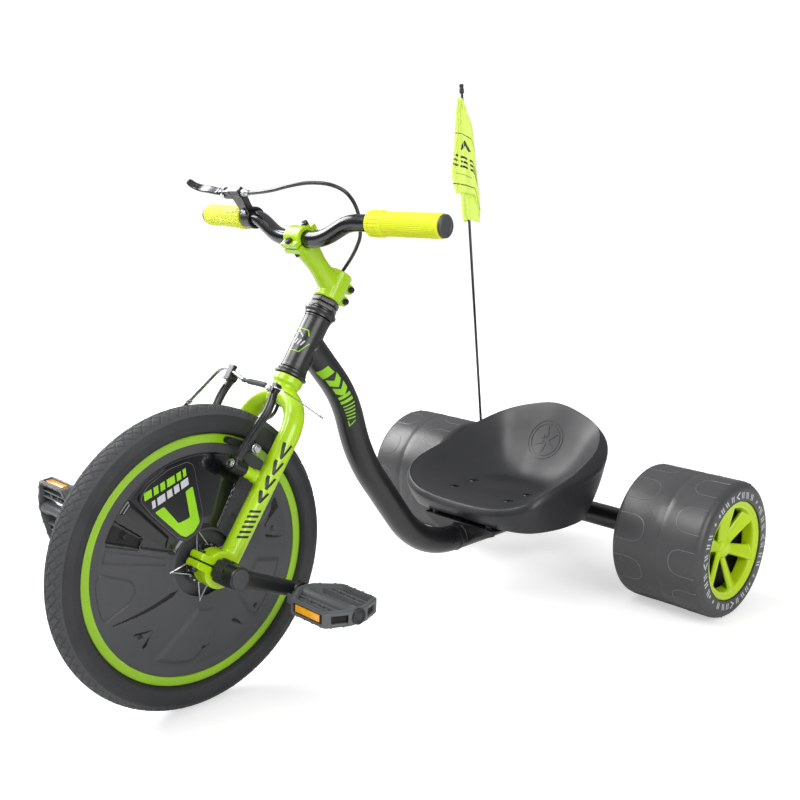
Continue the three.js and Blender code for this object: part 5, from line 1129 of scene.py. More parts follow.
# Pedals: moulded cages with studs, two centre ribs, side windows and amber reflectors
pedalLook = {"start": 112.2, "end": 218.2, "depth": 88, "thick": 21, "wall": 5.5, "chamfer": 30, "inner": 27,
             "outer": 13, "core": 10.2, "stud": 1.5, "ribRow": 0.56, "tilts": {"left": -3, "right": -144}}


def pedalPlan(inset):
    t = pedalLook
    half, start, end = t["depth"] / 2 - inset, t["start"] + inset, t["end"] - inset
    a, b = start + t["inner"], end - t["outer"]
    return [(start, -half + t["chamfer"]), (a, -half), (b, -half), (end, -half + t["chamfer"]),
            (end, half - t["chamfer"]), (b, half), (a, half), (start, half - t["chamfer"])]


def cageWalls(outer, inner, low, high):
    outer, inner = rounded(pedalPlan(outer), 4, 4), rounded(pedalPlan(inner), 2.4, 4)
    rings = [[(p[0], p[1], z) for p in plan]
             for plan, z in ((outer, low), (outer, high), (inner, high), (inner, low))]
    return loft(rings, closeAlong=True)


def pedalPlace(name, side):
    way, length = math.radians(crankLook["angle"]), crankLook["length"]
    end = shift(0, length * math.cos(way), length * math.sin(way))
    return crankFrame(side) @ end @ turnAbout("X", pedalLook["tilts"][name])


def cornerPlace(s):  # the middle of a slanted corner beside the end cap
    angle = math.degrees(math.atan2(pedalLook["outer"], pedalLook["chamfer"]))
    return shift(pedalLook["end"] - 5.2, s * 26, 0) @ turnAbout("Z", s * angle)


def makePedal(name, side):
    t = pedalLook
    place, body = pedalPlace(name, side), "pedal_" + name
    start, end, half, high = t["start"], t["end"], t["depth"] / 2, t["thick"] / 2
    row = half * t["ribRow"]
    cage = cageWalls(0.2, t["wall"], -high + 1.6, high - 1.6)
    made = meshObject("pedalCage_" + name, cage, ["filledNylon"], place)
    windows, paintedShade, lens = [], [], []
    for s in (-1, 1):  # windows by the end cap and on the slanted corners, seats for the reflectors
        windows += [moved(boxShape((-3.4, -11, -5), (4, 11, 5)), cornerPlace(s)),
                    boxShape((start + 31, s * 41, -6.3), (end - 18.5, s * 50, 6.3))]
    joined(made, windows, "filledNylon", place)
    bevelled(made, 0.7)
    settle(smoothed(inOneFinish(made, "filledNylon"), 40), body, "pedal_" + name)
    ribs = [cageWalls(1.3, t["wall"] - 0.9, *span) for span in ((high - 2.2, high), (-high, -high + 2.2))]
    for s in (-1, 1):
        for middle in (s * row - 4.2, s * row + 4.2):
            ribs.append(boxShape((start + 2.6, middle - 1.3, -6.6), (end - 11, middle + 1.3, 6.6)))
        for k in range(5):
            x = start + 14 + k * 19.5
            ribs.append(boxShape((x - 1.1, s * row - 4.4, -5.4), (x + 1.1, s * row + 4.4, 5.4)))
    piece("pedalRibs_" + name, ribs, "filledNylon", body, place=place, bevel=0.5)
    core = latheX([(5.7, start), (8.8, start), (9.4, start + 0.8), (9.4, start + 10), (8.2, start + 14),
                   (8.2, end - 20), (t["core"], end - 14), (t["core"], end - 4), (5.7, end - 4)], 48)
    flutes = [boxShape((start + 8, -9.8, -1.1), (end - 10, 9.8, 1.1)),
              boxShape((start + 8, -1.1, -9.3), (end - 10, 1.1, 9.3))]
    piece("pedalCore_" + name, [core] + flutes, "filledNylon", body, place=place, bevel=0.4)
    cap = [(0.01, 1.5), (5.4, 1.5), (5.8, 2.0), (6.4, 1.5), (7.8, 1.5), (8.3, 2.4), (9.8, 2.4),
           (10.4, 1.7), (10.4, -4), (0.01, -4)]
    cap = latheX([(r, end + x) for r, x in cap], 64, closed=False)
    piece("pedalCap_" + name, cap, "darkNylon", body, place=place)
    for s in (-1, 1):
        # near-black sheets in the windows and beside the reflectors: painted shade
        paintedShade.append(moved(boxShape((-3.7, -11.3, -5.3), (-3.2, 11.3, 5.3)), cornerPlace(s)))
    for s in (-1, 1):
        paintedShade.append(boxShape((start + 31.4, s * (half - 2.8), -6.1), (end - 18.9, s * (half - 1.9), 6.1)))
        lens.append(boxShape((start + 36, s * (half - 2.6), -4.6), (end - 24, s * (half - 0.5), 4.6)))
        for k in (1, 2):
            x = start + 36 + k * (end - start - 60) / 3
            lens.append(boxShape((x - 0.5, s * (half - 1.2), -4.6), (x + 0.5, s * (half - 0.2), 4.6)))
    piece("pedalWindow_" + name, paintedShade, "paintedShadeGap", body, place=place)
    piece("pedalReflector_" + name, lens, "amberReflector", body, place=place, bevel=0.5)
    studs = []
    plan = pedalPlan(2.7)
    for (x0, y0), (x1, y1) in zip(plan, plan[1:] + plan[:1]):
        count = max(1, round(math.hypot(x1 - x0, y1 - y0) / 17))
        for share in ((k + 0.5) / count for k in range(count)):
            studs.append((x0 + (x1 - x0) * share, y0 + (y1 - y0) * share))
    studs += [(x, s * row) for s in (-1, 1) for x in np.linspace(start + 16, end - 16, 4)]
    spots = []
    for x, y in studs:
        for up in (1, -1):
            level = up * (high - 0.2) if abs(abs(y) - row) > 0.1 else up * 6.4
            normal = Vector((place[:3, :3] @ np.array([0, 0, up])).tolist())
            spots.append(((place @ np.array([x, y, level, 1]))[:3],
                          tuple(normal.to_track_quat("Z", "Y").to_euler())))
    repeated("pedalStuds_" + name, rod(t["stud"], (0, 0, -0.6), (0, 0, 1.2), 12, 0.5), spots, "filledNylon",
             body)
    pin = [rod(5, (93.4, 0, 0), (end - 8, 0, 0), 32), rod(8, (107.6, 0, 0), (111.6, 0, 0), 6, 0),
           rod(8.2, (107.6, 0, 0), (109, 0, 0), 40)]
    piece("pedalPin_" + name, pin, "zincSteel", "cranks", "pedal_spindle_" + name, place, bevel=0.3)


for name, side in sides.items():
    makePedal(name, side)
print("pedals done")

# Brake: black cast arms, rubber pads, a bent steel guide tube, and the wire in its rubber bellows
brakeLook = {"face": 46, "thick": 10,
             "spine": [(40, 117, 15), (42, 134, 14), (44.5, 152, 13.5), (49.5, 174, 13), (53.5, 193, 12.4),
                       (52.5, 210, 12), (49, 222, 11.6), (48, 229, 12.4)],
             "padHeight": 147.6, "padHalf": 26, "padTilt": (25.4, 159.6), "forward": 40, "line": 57.4,
             "wireHeight": 228, "guideEnd": -13, "guideRise": 14.8 / 57}
bootLook = {"neck": [(1.3, -12.2), (2.6, -12.2), (3.1, -11.4), (3.1, -9.6), (2.3, -9), (2.3, 1.8), (2, 2.2),
                     (1.3, 2.2)],
            "start": [(2.95, -2.5), (3.4, -2.5)], "ridges": 13, "pitch": 2.9, "first": -2.1,
            "ridge": [(3.75, 0), (3.8, 0.9), (3.25, 1.5), (3.2, 2.2)],
            "end": [(2.4, 36.4), (1.6, 37), (1.3, 37), (1.3, 9.5), (2.95, 9.5)]}
wireLook = {"radius": 0.9, "clampHeight": 224.8, "crimp": ((66.8, 19, 225.6), (66.5, 28, 225.4)),
            "route": [(14, -57.4, 228), (40, -57.4, 228), (54, -57.4, 228), (61, -53, 228), (65, -42, 227.6),
                      (67, -25, 227), (67.5, -6, 226.4), (67, 12, 225.8), (66.5, 27, 225.4)]}


def makeBrakeArm(name, side):
    t = brakeLook
    body, front, height = "brake_arm_" + name, t["face"] + t["thick"], t["padHeight"]
    spine = smoothPath(t["spine"], 40)
    rings = []
    for x, z, w in spine:
        ring = [squircle(k, 28, 0.7) for k in range(28)]
        rings.append([(side * (x + w / 2 * u), -(t["face"] + t["thick"] / 2 + (t["thick"] / 2 - 0.3) * v), z)
                      for u, v in ring])
    parts = [loft(rings), rod(10.5, bossAt(side, -34.3), bossAt(side, -front), 48, 1.4),
             rod(6.8, (side * 48, -t["face"], 229), (side * 48, -front, 229), 40, 1.0),
             boxShape((side * 37, -t["face"] - 3, height - 6), (side * 50, -t["forward"] + 6, height + 6))]
    cutters = [rod(3.3, (side * 30, -t["forward"], height), (side * 60, -t["forward"], height), 24, 0)]
    if side < 0:  # stirrup round the guide tube
        parts.append(boxShape((-54, -61.2, 223), (-42, -55, 245)))
        cutters.append(rod(2.8, guideLine(-30), guideLine(-62), 20, 0))
    fusedPiece("brakeArm_" + name, parts, "blackElectroCoat", body, "brake_arm_" + name, steerPlace, 0.6, 4,
               cutters)
    rib = tube([(side * (x + 0.2), -(front - 0.4), z) for x, z, w in spine[6:34]], 1.5, 12)
    piece("brakeArmRib_" + name, rib, "blackElectroCoat", body, place=steerPlace)
    head = [rod(6.4, bossAt(side, -front - 0.3), bossAt(side, -front - 1.6), 40, 0.4),
            rod(5.2, bossAt(side, -front - 1.4), bossAt(side, -front - 4.3), 32, 1.8),
            rod(3.9, bossAt(side, -24), bossAt(side, -front - 1), 24)]
    piece("brakePivot_" + name, head, "zincSteel", "steering_assembly", "brake_pivot_bolt_" + name,
          steerPlace)
    # a near-black disc on the bolt head: painted shade for its socket
    socket = rod(2.3, bossAt(side, -front - 4.0), bossAt(side, -front - 4.45), 6, 0)
    piece("brakePivotSocket_" + name, socket, "paintedShadeGap", "steering_assembly", place=steerPlace)


def guideLine(x):
    height = brakeLook["wireHeight"] + brakeLook["guideRise"] * (brakeLook["guideEnd"] - x)
    return (x, -brakeLook["line"], height)


def makePad(name, side):
    t = brakeLook
    body, long = "brake_arm_" + name, t["padHalf"]
    tilt = turnAbout("X", math.degrees(math.asin(t["padTilt"][0] / t["padTilt"][1])))
    place = steerPlace @ shift(0, -t["forward"], t["padHeight"])
    rings = []
    for x, grow in ((15.0, 0.9), (15.8, 1), (21.6, 1), (22.2, 0.94), (23.2, 0.94), (24, 0.84)):
        ring = []
        for u, v in (squircle(k, 48, 0.45) for k in range(48)):
            y = long * u * (0.96 + 0.04 * grow)
            ring.append((side * x, y, 5 * v * grow + (y / long) ** 2 * -0.7))
        rings.append(ring)
    piece("brakePad_" + name, moved(loft(rings), tilt), "blackRubber", body, "brake_pad_" + name, place)
    # near-black strips on the pad face: painted shade for the grooves
    slots = [moved(boxShape((side * 14.9, y - 0.7, -4.6), (side * 15.3, y + 0.7, 4.6)), tilt)
             for y in (-16, -5, 6, 17)]
    piece("brakePadGrooves_" + name, slots, "paintedShadeGap", body, place=place)
    stud = [rod(3, (side * 23, 0, 0), (side * 57.5, 0, 0), 20),
            rod(5.6, (side * 33.2, 0, 0), (side * 36.2, 0, 0), 36, 0.8),
            rod(6.2, (side * 50.6, 0, 0), (side * 51.8, 0, 0), 36),
            hexNut(5.5, (side * 51.6, 0, 0), (side * 56.4, 0, 0))]
    piece("brakePadStud_" + name, stud, "zincSteel", body, place=place, bevel=0.3)


def makeBrake():
    for name, side in sides.items():
        makeBrakeArm(name, side)
        makePad(name, side)
    t, line = bootLook, brakeLook["line"]
    end, foot = (-107, -line, 178), (-104.2, -line, 182.8)
    parts = [tube(bentPath([guideLine(-13), guideLine(-70), end], [18], 4), 2.7, 24),
             rod(3.7, guideLine(-51), guideLine(-47), 24, 0.5),
             rod(3.3, guideLine(-15.8), guideLine(-13.2), 24, 0.4), rod(4.0, foot, end, 24, 0.6)]
    piece("brakeGuideTube", parts, "zincSteel", "brake_arm_right", "brake_noodle", steerPlace)
    # the boot's neck slides into its bellows when the arms close
    ridges = [(r, t["first"] + k * t["pitch"] + x) for k in range(t["ridges"]) for r, x in t["ridge"]]
    bootPlace = steerPlace @ shift(0, -line, brakeLook["wireHeight"])
    piece("wireBootNeck", latheX(t["neck"], 32), "greyRubber", "brake_arm_right", "wire_sleeve", bootPlace)
    piece("wireBellows", latheX(t["start"] + ridges + t["end"], 32), "greyRubber", "brake_arm_left",
          place=bootPlace)
    wire = tube(smoothPath(wireLook["route"], 60), wireLook["radius"], 10)
    piece("brakeWire", wire, "zincSteel", "brake_arm_left", "brake_wire", steerPlace)
    piece("wireEndCrimp", rod(1.5, *wireLook["crimp"], 12, 0.3), "zincSteel", "brake_arm_left",
          place=steerPlace)

    def stack(radius, start, stop, *more):
        height = wireLook["clampHeight"]
        return rod(radius, (48, start, height), (48, stop, height), *more)

    clamp = [stack(2, -54, -61, 16), stack(5.4, -line - 1.5, -line - 2.9, 32, 0.3),
             stack(4.4, -line - 2.8, -line - 5.9, 6, 0),
             stack(3.4, -line - 5.8, -line - 6.3, 24)]
    piece("wireClamp", clamp, "zincSteel", "brake_arm_left", place=steerPlace, bevel=0.3)


makeBrake()
print("brake done")

# Headset: two pressed cups and a two-step locknut
headLook = {"tube": 18.75, "low": 272.3, "high": 355.8, "bore": 13.3, "height": 8.6, "nutLow": 365.3,
            "nutHigh": 383.7, "nutBore": 13.1, "flats": 35,
            "cup": [(22.2, 0), (23, 0.8), (23, 3.0), (21.8, 3.9), (21.2, 5.2), (20.4, 6.2), (20.4, 8.6),
                    (15.8, 8.6), (15.8, 15.6)]}


def makeHeadset():
    t = headLook
    cup = [(t["bore"], 0)] + t["cup"] + [(t["bore"], 15.6)]
    for name, z, up in (("lower", t["low"] - 0.3 - t["height"], 1),
                        ("upper", t["high"] + 0.3 + t["height"], -1)):
        piece("headsetCup_" + name, latheZ([(r, z + up * h) for r, h in cup], 96), "blackPowderCoat", "frame",
              "headset_cup_" + name, steerPlace)
    bore, base = t["nutBore"], t["nutLow"]
    parts = [latheZ([(bore, base), (20.2, base), (20.4, base + 0.8), (20.4, base + 2.8),
                     (19.6, base + 3.4), (bore, base + 3.4)], 80)]
    across = t["flats"] / math.sqrt(3)
    low, high = base + 3.2, t["nutHigh"]
    angle = np.linspace(0, 2 * math.pi, 6, endpoint=False)
    for z0, z1 in ((low, low + 7.0), (low + 7.6, high)):
        rings = [np.column_stack([r * np.cos(angle), r * np.sin(angle), np.full(6, z)]) for r, z in
                 ((bore, z0), (across - 0.9, z0), (across, z0 + 0.7), (across, z1 - 0.7), (across - 0.9, z1),
                  (bore, z1))]
        parts.append(loft(rings, closeAlong=True))
    parts.append(latheZ([(bore, low + 6.9), (17.2, low + 6.9), (17.2, low + 7.7), (bore, low + 7.7)], 64))
    piece("headsetLocknut", parts, "blackElectroCoat", "steering_assembly", "headset_locknut", steerPlace,
          bevel=0.4)


makeHeadset()

# Stem: a cast arm with a pinch clamp behind and a two-bolt cap over the bar
stemLook = {"low": 384, "high": 427, "clamp": 19.5, "reach": 86.2, "bar": 430.6, "tilt": -18.5, "face": 17.4,
            "half": 15.5, "ear": 22.5, "earThick": 8.5, "earEdge": 14.6, "split": 0.8, "bolt": 17.8,
            "bore": 11.5, "pinch": 9.5}
# -Y runs out of the clamp, +Z across it
stemFrame = steerPlace @ shift(0, -stemLook["reach"], stemLook["bar"]) @ turnAbout("X", stemLook["tilt"])


def faceHalf(out):  # y runs along -out, ears first
    t = stemLook
    s, ear, thick, edge = t["split"], t["ear"], -out * t["earThick"], t["earEdge"]
    levels = t["face"] * np.cos(np.linspace(0.62, math.pi - 0.62, 14))
    curve = [(-out * math.sqrt(t["face"] ** 2 - z * z), z) for z in levels]
    outline = [(-out * s, ear), (thick, ear), (thick, edge)] + curve + [(thick, -edge), (thick, -ear),
                                                                        (-out * s, -ear)]
    for a in np.linspace(math.pi / 2 - 0.08, -math.pi / 2 + 0.08, 18):
        y, z = -out * math.cos(a) * t["bore"], -math.sin(a) * t["bore"]
        outline.append((y if abs(y) > s else -out * s, z))
    points, faces = prism(outline, -t["half"], t["half"])
    return points[:, [2, 0, 1]], faces


def capScrew(place, way, radius, tall):  # socket head, and a thin hexagon on it that takes painted shade as its hole
    place, way = np.array(place, float), np.array(way, float)
    head = rod(radius, place, place + way * tall, 36, 0.9)
    return head, rod(radius * 0.52, place + way * (tall - 0.15), place + way * (tall + 0.12), 6, 0)


def makeStem():
    t = stemLook
    middle = (t["low"] + t["high"]) / 2
    pinches = {"lower": middle - t["pinch"], "upper": middle + t["pinch"]}
    toFace = np.linalg.inv(steerPlace) @ stemFrame
    path = np.linspace(np.array([0, -6, middle]), (toFace @ np.array([0, 12, 0, 1]))[:3], 24)
    radii = 16.9 - 3.0 * np.sin(math.pi * np.clip(np.linspace(0, 1, 24) * 1.05, 0, 1)) ** 1.4
    body = [tube(path, radii, 40), rod(t["clamp"], (0, 0, t["low"]), (0, 0, t["high"]), 56, 2),
            moved(faceHalf(-1), toFace)]
    barBore = rod(11.3, (-30, 0, 0), (30, 0, 0), 56, 0)
    cutters = [rod(12.9, (0, 0, t["low"] - 4), (0, 0, t["high"] + 4), 64, 0),
               boxShape((-1.1, 4, t["low"] - 4), (1.1, 40, t["high"] + 4)), moved(barBore, toFace)]
    for z in pinches.values():
        body += [rod(7.4, (-7.5, 24, z), (7.5, 24, z), 40, 1.2),
                 boxShape((-7.5, 6, z - 7.2), (7.5, 24, z + 7.2))]
        cutters.append(rod(4.9, (6.4, 24.2, z), (12, 24.2, z), 32, 0))
    fusedPiece("stemBody", body, "limePowderCoat", "steering_assembly", "stem", steerPlace, 0.75, 5, cutters)
    capCuts = [barBore] + [rod(5.5, (0, -t["earThick"] + 0.6, z), (0, -30, z), 32, 0)
                           for z in (-t["bolt"], t["bolt"])]
    fusedPiece("stemCap", [faceHalf(1)], "limePowderCoat", "steering_assembly", "stem_cap", stemFrame, 0.6, 4,
               capCuts)
    top = t["earThick"] + 0.3
    screws = [("stemCap", "stem_cap_bolt_", name, capScrew((0, -top, z), (0, -1, 0), 5.2, 4.6),
               rod(3, (0, 16, z), (0, -top, z), 20), stemFrame)
              for name, z in (("front", -t["bolt"]), ("rear", t["bolt"]))]
    screws += [("stemPinch", "stem_pinch_bolt_", name, capScrew((7.8, 24.25, z), (1, 0, 0), 4.4, 4),
                rod(2.6, (-7.8, 24.25, z), (8, 24.25, z), 16), steerPlace) for name, z in pinches.items()]
    for kind, solid, name, (head, hole), shank, place in screws:
        piece(kind + "Bolt_" + name, [head, shank], "blackElectroCoat", "steering_assembly", solid + name,
              place)
        # the hexagon hole is a near-black plug: painted shade
        piece(kind + "Socket_" + name, hole, "paintedShadeGap", "steering_assembly", place=place)


makeStem()

# Handlebar: one bent tube, open at its ends
barLook = {"radius": 11.1, "wall": 2, "bends": [15, 20, 20, 15],
           "corners": [(242, 25, 24), (94, 5, 24), (46, 0, 0), (-46, 0, 0), (-94, 5, 24), (-242, 25, 24)]}


def makeHandlebar():
    t = barLook
    path = bentPath(t["corners"], t["bends"], 4)
    rings = skinRings(path, t["radius"], 48) + skinRings(path, t["radius"] - t["wall"], 48)[::-1]
    piece("bentBar", loft(rings, closeAlong=True), "smokedChrome", "steering_assembly", "handlebar", barPlace)


makeHandlebar()

# Grips: a dotted collar, fine ribs along the shaft, a plug with a raised rim
gripLook = {"start": 130, "length": 112, "radius": 15.2, "collar": 24, "collarRadius": 16.3, "dotRise": 0.9,
            "dots": 20, "rows": 4, "ribs": 40,
            "ribDepth": 0.55, "bore": 11.35}


def gripFrame(side):
    corner, end = (np.array([side * p[0], p[1], p[2]], float)
                   for p in (barLook["corners"][1], barLook["corners"][0]))
    way = (end - corner) / np.linalg.norm(end - corner)
    start = corner + way * (gripLook["start"] - barLook["corners"][1][0]) / abs(way[0])
    across = np.cross([0, 0, 1], way)
    return barPlace @ basis(way, across, (0, 0, 1), start), gripLook["length"] / abs(way[0])


def makeGrip(name, side):
    t = gripLook
    place, length = gripFrame(side)
    around = 320
    xs = np.concatenate([np.linspace(0, t["collar"], 56), np.linspace(t["collar"] + 0.4, length, 46)])
    angle = np.linspace(0, 2 * math.pi, around, endpoint=False)
    x, a = np.meshgrid(xs, angle, indexing="ij")
    row = (x - 1.5) / (t["collar"] - 2.5) * t["rows"]
    dot = np.maximum(np.abs((a / (2 * math.pi) * t["dots"]) % 1 - 0.5) / 0.33, np.abs(row % 1 - 0.5) / 0.34)
    raised = (1 - ease(0.85, 1.1, dot)) * (row > 0) * (row < t["rows"])
    collar = t["collarRadius"] + t["dotRise"] * raised
    rib = np.abs((a / (2 * math.pi) * t["ribs"]) % 1 - 0.5) * 2
    fade = ease(t["collar"], t["collar"] + 5, x) * (1 - ease(length - 7, length - 3, x))
    shaft = t["radius"] + 0.4 - t["ribDepth"] * fade * (1 - ease(0.1, 0.5, rib))
    radius = np.where(x <= t["collar"], collar, shaft)
    ends = np.minimum(x, length - x)
    radius = radius - 1.0 * (1 - ease(0, 1.6, ends))
    outer = np.stack([x, radius * np.cos(a), radius * np.sin(a)], -1)
    inner = np.stack([np.full(around, 1.0), t["bore"] * np.cos(angle), t["bore"] * np.sin(angle)], -1)
    first, last = inner * (0, 1, 1), inner * (0, 1, 1) + (length, 0, 0)
    sleeve = loft(np.concatenate([outer, [last], [first]]), closeAlong=True)
    piece("gripSleeve_" + name, sleeve, "limeGripRubber", "steering_assembly", "grip_" + name, place,
          sharp=50)
    plug = [(0.01, 4.2), (8.6, 4.2), (9.4, 4.9), (12.8, 5.1), (14.4, 3.6), (14.4, 0.6), (13.2, 0.35),
            (8, 0.35), (8, -14), (0.01, -14)]
    plug = latheX([(r, length + x) for r, x in plug], 72, closed=False)
    piece("gripPlug_" + name, plug, "satinAbs", "steering_assembly", "grip_plug_" + name, place)


for name, side in sides.items():
    makeGrip(name, side)
print("bar and grips done")

# Brake lever: cast perch with a round barrel, dark steel blade with a hooked tip
leverLook = {"pivot": (-21, -46), "bladeWidth": 13, "bladeStart": -33.4, "bladeEnd": -83.4, "blade": 44,
             "thick": 2.5, "ridges": 22}


def flatPlate(outline, half, soft):
    return prism([(p[0], p[1]) for p in rounded(outline, soft, 4)], -half, half)


def makeLever():
    t = leverLook
    px, py = t["pivot"]

    def alongX(radius, start, end, *more):
        return rod(radius, (start, py, 0), (end, py, 0), *more)

    def alongZ(radius, start, end, *more):
        return rod(radius, (px, py, start), (px, py, end), *more)

    ring = latheX([(11.5, -9.5), (14.9, -9.5), (15.6, -8.8), (15.6, 8.8), (14.9, 9.5), (11.5, 9.5)], 64)
    neck = [(8.6, -6), (11, -22), (17.5, -39), (17.5, -53), (-6, -53), (-6, -40), (-8, -19), (-8.6, -6)]
    fork = [(-3, -39.5), (px, -39.5), (px - 6.6, py), (px, -52.5), (-3, -52.5)]
    body = [ring, flatPlate(neck, 5.4, 2), alongX(6.3, -15.5, 17.8, 48, 1.4), flatPlate(fork, 6.4, 2.5),
            boxShape((-7.5, -19.5, -6), (7.5, -10, 6))]
    along = (np.linalg.inv(leverPlace) @ gripFrame(-1)[0])[:3, 0] * 60
    cutters = [rod(11.4, -along, along, 56, 0), boxShape((-60, -70, -3.5), (px + 8.2, -37.5, 3.5))]
    fusedPiece("leverPerch", body, "blackElectroCoat", "steering_assembly", "lever_perch", leverPlace, 0.6, 4,
               cutters)
    bolt = [rod(4.3, (2, -17.5, -8.6), (2, -17.5, -5.8), 28, 0.8),
            rod(2.2, (2, -17.5, -8.7), (2, -17.5, -8.5), 6, 0)]
    piece("perchClampBolt", bolt, "zincSteel", "steering_assembly", place=leverPlace)
    bands = [moved(latheX([(6.2, x), (6.9, x), (6.9, x + 1.6), (6.2, x + 1.6)], 48, 0.3), shift(y=py))
             for x in (-13.5, 15.4)]
    piece("perchBarrelBands", bands, "castAlloy", "steering_assembly", place=leverPlace)
    pin = [alongZ(2.4, -6.8, 6.8, 24), alongZ(3.84, 6.8, 8.4, 28, 0.7), alongZ(3.84, -8.4, -6.8, 28, 0.7)]
    piece("leverPivotPin", pin, "zincSteel", "steering_assembly", "lever_pivot_pin", leverPlace)
    start, end, last = t["bladeStart"], t["bladeEnd"], t["blade"] - 1
    spine = smoothPath([(start + 3, py, 0), (start - 8, py - 2, 0), (-58, py - 5, 0), (-72, py - 6.6, 0),
                        (end, py - 9.4, 0), (end - 7, py - 13.4, 0), (end - 12.5, py - 20.2, 0)], t["blade"])
    half = t["bladeWidth"] / 2
    rings = []
    for i, p in enumerate(spine):
        share = i / last
        tangent = spine[min(i + 1, last)] - spine[max(i - 1, 0)]
        tangent /= np.linalg.norm(tangent)
        normal = np.array([-tangent[1], tangent[0], 0])
        swell = 0.84 + 0.16 * math.sin(math.pi * min(share * 1.2, 1))
        wide = half * swell * (1 - 0.25 * max(0, share - 0.93) / 0.07)
        thick = t["thick"] * (1 - 0.15 * share)
        ring = []
        for k in range(24):
            c, s = math.cos(k / 24 * 2 * math.pi), math.sin(k / 24 * 2 * math.pi)
            u, v = squircle(k, 24, 0.6)
            hollow = 0.7 if s > 0.3 and 0.12 < share < 0.8 else 0  # finger side is dished
            ring.append(p + normal * (thick * v - hollow * (1 - abs(c)) * 1.2) + np.array([0, 0, wide * u]))
        rings.append(ring)
    link = flatPlate([(px, -50.2), (start - 4, -48.6), (start - 4, -43.6), (px, -41.8)], 2.8, 1.2)
    blade = fusedPiece("brakeLever", [loft(rings), alongZ(6.9, -2.8, 2.8, 40, 0.5), link], "smokedChrome",
                       "brake_lever", "brake_lever", leverPlace, 0.5, 3, [alongZ(2.7, -9, 9, 24, 0)])
    tipFrom = leverPlace @ np.array([end - 4, py - 11, 0, 1])
    blade.data.materials.append(finishes["blackRubber"])
    way = (leverPlace[:3, :3] @ np.array([-1, -0.9, 0])) / 1000
    for face in blade.data.polygons:  # the tip is dipped in black
        if (np.array(face.center) - tipFrom[:3] / 1000) @ way > 0:
            face.material_index = 1
    adjuster = [alongX(3.9, 18.3, 33.2, 32, 0.4), alongX(4.7, 18.3, 26.6, 40, 0.5)]
    for k in range(t["ridges"]):
        a = k / t["ridges"] * 2 * math.pi
        y, z = py + 4.5 * math.cos(a), 4.5 * math.sin(a)
        adjuster.append(rod(0.62, (18.7, y, z), (26.2, y, z), 6, 0.15))
    piece("cableAdjuster", adjuster, "zincSteel", "steering_assembly", "cable_adjuster", leverPlace)
    piece("cableFerrule", alongX(3.5, 29.5, 33.6, 28, 0.5), "zincSteel", "steering_assembly",
          place=leverPlace)


makeLever()

# Brake cable, in the trike's frame above the stem and in the fork's below the crown
cableRoutes = {
    "upper": (rolling, 220, [(-94, 167.6, 666.5), (-83, 167.6, 666.5), (-70, 167.6, 667), (-33, 167.5, 670.5),
                             (5, 170, 677), (37, 178, 681), (63, 190, 678.6), (74, 203, 671), (77, 214, 660),
                             (75, 226, 643), (64, 240, 613.4), (47, 249, 596), (28, 256, 580), (11, 261, 567),
                             (3, 258, 556), (0, 250, 543.3), (0, 226, 508.1), (0, 200, 470), (0, 175, 433.4),
                             (0, 153.8, 402.3)]),
    "lower": (steerPlace, 150, [(0, 0, 241), (0, 1, 229), (-4, 6, 217), (-16, 14, 208.5), (-32, 20, 203),
                                (-54, 21.5, 194), (-75, 13, 180), (-93, -6, 163), (-107, -28, 152),
                                (-113, -46, 153), (-114, -55, 160.5), (-111.2, -57.4, 170),
                                (-107.4, -57.4, 177.2)]),
}
for name, (place, count, route) in cableRoutes.items():
    piece("brakeCable_" + name, tube(smoothPath(route, count), 2.5, 20), "cableJacket", "steering_assembly",
          "brake_cable_" + name, place)
print("lever and cables done")
# Frame: one bent black tube with the head tube welded on, the axle tube and the seat bracket
frameLook = {"radius": 21, "corners": [(0, 200, 460), (0, 264.4, 380), (0, 291, 284), (0, 420.6, 107),
                                       (0, 750, 109)],
             "bends": [38, 48, 80], "axle": (762, 110.8), "axleRadius": 19, "axleHalf": 189, "pin": 10,
             "pinEnd": 325}
boltSpots = [(x, y) for x in (-59.5, 59.5) for y in (566, 615)]  # the four seat bolts


def makeMainTube():
    t = frameLook
    path = bentPath(t["corners"], t["bends"], 5)
    toRolling = np.linalg.inv(rolling) @ steerPlace
    wide, low, high = headLook["tube"], headLook["low"], headLook["high"]

    def onHead(radius, start, end, *more):
        return moved(rod(radius, (0, 0, start), (0, 0, end), *more), toRolling)

    parts = [tube(path, t["radius"], 56), onHead(wide, low, high, 72, 0.6)]
    parts += [onHead(wide + 0.7, z, z + 4, 72, 1.2) for z in (low, high - 4)]
    saddle = rod(t["axleRadius"] + 0.3, (-80, *t["axle"]), (80, *t["axle"]), 72, 0)
    fusedPiece("mainTube", parts, "blackPowderCoat", "frame", "main_tube", rolling, 1.25, 4,
               [onHead(16.15, low - 6, high + 6, 64, 0), saddle])
    ring = rod(t["radius"] + 0.9, (0, 497, 107.46), (0, 500, 107.48), 72, 0.4)
    piece("tubeCollar", ring, "blackPowderCoat", "frame", place=rolling)
    return path


mainPath = makeMainTube()


def alongTube(path):
    lengths, radius = lengthsAlong(path), frameLook["radius"]

    def onSurface(u, v, up):
        spot, ahead, behind = (np.array([np.interp(p, lengths, path[:, k]) for k in range(3)])
                               for p in (u, u + 2, u - 2))
        way = (ahead - behind) / np.linalg.norm(ahead - behind)
        side = np.array([1.0, 0, 0])
        a = v / radius
        spot = spot + (radius + 0.12 + up) * (math.cos(a) * side + math.sin(a) * np.cross(way, side))
        return (rolling @ np.append(spot, 1))[:3]
    return onSurface


def slanted(u, v, long, wide, lean):
    return [(u, v), (u + long, v + lean), (u + long, v + lean + wide), (u, v + wide)]


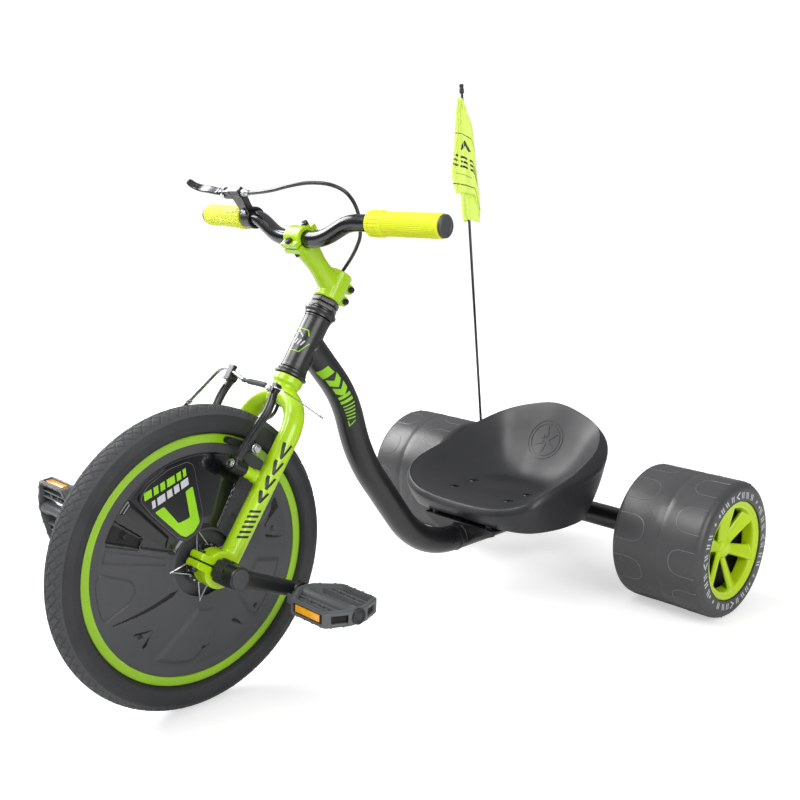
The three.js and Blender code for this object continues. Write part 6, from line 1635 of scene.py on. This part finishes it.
def makeTubeDecal():  # angular lime blocks that narrow to a run of thin bars
    blocks = [slanted(32, -4, 15, 20, -2.5), [(50, -9), (62, -9), (71, 1), (62, 11), (50, 11), (58, 1)],
              [(68, -10), (80, -10), (89, 0), (80, 10), (68, 10), (76, 0)], slanted(88, -10, 5, 20, 0),
              slanted(96.5, -10, 5, 20, 0)]
    blocks += [slanted(106 + k * 5.4, -10 + k * 1.6, 2.0, 19 - k * 1.6, 0) for k in range(5)]
    blocks.append([(133, -2), (135, -2), (142, 9), (132, 9), (132, 7.4), (139.4, 7.4)])
    inlay("tubeDecal", [[(u, v + 8) for u, v in block] for block in blocks], alongTube(mainPath), "limeInk",
          "frame")


makeTubeDecal()


def makeHeadBadge():
    def onSurface(u, v, up):  # u runs round from the front, v up the tube
        a, r = u / headLook["tube"], headLook["tube"] + 0.12 + up
        return (steerPlace @ np.array([r * math.sin(a), -r * math.cos(a), 313 + v, 1]))[:3]

    def hexagon(half, tall, wide):
        return [(-wide, tall), (wide, tall), (half, 0), (wide, -tall), (-wide, -tall), (-half, 0)]

    outer, inner = hexagon(22, 17, 13), hexagon(20.6, 15.8, 12.1)
    frame = [[outer[k], outer[(k + 1) % 6], inner[(k + 1) % 6], inner[k]] for k in range(6) if k != 1]
    frame.append([(13, 17), (17.2, 9.2), (15.9, 8.6), (12.1, 15.8)])
    inlay("badgeFrame", frame, onSurface, "limeInk", "frame", cell=2.5)
    marks = [[(x, -7), (x + 2.4, -7), (x + 5.4, 1), (x + 3, 1)] for x in (-11 + k * 5.2 for k in range(5))]
    marks.append([(-9, 5), (0, 11.5), (9, 5), (9, 7.4), (0, 13.9), (-9, 7.4)])
    inlay("badgeMarks", marks, onSurface, "silverInk", "frame", cell=2.5)
    wedge = [(-19, 1.2), (-12.4, 12.8), (-10.4, 12.8), (-15.8, 1.2)]
    inlay("badgeWedge", [wedge], onSurface, "limeInk", "frame", cell=2.5)


makeHeadBadge()


def makeAxleTube():
    t = frameLook
    place = rolling @ shift(0, *t["axle"])
    pin, end, wide, tubeEnd = t["pin"], t["pinEnd"], t["axleRadius"], t["axleHalf"]
    half = [(4, end), (pin - 0.8, end), (pin, end - 0.8), (pin, tubeEnd), (wide - 1.2, tubeEnd),
            (wide, tubeEnd - 1.2)]
    profile = [(r, -x) for r, x in half] + half[::-1]
    piece("rearAxleTube", latheX(profile, 72), "blackPowderCoat", "frame", "rear_axle_tube", place)
    beads = []
    ripple = 1.5 + 0.35 * np.cos(np.arange(26) * math.pi)
    for side in (-1, 1):  # weld beads where the bracket tube meets the axle
        bead = [(side * 21.6, 19.6 * math.sin(a), 19.6 * math.cos(a)) for a in np.linspace(-2.2, 0.9, 26)]
        beads.append(tube(bead, ripple, 8))
    piece("axleWelds", beads, "blackPowderCoat", "frame", place=place)


makeAxleTube()

# Seat bracket: a plate over two webs, welded round the main tube
bracketLook = {"low": 129.5, "top": 132.7, "front": 509, "rear": 647, "half": 77, "foot": (26, 26),
               "boltHole": 4.3, "tubeHole": 22.2, "studs": (59.5, 520)}


def makeBracket():
    t = bracketLook
    low, top, front, rear, half = t["low"], t["top"], t["front"], t["rear"], t["half"]
    thick, (footHalf, drop) = top - low, t["foot"]
    outline = rounded([(-half, front, 0), (half, front, 0), (half, rear, 0), (-half, rear, 0)], 5, 5)
    made = meshObject("seatBracket", prism([(p[0], p[1]) for p in outline], low, top), ["blackPowderCoat"],
                      rolling)
    wing = [(-half, low + 1.6), (half, low + 1.6), (half, low - 5), (footHalf, low - drop),
            (-footHalf, low - drop), (-half, low - 5)]
    webs = []
    for y in (front, rear - thick):
        points, faces = prism(wing, y, y + thick)
        webs.append((points[:, [0, 2, 1]], [tuple(reversed(f)) for f in faces]))
    joined(made, webs, "blackPowderCoat", rolling, "UNION")
    holes = [rod(t["tubeHole"], (0, front - 10, 107.5), (0, rear + 10, 108.4), 56, 0)]
    holes += [rod(t["boltHole"], (x, y, low - 8), (x, y, top + 8), 24, 0) for x, y in boltSpots]
    holes += [boxShape((x - 16, 530, low - 4), (x + 6, 546, top + 4)) for x in (-52, 52)]  # lightening slots
    joined(made, holes, "blackPowderCoat", rolling)
    bevelled(made, 0.6, 40)
    settle(smoothed(inOneFinish(made, "blackPowderCoat"), 40), "frame", "seat_bracket")
    out, y = t["studs"]
    spacers = []
    for x in (-out, out):
        spacers += [rod(6.5, (x, y, top - 0.4), (x, y, top + 7), 32, 0.5),
                    hexNut(5.2, (x, y, top + 6.8), (x, y, top + 9.5))]
    piece("bracketStuds", spacers, "blackElectroCoat", "frame", place=rolling, bevel=0.3)
    beads = []
    ripple = 1.3 + 0.3 * np.cos(np.arange(22) * math.pi)
    for side in (-1, 1):
        bead = [(side * 21.9 * math.sin(a), front - 0.6, 107.5 + 21.9 * math.cos(a))
                for a in np.linspace(0.35, 1.9, 22)]
        beads.append(tube(bead, ripple, 8))
    piece("bracketWelds", beads, "blackPowderCoat", "frame", place=rolling)


makeBracket()
print("frame done")

# Seat: blow-moulded pan with a rolled rim, hollow below
seatLook = {"front": 499, "rear": 770, "lip": 168, "back": 291, "half": 148, "wall": 4.5, "middle": 0.4,
            "flat": 0.45, "bowl": 1.7, "roll": 6, "bulge": 3, "backBulge": 8, "skirt": 127.5, "tuck": 19,
            "backTuck": 46, "backLift": 24, "frontLift": 55,
            "x": [0, 0.62, 0.9, 0.985, 1, 0.92, 0.7, 0.36, 0],
            "y": [0, 0.02, 0.1, 0.21, 0.5, 0.76, 0.93, 0.99, 1],
            "z": [0, 0.05, 0.165, 0.28, 0.43, 0.62, 0.8, 0.93, 1],
            "wells": ((8.0, 164.4, 300), (4.3, 150, 170))}
motifLook = {"centre": (0, 735, 231), "lean": (0.46, 0.888), "rings": (36, 30), "line": 1.3,
             "star": (3, 9, 26)}


def closedCurve(points, count):  # centripetal Catmull-Rom through a ring of points, evened out in length
    p = np.array(points, float)
    n = len(p)
    fine = []
    for i in range(n):
        a, b, c, d = p[i - 1], p[i], p[(i + 1) % n], p[(i + 2) % n]
        t1, t2, t3 = np.cumsum([np.linalg.norm(q - r) ** 0.5 for q, r in ((b, a), (c, b), (d, c))])
        for t in np.linspace(t1, t2, 40, endpoint=False):
            ab = a + (b - a) * t / t1
            bc = b + (c - b) * (t - t1) / (t2 - t1)
            cd = c + (d - c) * (t - t2) / (t3 - t2)
            abc = ab + (bc - ab) * t / t2
            bcd = bc + (cd - bc) * (t - t1) / (t3 - t1)
            fine.append(abc + (bcd - abc) * (t - t1) / (t2 - t1))
    fine = np.array(fine + [fine[0]])
    along = lengthsAlong(fine)
    want = np.linspace(0, along[-1], count, endpoint=False)
    return np.stack([np.interp(want, along, fine[:, k]) for k in range(3)], 1)


def seatSections(rim, wall):
    t = seatLook
    midY = t["front"] + (t["rear"] - t["front"]) * t["middle"]
    floorZ = t["lip"] - wall
    out = rim - (0, midY, 0)
    out[:, 2] = 0
    reach = np.linalg.norm(out, axis=1)[:, None]

    def floor(share):
        rise = max(0.0, share - t["flat"]) / (1 - t["flat"])
        share *= 1 - t["roll"] / t["half"]
        spot = np.array([0, midY, 0]) + out * share
        spot[:, 2] = floorZ + (rim[:, 2] - t["lip"]) * rise ** t["bowl"]
        return spot

    def inward(amount):
        return np.array([0, midY, 0]) + out * (1 - np.reshape(amount, (-1, 1)) / reach)

    def crest(side, drop):
        spot = inward(np.full(len(rim), side))
        spot[:, 2] = rim[:, 2] - drop - wall
        return spot

    back = np.clip((rim[:, 1] - midY) / (t["rear"] - midY), 0, None)
    front = np.clip(1 - rim[:, 1] / midY, 0, None)
    tuck = t["tuck"] + t["backTuck"] * back ** 3
    bulge = t["bulge"] + t["backBulge"] * np.minimum(1, back * 2)
    bottom = t["skirt"] + t["frontLift"] * front + t["backLift"] * back ** 4

    def skirt(share):
        spot = inward(wall - bulge + tuck * share ** 1.6)
        shoulder = t["roll"] + bulge
        spot[:, 2] = rim[:, 2] - shoulder + (bottom - rim[:, 2] + shoulder) * share
        return spot
    return floor, crest, skirt


def through(stations, steps):  # smooth rings between a few given ones, ring point by ring point
    rings = []
    for i in range(len(stations) - 1):
        around = (max(i - 1, 0), i, i + 1, min(i + 2, len(stations) - 1))
        a, b, c, d = (stations[k] for k in around)
        for t in np.linspace(0, 1, steps, endpoint=False):
            square, cube = 2 * a - 5 * b + 4 * c - d, 3 * b - a - 3 * c + d
            rings.append(0.5 * (2 * b + (c - a) * t + square * t * t + cube * t ** 3))
    return rings + [stations[-1]]


def makeSeat():
    t = seatLook
    half = [(x * t["half"], t["front"] + y * (t["rear"] - t["front"]), t["lip"] + z * (t["back"] - t["lip"]))
            for x, y, z in zip(t["x"], t["y"], t["z"])]
    rim = closedCurve(half + [(-x, y, z) for x, y, z in half[-2:0:-1]], 224)
    floor, crest, skirt = seatSections(rim, 0)
    outer = [floor(s) for s in np.linspace(0.02, 0.9, 26)]
    roll = t["roll"]
    outer += through([floor(0.93), crest(roll * 0.9, roll * 0.2), crest(roll * 0.25, 0.1), skirt(0),
                      skirt(0.14)], 6)
    outer += [skirt(s) for s in np.linspace(0.2, 1, 14)]
    floorIn, crestIn, skirtIn = seatSections(rim, t["wall"])
    inner = [skirtIn(s) for s in np.linspace(1, 0.1, 10)]
    inner += [crestIn(roll * 0.3 + t["wall"] * 0.5, 0)] + [floorIn(s) for s in np.linspace(0.86, 0.02, 16)]
    edge = [outer[-1] * 0.5 + inner[0] * 0.5 - (0, 0, 0.9)]
    made = meshObject("seatPan", loft(outer + edge + inner), ["grainedPolyethylene"], rolling)
    wells = [rod(radius, (x, y, low), (x, y, high), 40, 0)
             for x, y in boltSpots for radius, low, high in t["wells"]]
    joined(made, wells, "grainedPolyethylene", rolling)
    return settle(smoothed(inOneFinish(made, "grainedPolyethylene"), 42), "frame", "seat")


seatMade = makeSeat()


def makeSeatMotif():  # a raised ring with a plain star in it, where the moulding has its badge
    t = motifLook
    tree = BVHTree.FromPolygons([v.co.copy() for v in seatMade.data.vertices],
                                [tuple(p.vertices) for p in seatMade.data.polygons])
    centre = (rolling @ np.array([*t["centre"], 1]))[:3]
    back, rise = t["lean"]
    slope, normal = np.array([0, back, rise]), np.array([0, -rise, back])

    def onSurface(u, v, up):
        start = centre + np.array([1.0, 0, 0]) * u + slope * v + normal * 60
        hit = tree.ray_cast(Vector(start / 1000), Vector(-normal), 0.2)
        spot = np.array(hit[0]) * 1000 if hit[0] is not None else start - normal * 60
        return spot + normal * (up + 0.1)

    def spoke(radius, angle):
        return (radius * math.cos(angle), radius * math.sin(angle))

    outlines = []
    for radius in t["rings"]:
        for k in range(40):
            a, b, less = 2 * math.pi * k / 40, 2 * math.pi * (k + 1) / 40, radius - t["line"]
            outlines.append([spoke(radius, a), spoke(radius, b), spoke(less, b), spoke(less, a)])
    near, waist, tip = t["star"]
    for a in (math.pi / 6 + k * math.pi / 3 for k in range(6)):
        outlines.append([spoke(near, a), spoke(waist, a - 0.5), spoke(tip, a), spoke(waist, a + 0.5)])
    inlay("seatMotif", outlines, onSurface, "grainedPolyethylene", "frame", thick=0.55)


def makeSeatBolt(x, y, name):
    head = latheZ([(0.01, 164.7), (7.4, 164.7), (7.4, 167.3), (6.2, 168.3), (3.4, 168.3), (3.4, 166.4),
                   (0.01, 166.4)], 48,
                  closed=False)
    parts = [moved(head, shift(x, y)), rod(3.9, (x, y, 121), (x, y, 165), 24),
             hexNut(7.0, (x, y, 122.4), (x, y, 128.6)), rod(8.6, (x, y, 128.4), (x, y, 129.4), 32)]
    piece("seatBolt_" + name, parts, "blackElectroCoat", "frame", "seat_bolt_" + name, rolling)


makeSeatMotif()
for (x, y), name in zip(boltSpots[2:] + boltSpots[:2],
                        ("front_left", "rear_left", "front_right", "rear_right")):
    makeSeatBolt(x, y, name)
print("seat done")

# Rear wheels: smooth polyethylene drums with a lime spoked centre
rearLook = {"radius": 110.8, "inner": 202, "outer": 360.5, "core": 80.8, "tabs": 10, "spokes": 6,
            "spokeFrom": 10, "spokeTo": 73.5, "tab": [(26, -21), (52, -21), (60, -19.6), (66.5, -16),
                                                      (71, -10), (72.6, 0), (71, 10),
                                     (66.5, 16), (60, 19.6), (52, 21), (26, 21)]}


def makeRearWheel(name, side):
    t = rearLook
    body, place = "rear_wheel_" + name, rearPlace[name]
    out, inn, r = t["outer"], t["inner"], t["radius"]
    turn = [(t["core"], out - 0.6), (81.6, out), (96.2, out), (98.8, out - 0.25), (103.4, out - 1.5),
            (106.8, out - 3.6), (109.3, out - 6.9), (110.5, out - 10.2), (r, out - 13.5)]
    turn += [(r, out - 62), (r - 0.1, out - 71), (r - 0.9, out - 73.5), (r - 0.9, out - 75.5),
             (r - 0.1, out - 78), (r, out - 87)]
    turn += [(r, inn + 11), (110.3, inn + 7.6), (108.9, inn + 4.6), (106.4, inn + 2.2), (103, inn + 0.7),
             (98.8, inn), (95, inn + 1.2), (92.8, inn + 4), (104.8, inn + 18), (104.8, out - 18),
             (86, out - 6), (86, inn + 4), (10.6, inn + 4), (10.6, inn + 48), (20, inn + 48),
             (20.6, inn + 12.5), (22, inn + 10), (78, inn + 10), (t["core"], inn + 12)]
    drum = latheX(turn, 144)
    piece("rearDrum_" + name, drum, "waxyPolyethylene", body, "rear_drum_" + name, place, sharp=36)
    for row, (start, way, phase, stretch) in {"Outer": (out, -1, 0, 1), "Inner": (inn, 1, 0.5, 1.08)}.items():
        line = [(start + way * (a - 20 if a > 26 else 8) * stretch, r * math.cos(b / r) - 0.42,
                 r * math.sin(b / r))
                for a, b in t["tab"]]
        yaw = 0 if side > 0 else math.pi
        spots = [(place[:3, 3], ((k + phase) * 2 * math.pi / t["tabs"], 0, yaw)) for k in range(t["tabs"])]
        # the outline tubes take the lightened finish, a painted highlight on the tab edges
        repeated("drumTabs" + row + "_" + name, tube(line, 0.95, 6), spots, "tabEdgePaintedHighlight", body)
    marks = []
    for k in range(36):
        a, lean = k * 10, 2.2 if k % 2 else 0.6
        if k % 9 == 0:  # arrowheads
            corners = [(85.5, -2.6), (90, 2.6), (94.5, -2.6), (96.4, -1.4), (90, 5.2), (83.8, -1.4)]
            marks.append([at(radius, a + b) for radius, b in corners])
        elif k % 9 in (4, 5):  # diamonds
            marks.append([at(radius, a + b)
                          for radius, b in ((86.4, -1.7), (90, -3.3), (93.6, -1.7), (90, 0.4))])
        else:  # pairs of bars
            for b in (a - 1.1, a + 2.0):
                marks.append([at(85, b), at(95, b + lean), at(95, b + 1.5 + lean), at(85, b + 1.5)])

    def onFace(u, v, up):
        return (place @ np.array([out + 0.1 + up, u, v, 1]))[:3]
    inlay("sidewallMarks_" + name, marks, onFace, "silverInk", body, cell=4)
    makeRearCentre(name, body, place)


def makeRearCentre(name, body, place):
    t = rearLook
    face, boss = t["outer"] - 2, t["outer"] - 20
    ring = [(67.6, -24), (80.3, -24), (80.3, -0.6), (79.4, 0), (77, 0.3), (74.6, -0.6), (72.6, -2.6),
            (69.6, -2.8), (68.2, -4), (67.6, -7)]
    cap = [(0.01, face - 130), (17, face - 130), (17, boss - 4), (15.8, boss + 1.5), (12.6, boss + 5),
           (8, boss + 7.4), (3, boss + 8.2), (0.01, boss + 8.3)]
    shapes = [latheX([(r, face + x) for r, x in ring], 96), latheX(cap, 64, closed=False)]
    for k in range(t["spokes"]):
        rings = []
        for share in np.linspace(0, 1, 12):
            r = t["spokeFrom"] + (t["spokeTo"] - t["spokeFrom"]) * share
            half = 8.4 + 5.0 * share ** 1.3
            x = boss - 5 + (face - 8 - (boss - 5)) * share ** 1.1
            twist = math.radians(34 - 12 * share)
            section = []
            for u, w in (squircle(q, 20, 0.35, 0.5) for q in range(20)):
                u, w = u * half, w * 4.6
                section.append((x + w * math.cos(twist) + u * math.sin(twist),
                                u * math.cos(twist) - w * math.sin(twist), r))
            rings.append(section)
        shapes.append(moved(loft(rings), turnAbout("X", k * 60 + 12)))
    fusedPiece("rearCentre_" + name, shapes, "limeNylon", body, "rear_wheel_centre_" + name, place, 0.95, 3,
               [rod(10.6, (190, 0, 0), (325.6, 0, 0), 48, 0)])
    seam = latheX([(81.0, face - 1.2), (82.2, face - 1.2), (82.2, face + 2.3), (81.0, face + 2.3)], 96)
    piece("centreSeat_" + name, seam, "glossAbs", body, place=place)


for name, side in sides.items():
    makeRearWheel(name, side)
print("rear wheels done")

# Flag: thin polyester on a glass-fibre pole, hung in folds by a cloth simulation
flagLook = {"foot": (-166, 134), "top": (-236, 846), "y": 762, "high": 826, "long": 221, "facing": 46,
            "poleRadius": 2.4, "down": [0, 0.08, 0.16, 0.3, 0.45, 0.6, 0.72, 0.8, 0.9, 1],
            "near": [0.36, 0.52, 0.66, 0.8, 0.92, 1.02, 1.1, 1.12, 1.06, 0.96],
            "far": [0.3, 0.66, 0.8, 0.86, 0.9, 0.93, 0.96, 0.98, 1.0, 0.94], "half": 24.5, "rows": 84,
            "cuts": (12, 34, 68, 80), "held": 9, "frames": 10, "sag": 4, "poleClear": 3.4, "sheet": 0.3}
# glow is the cloth's emission strength: a painted glow
clothLook = {"thread": 0.45, "light": "#c9de70", "shade": "#bed650", "glow": 0.3, "rough": 0.82, "sheen": 0.2}


def polePoint(z):
    t = flagLook
    share = (z - t["foot"][1]) / (t["top"][1] - t["foot"][1])
    return np.array([t["foot"][0] + (t["top"][0] - t["foot"][0]) * share, t["y"], z])


def makeClothFinish():
    t = clothLook
    material, tree, shader = newMaterial("limePolyesterCloth")  # plain weave; a painted glow in the cloth's own colour stands in for light shining through
    flat = addNode(tree, "ShaderNodeUVMap", {"uv_map": "flat"})  # metres on the flat cloth
    scale = 1 / (t["thread"] / 1000) / 20
    bands = [addNode(tree, "ShaderNodeTexWave", {"bands_direction": way, "Scale": scale, "Distortion": 0.6,
                                                 "Detail": 1.0},
                     {"Vector": (flat, "UV")}) for way in ("X", "Y")]
    weave = addNode(tree, "ShaderNodeMath", {"operation": "ADD"},
                    {0: (bands[0], "Fac"), 1: (bands[1], "Fac")})
    bump = addNode(tree, "ShaderNodeBump", {"Strength": 0.08, "Distance": 0.0002}, {"Height": (weave, 0)})
    place = addNode(tree, "ShaderNodeTexCoord")
    cloud = addNode(tree, "ShaderNodeTexNoise", {"Scale": 40.0, "Detail": 3.0}, {"Vector": (place, "Object")})
    mix = addNode(tree, "ShaderNodeMix", {"data_type": "RGBA", 6: linear(t["light"]), 7: linear(t["shade"])},
                  {0: (cloud, "Fac")})
    for node, index, key in ((bump, 0, "Normal"), (mix, 2, "Base Color"), (mix, 2, "Emission Color")):
        tree.links.new(node.outputs[index], shader.inputs[key])
    # emission in the base colour: painted glow
    setInputs(shader, {"Emission Strength": t["glow"], "Roughness": t["rough"], "Sheen Weight": t["sheen"]})
    return material


finishes["limePolyesterCloth"] = makeClothFinish()


def makeFlagSheet():
    t = flagLook
    a = math.radians(t["facing"])
    across, through = np.array([math.cos(a), math.sin(a), 0]), np.array([-math.sin(a), math.cos(a), 0])
    # Cuts are the columns at the hem's end, the right fold, the left fold and the free edge
    rows, cuts = t["rows"], t["cuts"]
    grid = np.zeros((rows, cuts[-1] + 1, 3))
    for j in range(rows):
        s = j / (rows - 1)
        near, far = (np.interp(s, t["down"], t[k]) * t["half"] for k in ("near", "far"))
        wave = math.sin(5.0 * s + 0.6)
        tuck, turn = -min(13.5, near), (far, -6.0)
        runs = [[(2.2, 3.2), (-2.6, 2.9), (-3.6, -0.6), (-min(12.6, near), -2.2), (tuck, -4.0)],
                [(tuck, -4.0), (-min(12, near * 0.8), -4.8), (0, -4.5 - 0.3 * wave),
                 (far * 0.6, -4.2 + wave * 0.5), (far * 0.97, -4.9), turn],
                [turn, (far * 0.96, -7.0), (far * 0.5, -7.6 - wave * 0.5), (0, -7.9 + 0.7 * wave),
                 (-near * 0.5, -7.0 - 0.8 * wave), (-near * 0.94, -5.7), (-near, -3.6)],
                [(-near, -3.6), (-near * 0.93, -0.6), (-near * 0.6, 2.6 + 0.4 * wave), (-near * 0.3, 5.0)]]
        line = []
        for run, first, last in zip(runs, (0,) + cuts[:-1], cuts):
            path = smoothPath([(p, q, 0) for p, q in run], 80)
            along = lengthsAlong(path)
            even = np.linspace(0, along[-1], last - first + 1)[1 if line else 0:]
            line += [(np.interp(v, along, path[:, 0]), np.interp(v, along, path[:, 1])) for v in even]
        for i, (p, q) in enumerate(line):
            short = 1 - 0.225 * ease(cuts[1] - 1, cuts[1] + 5, i)  # the outer fold is cut short
            spread = max(0.3, float(np.interp(s, t["down"], t["far"])))
            fall = 20 * max(0, p) / t["half"] / spread * (1 - s) ** 2
            spot = polePoint(t["high"] - t["long"] * s * short) + across * p + through * q
            grid[j, i] = spot - (0, 0, 0.12 * abs(p) * s + fall)
    return grid


def simulateFlag(grid):  # hem held to the pole, the rest falls for a short time under its own weight
    t = flagLook
    rows, columns = grid.shape[:2]
    flat = np.concatenate([grid.reshape(-1, 3), np.ones((rows * columns, 1))], 1)
    points = (flat @ rolling.T)[:, :3] / 1000
    quads = [(j * columns + i, (j + 1) * columns + i, (j + 1) * columns + i + 1, j * columns + i + 1)
             for j in range(rows - 1) for i in range(columns - 1)]
    mesh = bpy.data.meshes.new("flagCloth")
    mesh.from_pydata([tuple(p) for p in points], [], quads)
    made = inScene("flagCloth", mesh)
    held = made.vertex_groups.new(name="held")
    held.add([j * columns + i for j in range(rows) for i in range(t["held"])], 1.0, "REPLACE")
    held.add(list(range(2 * columns)), 1.0, "REPLACE")
    cloth = made.modifiers.new("cloth", "CLOTH")
    for key, value in {"quality": 4, "mass": 0.08, "tension_stiffness": 20, "compression_stiffness": 20,
                       "bending_stiffness": 0.8, "vertex_group_mass": "held"}.items():
        setattr(cloth.settings, key, value)
    touch = cloth.collision_settings
    touch.use_self_collision, touch.self_distance_min, touch.collision_quality = True, 0.0007, 3
    cloth.point_cache.frame_start, cloth.point_cache.frame_end = 1, t["frames"]
    for frame in range(1, t["frames"] + 1):
        scene.frame_set(frame)
    shape = np.array([v.co for v in made.evaluated_get(bpy.context.evaluated_depsgraph_get()).data.vertices])
    made.modifiers.remove(cloth)
    scene.frame_set(1)
    fallen = shape - points
    far = np.linalg.norm(fallen, axis=1)[:, None]
    shape = points + fallen * np.minimum(1, t["sag"] / 1000 / np.maximum(far, 1e-9))
    foot, top = ((rolling @ (*polePoint(z), 1))[:3] / 1000 for z in (100, 900))
    way = (top - foot) / np.linalg.norm(top - foot)
    off = shape - foot - np.outer((shape - foot) @ way, way)
    gap = np.linalg.norm(off, axis=1)[:, None]
    shape += off / gap * np.maximum(0, t["poleClear"] / 1000 - gap)  # nothing may sink into the pole
    made.data.vertices.foreach_set("co", shape.ravel())
    made.data.update()
    return made


def makeFlag():
    t = flagLook
    grid = makeFlagSheet()
    rows, columns = grid.shape[:2]
    made = simulateFlag(grid)
    final = np.array([v.co for v in made.data.vertices]).reshape(rows, columns, 3) * 1000
    across, lengths = lengthsAlong(final[rows // 2]), lengthsAlong(final[:, 4])
    flatMap = made.data.uv_layers.new(name="flat")
    wide, tall = across[-1] / 1000, lengths[-1] / 1000
    for poly in made.data.polygons:
        for loop, vertex in zip(poly.loop_indices, poly.vertices):
            j, i = divmod(vertex, columns)
            flatMap.data[loop].uv = (i / (columns - 1) * wide, j / (rows - 1) * tall)
    shell = made.modifiers.new("cloth", "SOLIDIFY")
    shell.thickness, shell.offset = t["sheet"] / 1000, 0
    inOneFinish(baked(made), "limePolyesterCloth")
    for p in made.data.polygons:
        p.use_smooth = True
    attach(made, "frame")
    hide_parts("flag")
    makeFlagPrint(final, across, lengths[-1])


# Print on the wide face between the folds: an open frame, an arrowhead and rows of slanted bars
printLook = {"top": 84, "low": 204, "corner": 0.08, "stroke": 2.2, "lift": 0.32, "middle": 0.42,
             "bars": ((0.1, 0.28, 9, 5), (0.36, 0.62, 4, 0), (0.7, 0.92, -2, -6))}


def makeFlagPrint(final, across, tall):
    t = printLook
    rows, columns = final.shape[:2]
    rightFold, leftFold = flagLook["cuts"][1:3]
    normals = np.cross(np.gradient(final, axis=0), np.gradient(final, axis=1))
    normals /= np.linalg.norm(normals, axis=2)[:, :, None]
    view = (rolling @ np.array([0.7007, -0.6814, 0.2113, 0]))[:3]
    outward = 1 if (normals[rows // 2, (rightFold + leftFold) // 2] @ view) > 0 else -1

    def sample(field, u, v):
        x, y = min(max(u, 0), 1) * (columns - 1), min(max(v, 0), 1) * (rows - 1)
        i, j = min(int(x), columns - 2), min(int(y), rows - 2)
        fx, fy = x - i, y - j
        upper, under = (field[k, i] * (1 - fx) + field[k, i + 1] * fx for k in (j, j + 1))
        return upper * (1 - fy) + under * fy

    def onSurface(u, v, up):  # u in mm across the flat cloth, v in mm down from the top
        share, down = u / across[-1], -v / tall
        return sample(final, share, down) + outward * sample(normals, share, down) * (up + t["lift"])

    def face(x, y):  # x from 0 at the right fold to 1 at the left fold, y in mm down
        return (across[rightFold] + (across[leftFold] - across[rightFold]) * x, -y)

    def stroke(a, b, width):
        a, b = np.array(a, float), np.array(b, float)
        way = b - a
        side = np.array([-way[1], way[0]]) / np.linalg.norm(way) * width / 2
        return [tuple(a - side), tuple(b - side), tuple(b + side), tuple(a + side)]

    top, low, corner = t["top"], t["low"], t["corner"]  # the rows of the short fold lie closer together
    route = [face(1.0, top - 4), face(corner, top + 2), face(0.0, top + 14), face(0.0, low - 8),
             face(corner, low + 4), face(1.0, low - 6)]
    lines = [stroke(a, b, t["stroke"]) for a, b in zip(route, route[1:])]
    x, y = t["middle"], top + 26
    lines.append([face(x - 0.2, y + 10), face(x, y - 14), face(x + 0.2, y + 10), face(x + 0.11, y + 12),
                  face(x, y - 1), face(x - 0.11, y + 12)])
    for level in (y + 24 + n * 11 for n in range(3)):
        for start, end, down, up in t["bars"]:
            lines.append([face(start, level + down), face(end, level + up), face(end, level + up + 5),
                          face(start, level + down + 5)])
    lines.append(stroke(face(0.25, low - 20), face(0.8, low - 30), 1.1))
    inlay("flagPrint", lines, onSurface, "blackInk", "frame", cell=2.5, thick=0.1)


def makePole():
    foot, top = polePoint(146.3), polePoint(846)
    piece("flagPole", rod(flagLook["poleRadius"], foot, top, 24, 0.4), "glossAbs", "frame", "flag_pole",
          rolling)
    way = (top - foot) / np.linalg.norm(top - foot)
    side = np.cross(way, (0, 1, 0))
    side /= np.linalg.norm(side)
    capPlace = rolling @ basis(side, np.cross(way, side), way, polePoint(835.1))
    cap = latheZ([(2.7, 0), (4.2, 0), (4.2, 7.2), (3.5, 8.2), (3.5, 11.4), (4.0, 12), (4.0, 14.8),
                  (3.2, 15.9), (0.01, 16.1), (0.01, 11.2), (2.7, 11.2)], 40)
    piece("flagPoleCap", cap, "darkNylon", "frame", "flag_pole_cap", capPlace)
    (y, z), out = frameLook["axle"], flagLook["foot"][0]
    parts = [rod(23.4, (out - 10, y, z), (out + 10, y, z), 72, 1.6),
             rod(7, polePoint(131), polePoint(180), 40, 1.2),
             boxShape((out - 6, y - 6, z - 32.4), (out + 6, y + 6, z - 20))]
    bores = [rod(19.3, (out - 24, y, z), (out + 26, y, z), 64, 0),
             rod(2.8, polePoint(146), polePoint(190), 24, 0)]
    fusedPiece("flagSocket", parts, "darkNylon", "frame", "flag_socket", rolling, 0.8, 3, bores)
    screw = [rod(4.2, (out, y + 5.8, z - 27), (out, y + 8.6, z - 27), 28, 0.7),
             hexNut(4.4, (out, y - 8.4, z - 27), (out, y - 5.8, z - 27))]
    piece("socketScrew", screw, "zincSteel", "frame", place=rolling)


makePole()
makeFlag()
print("flag done")
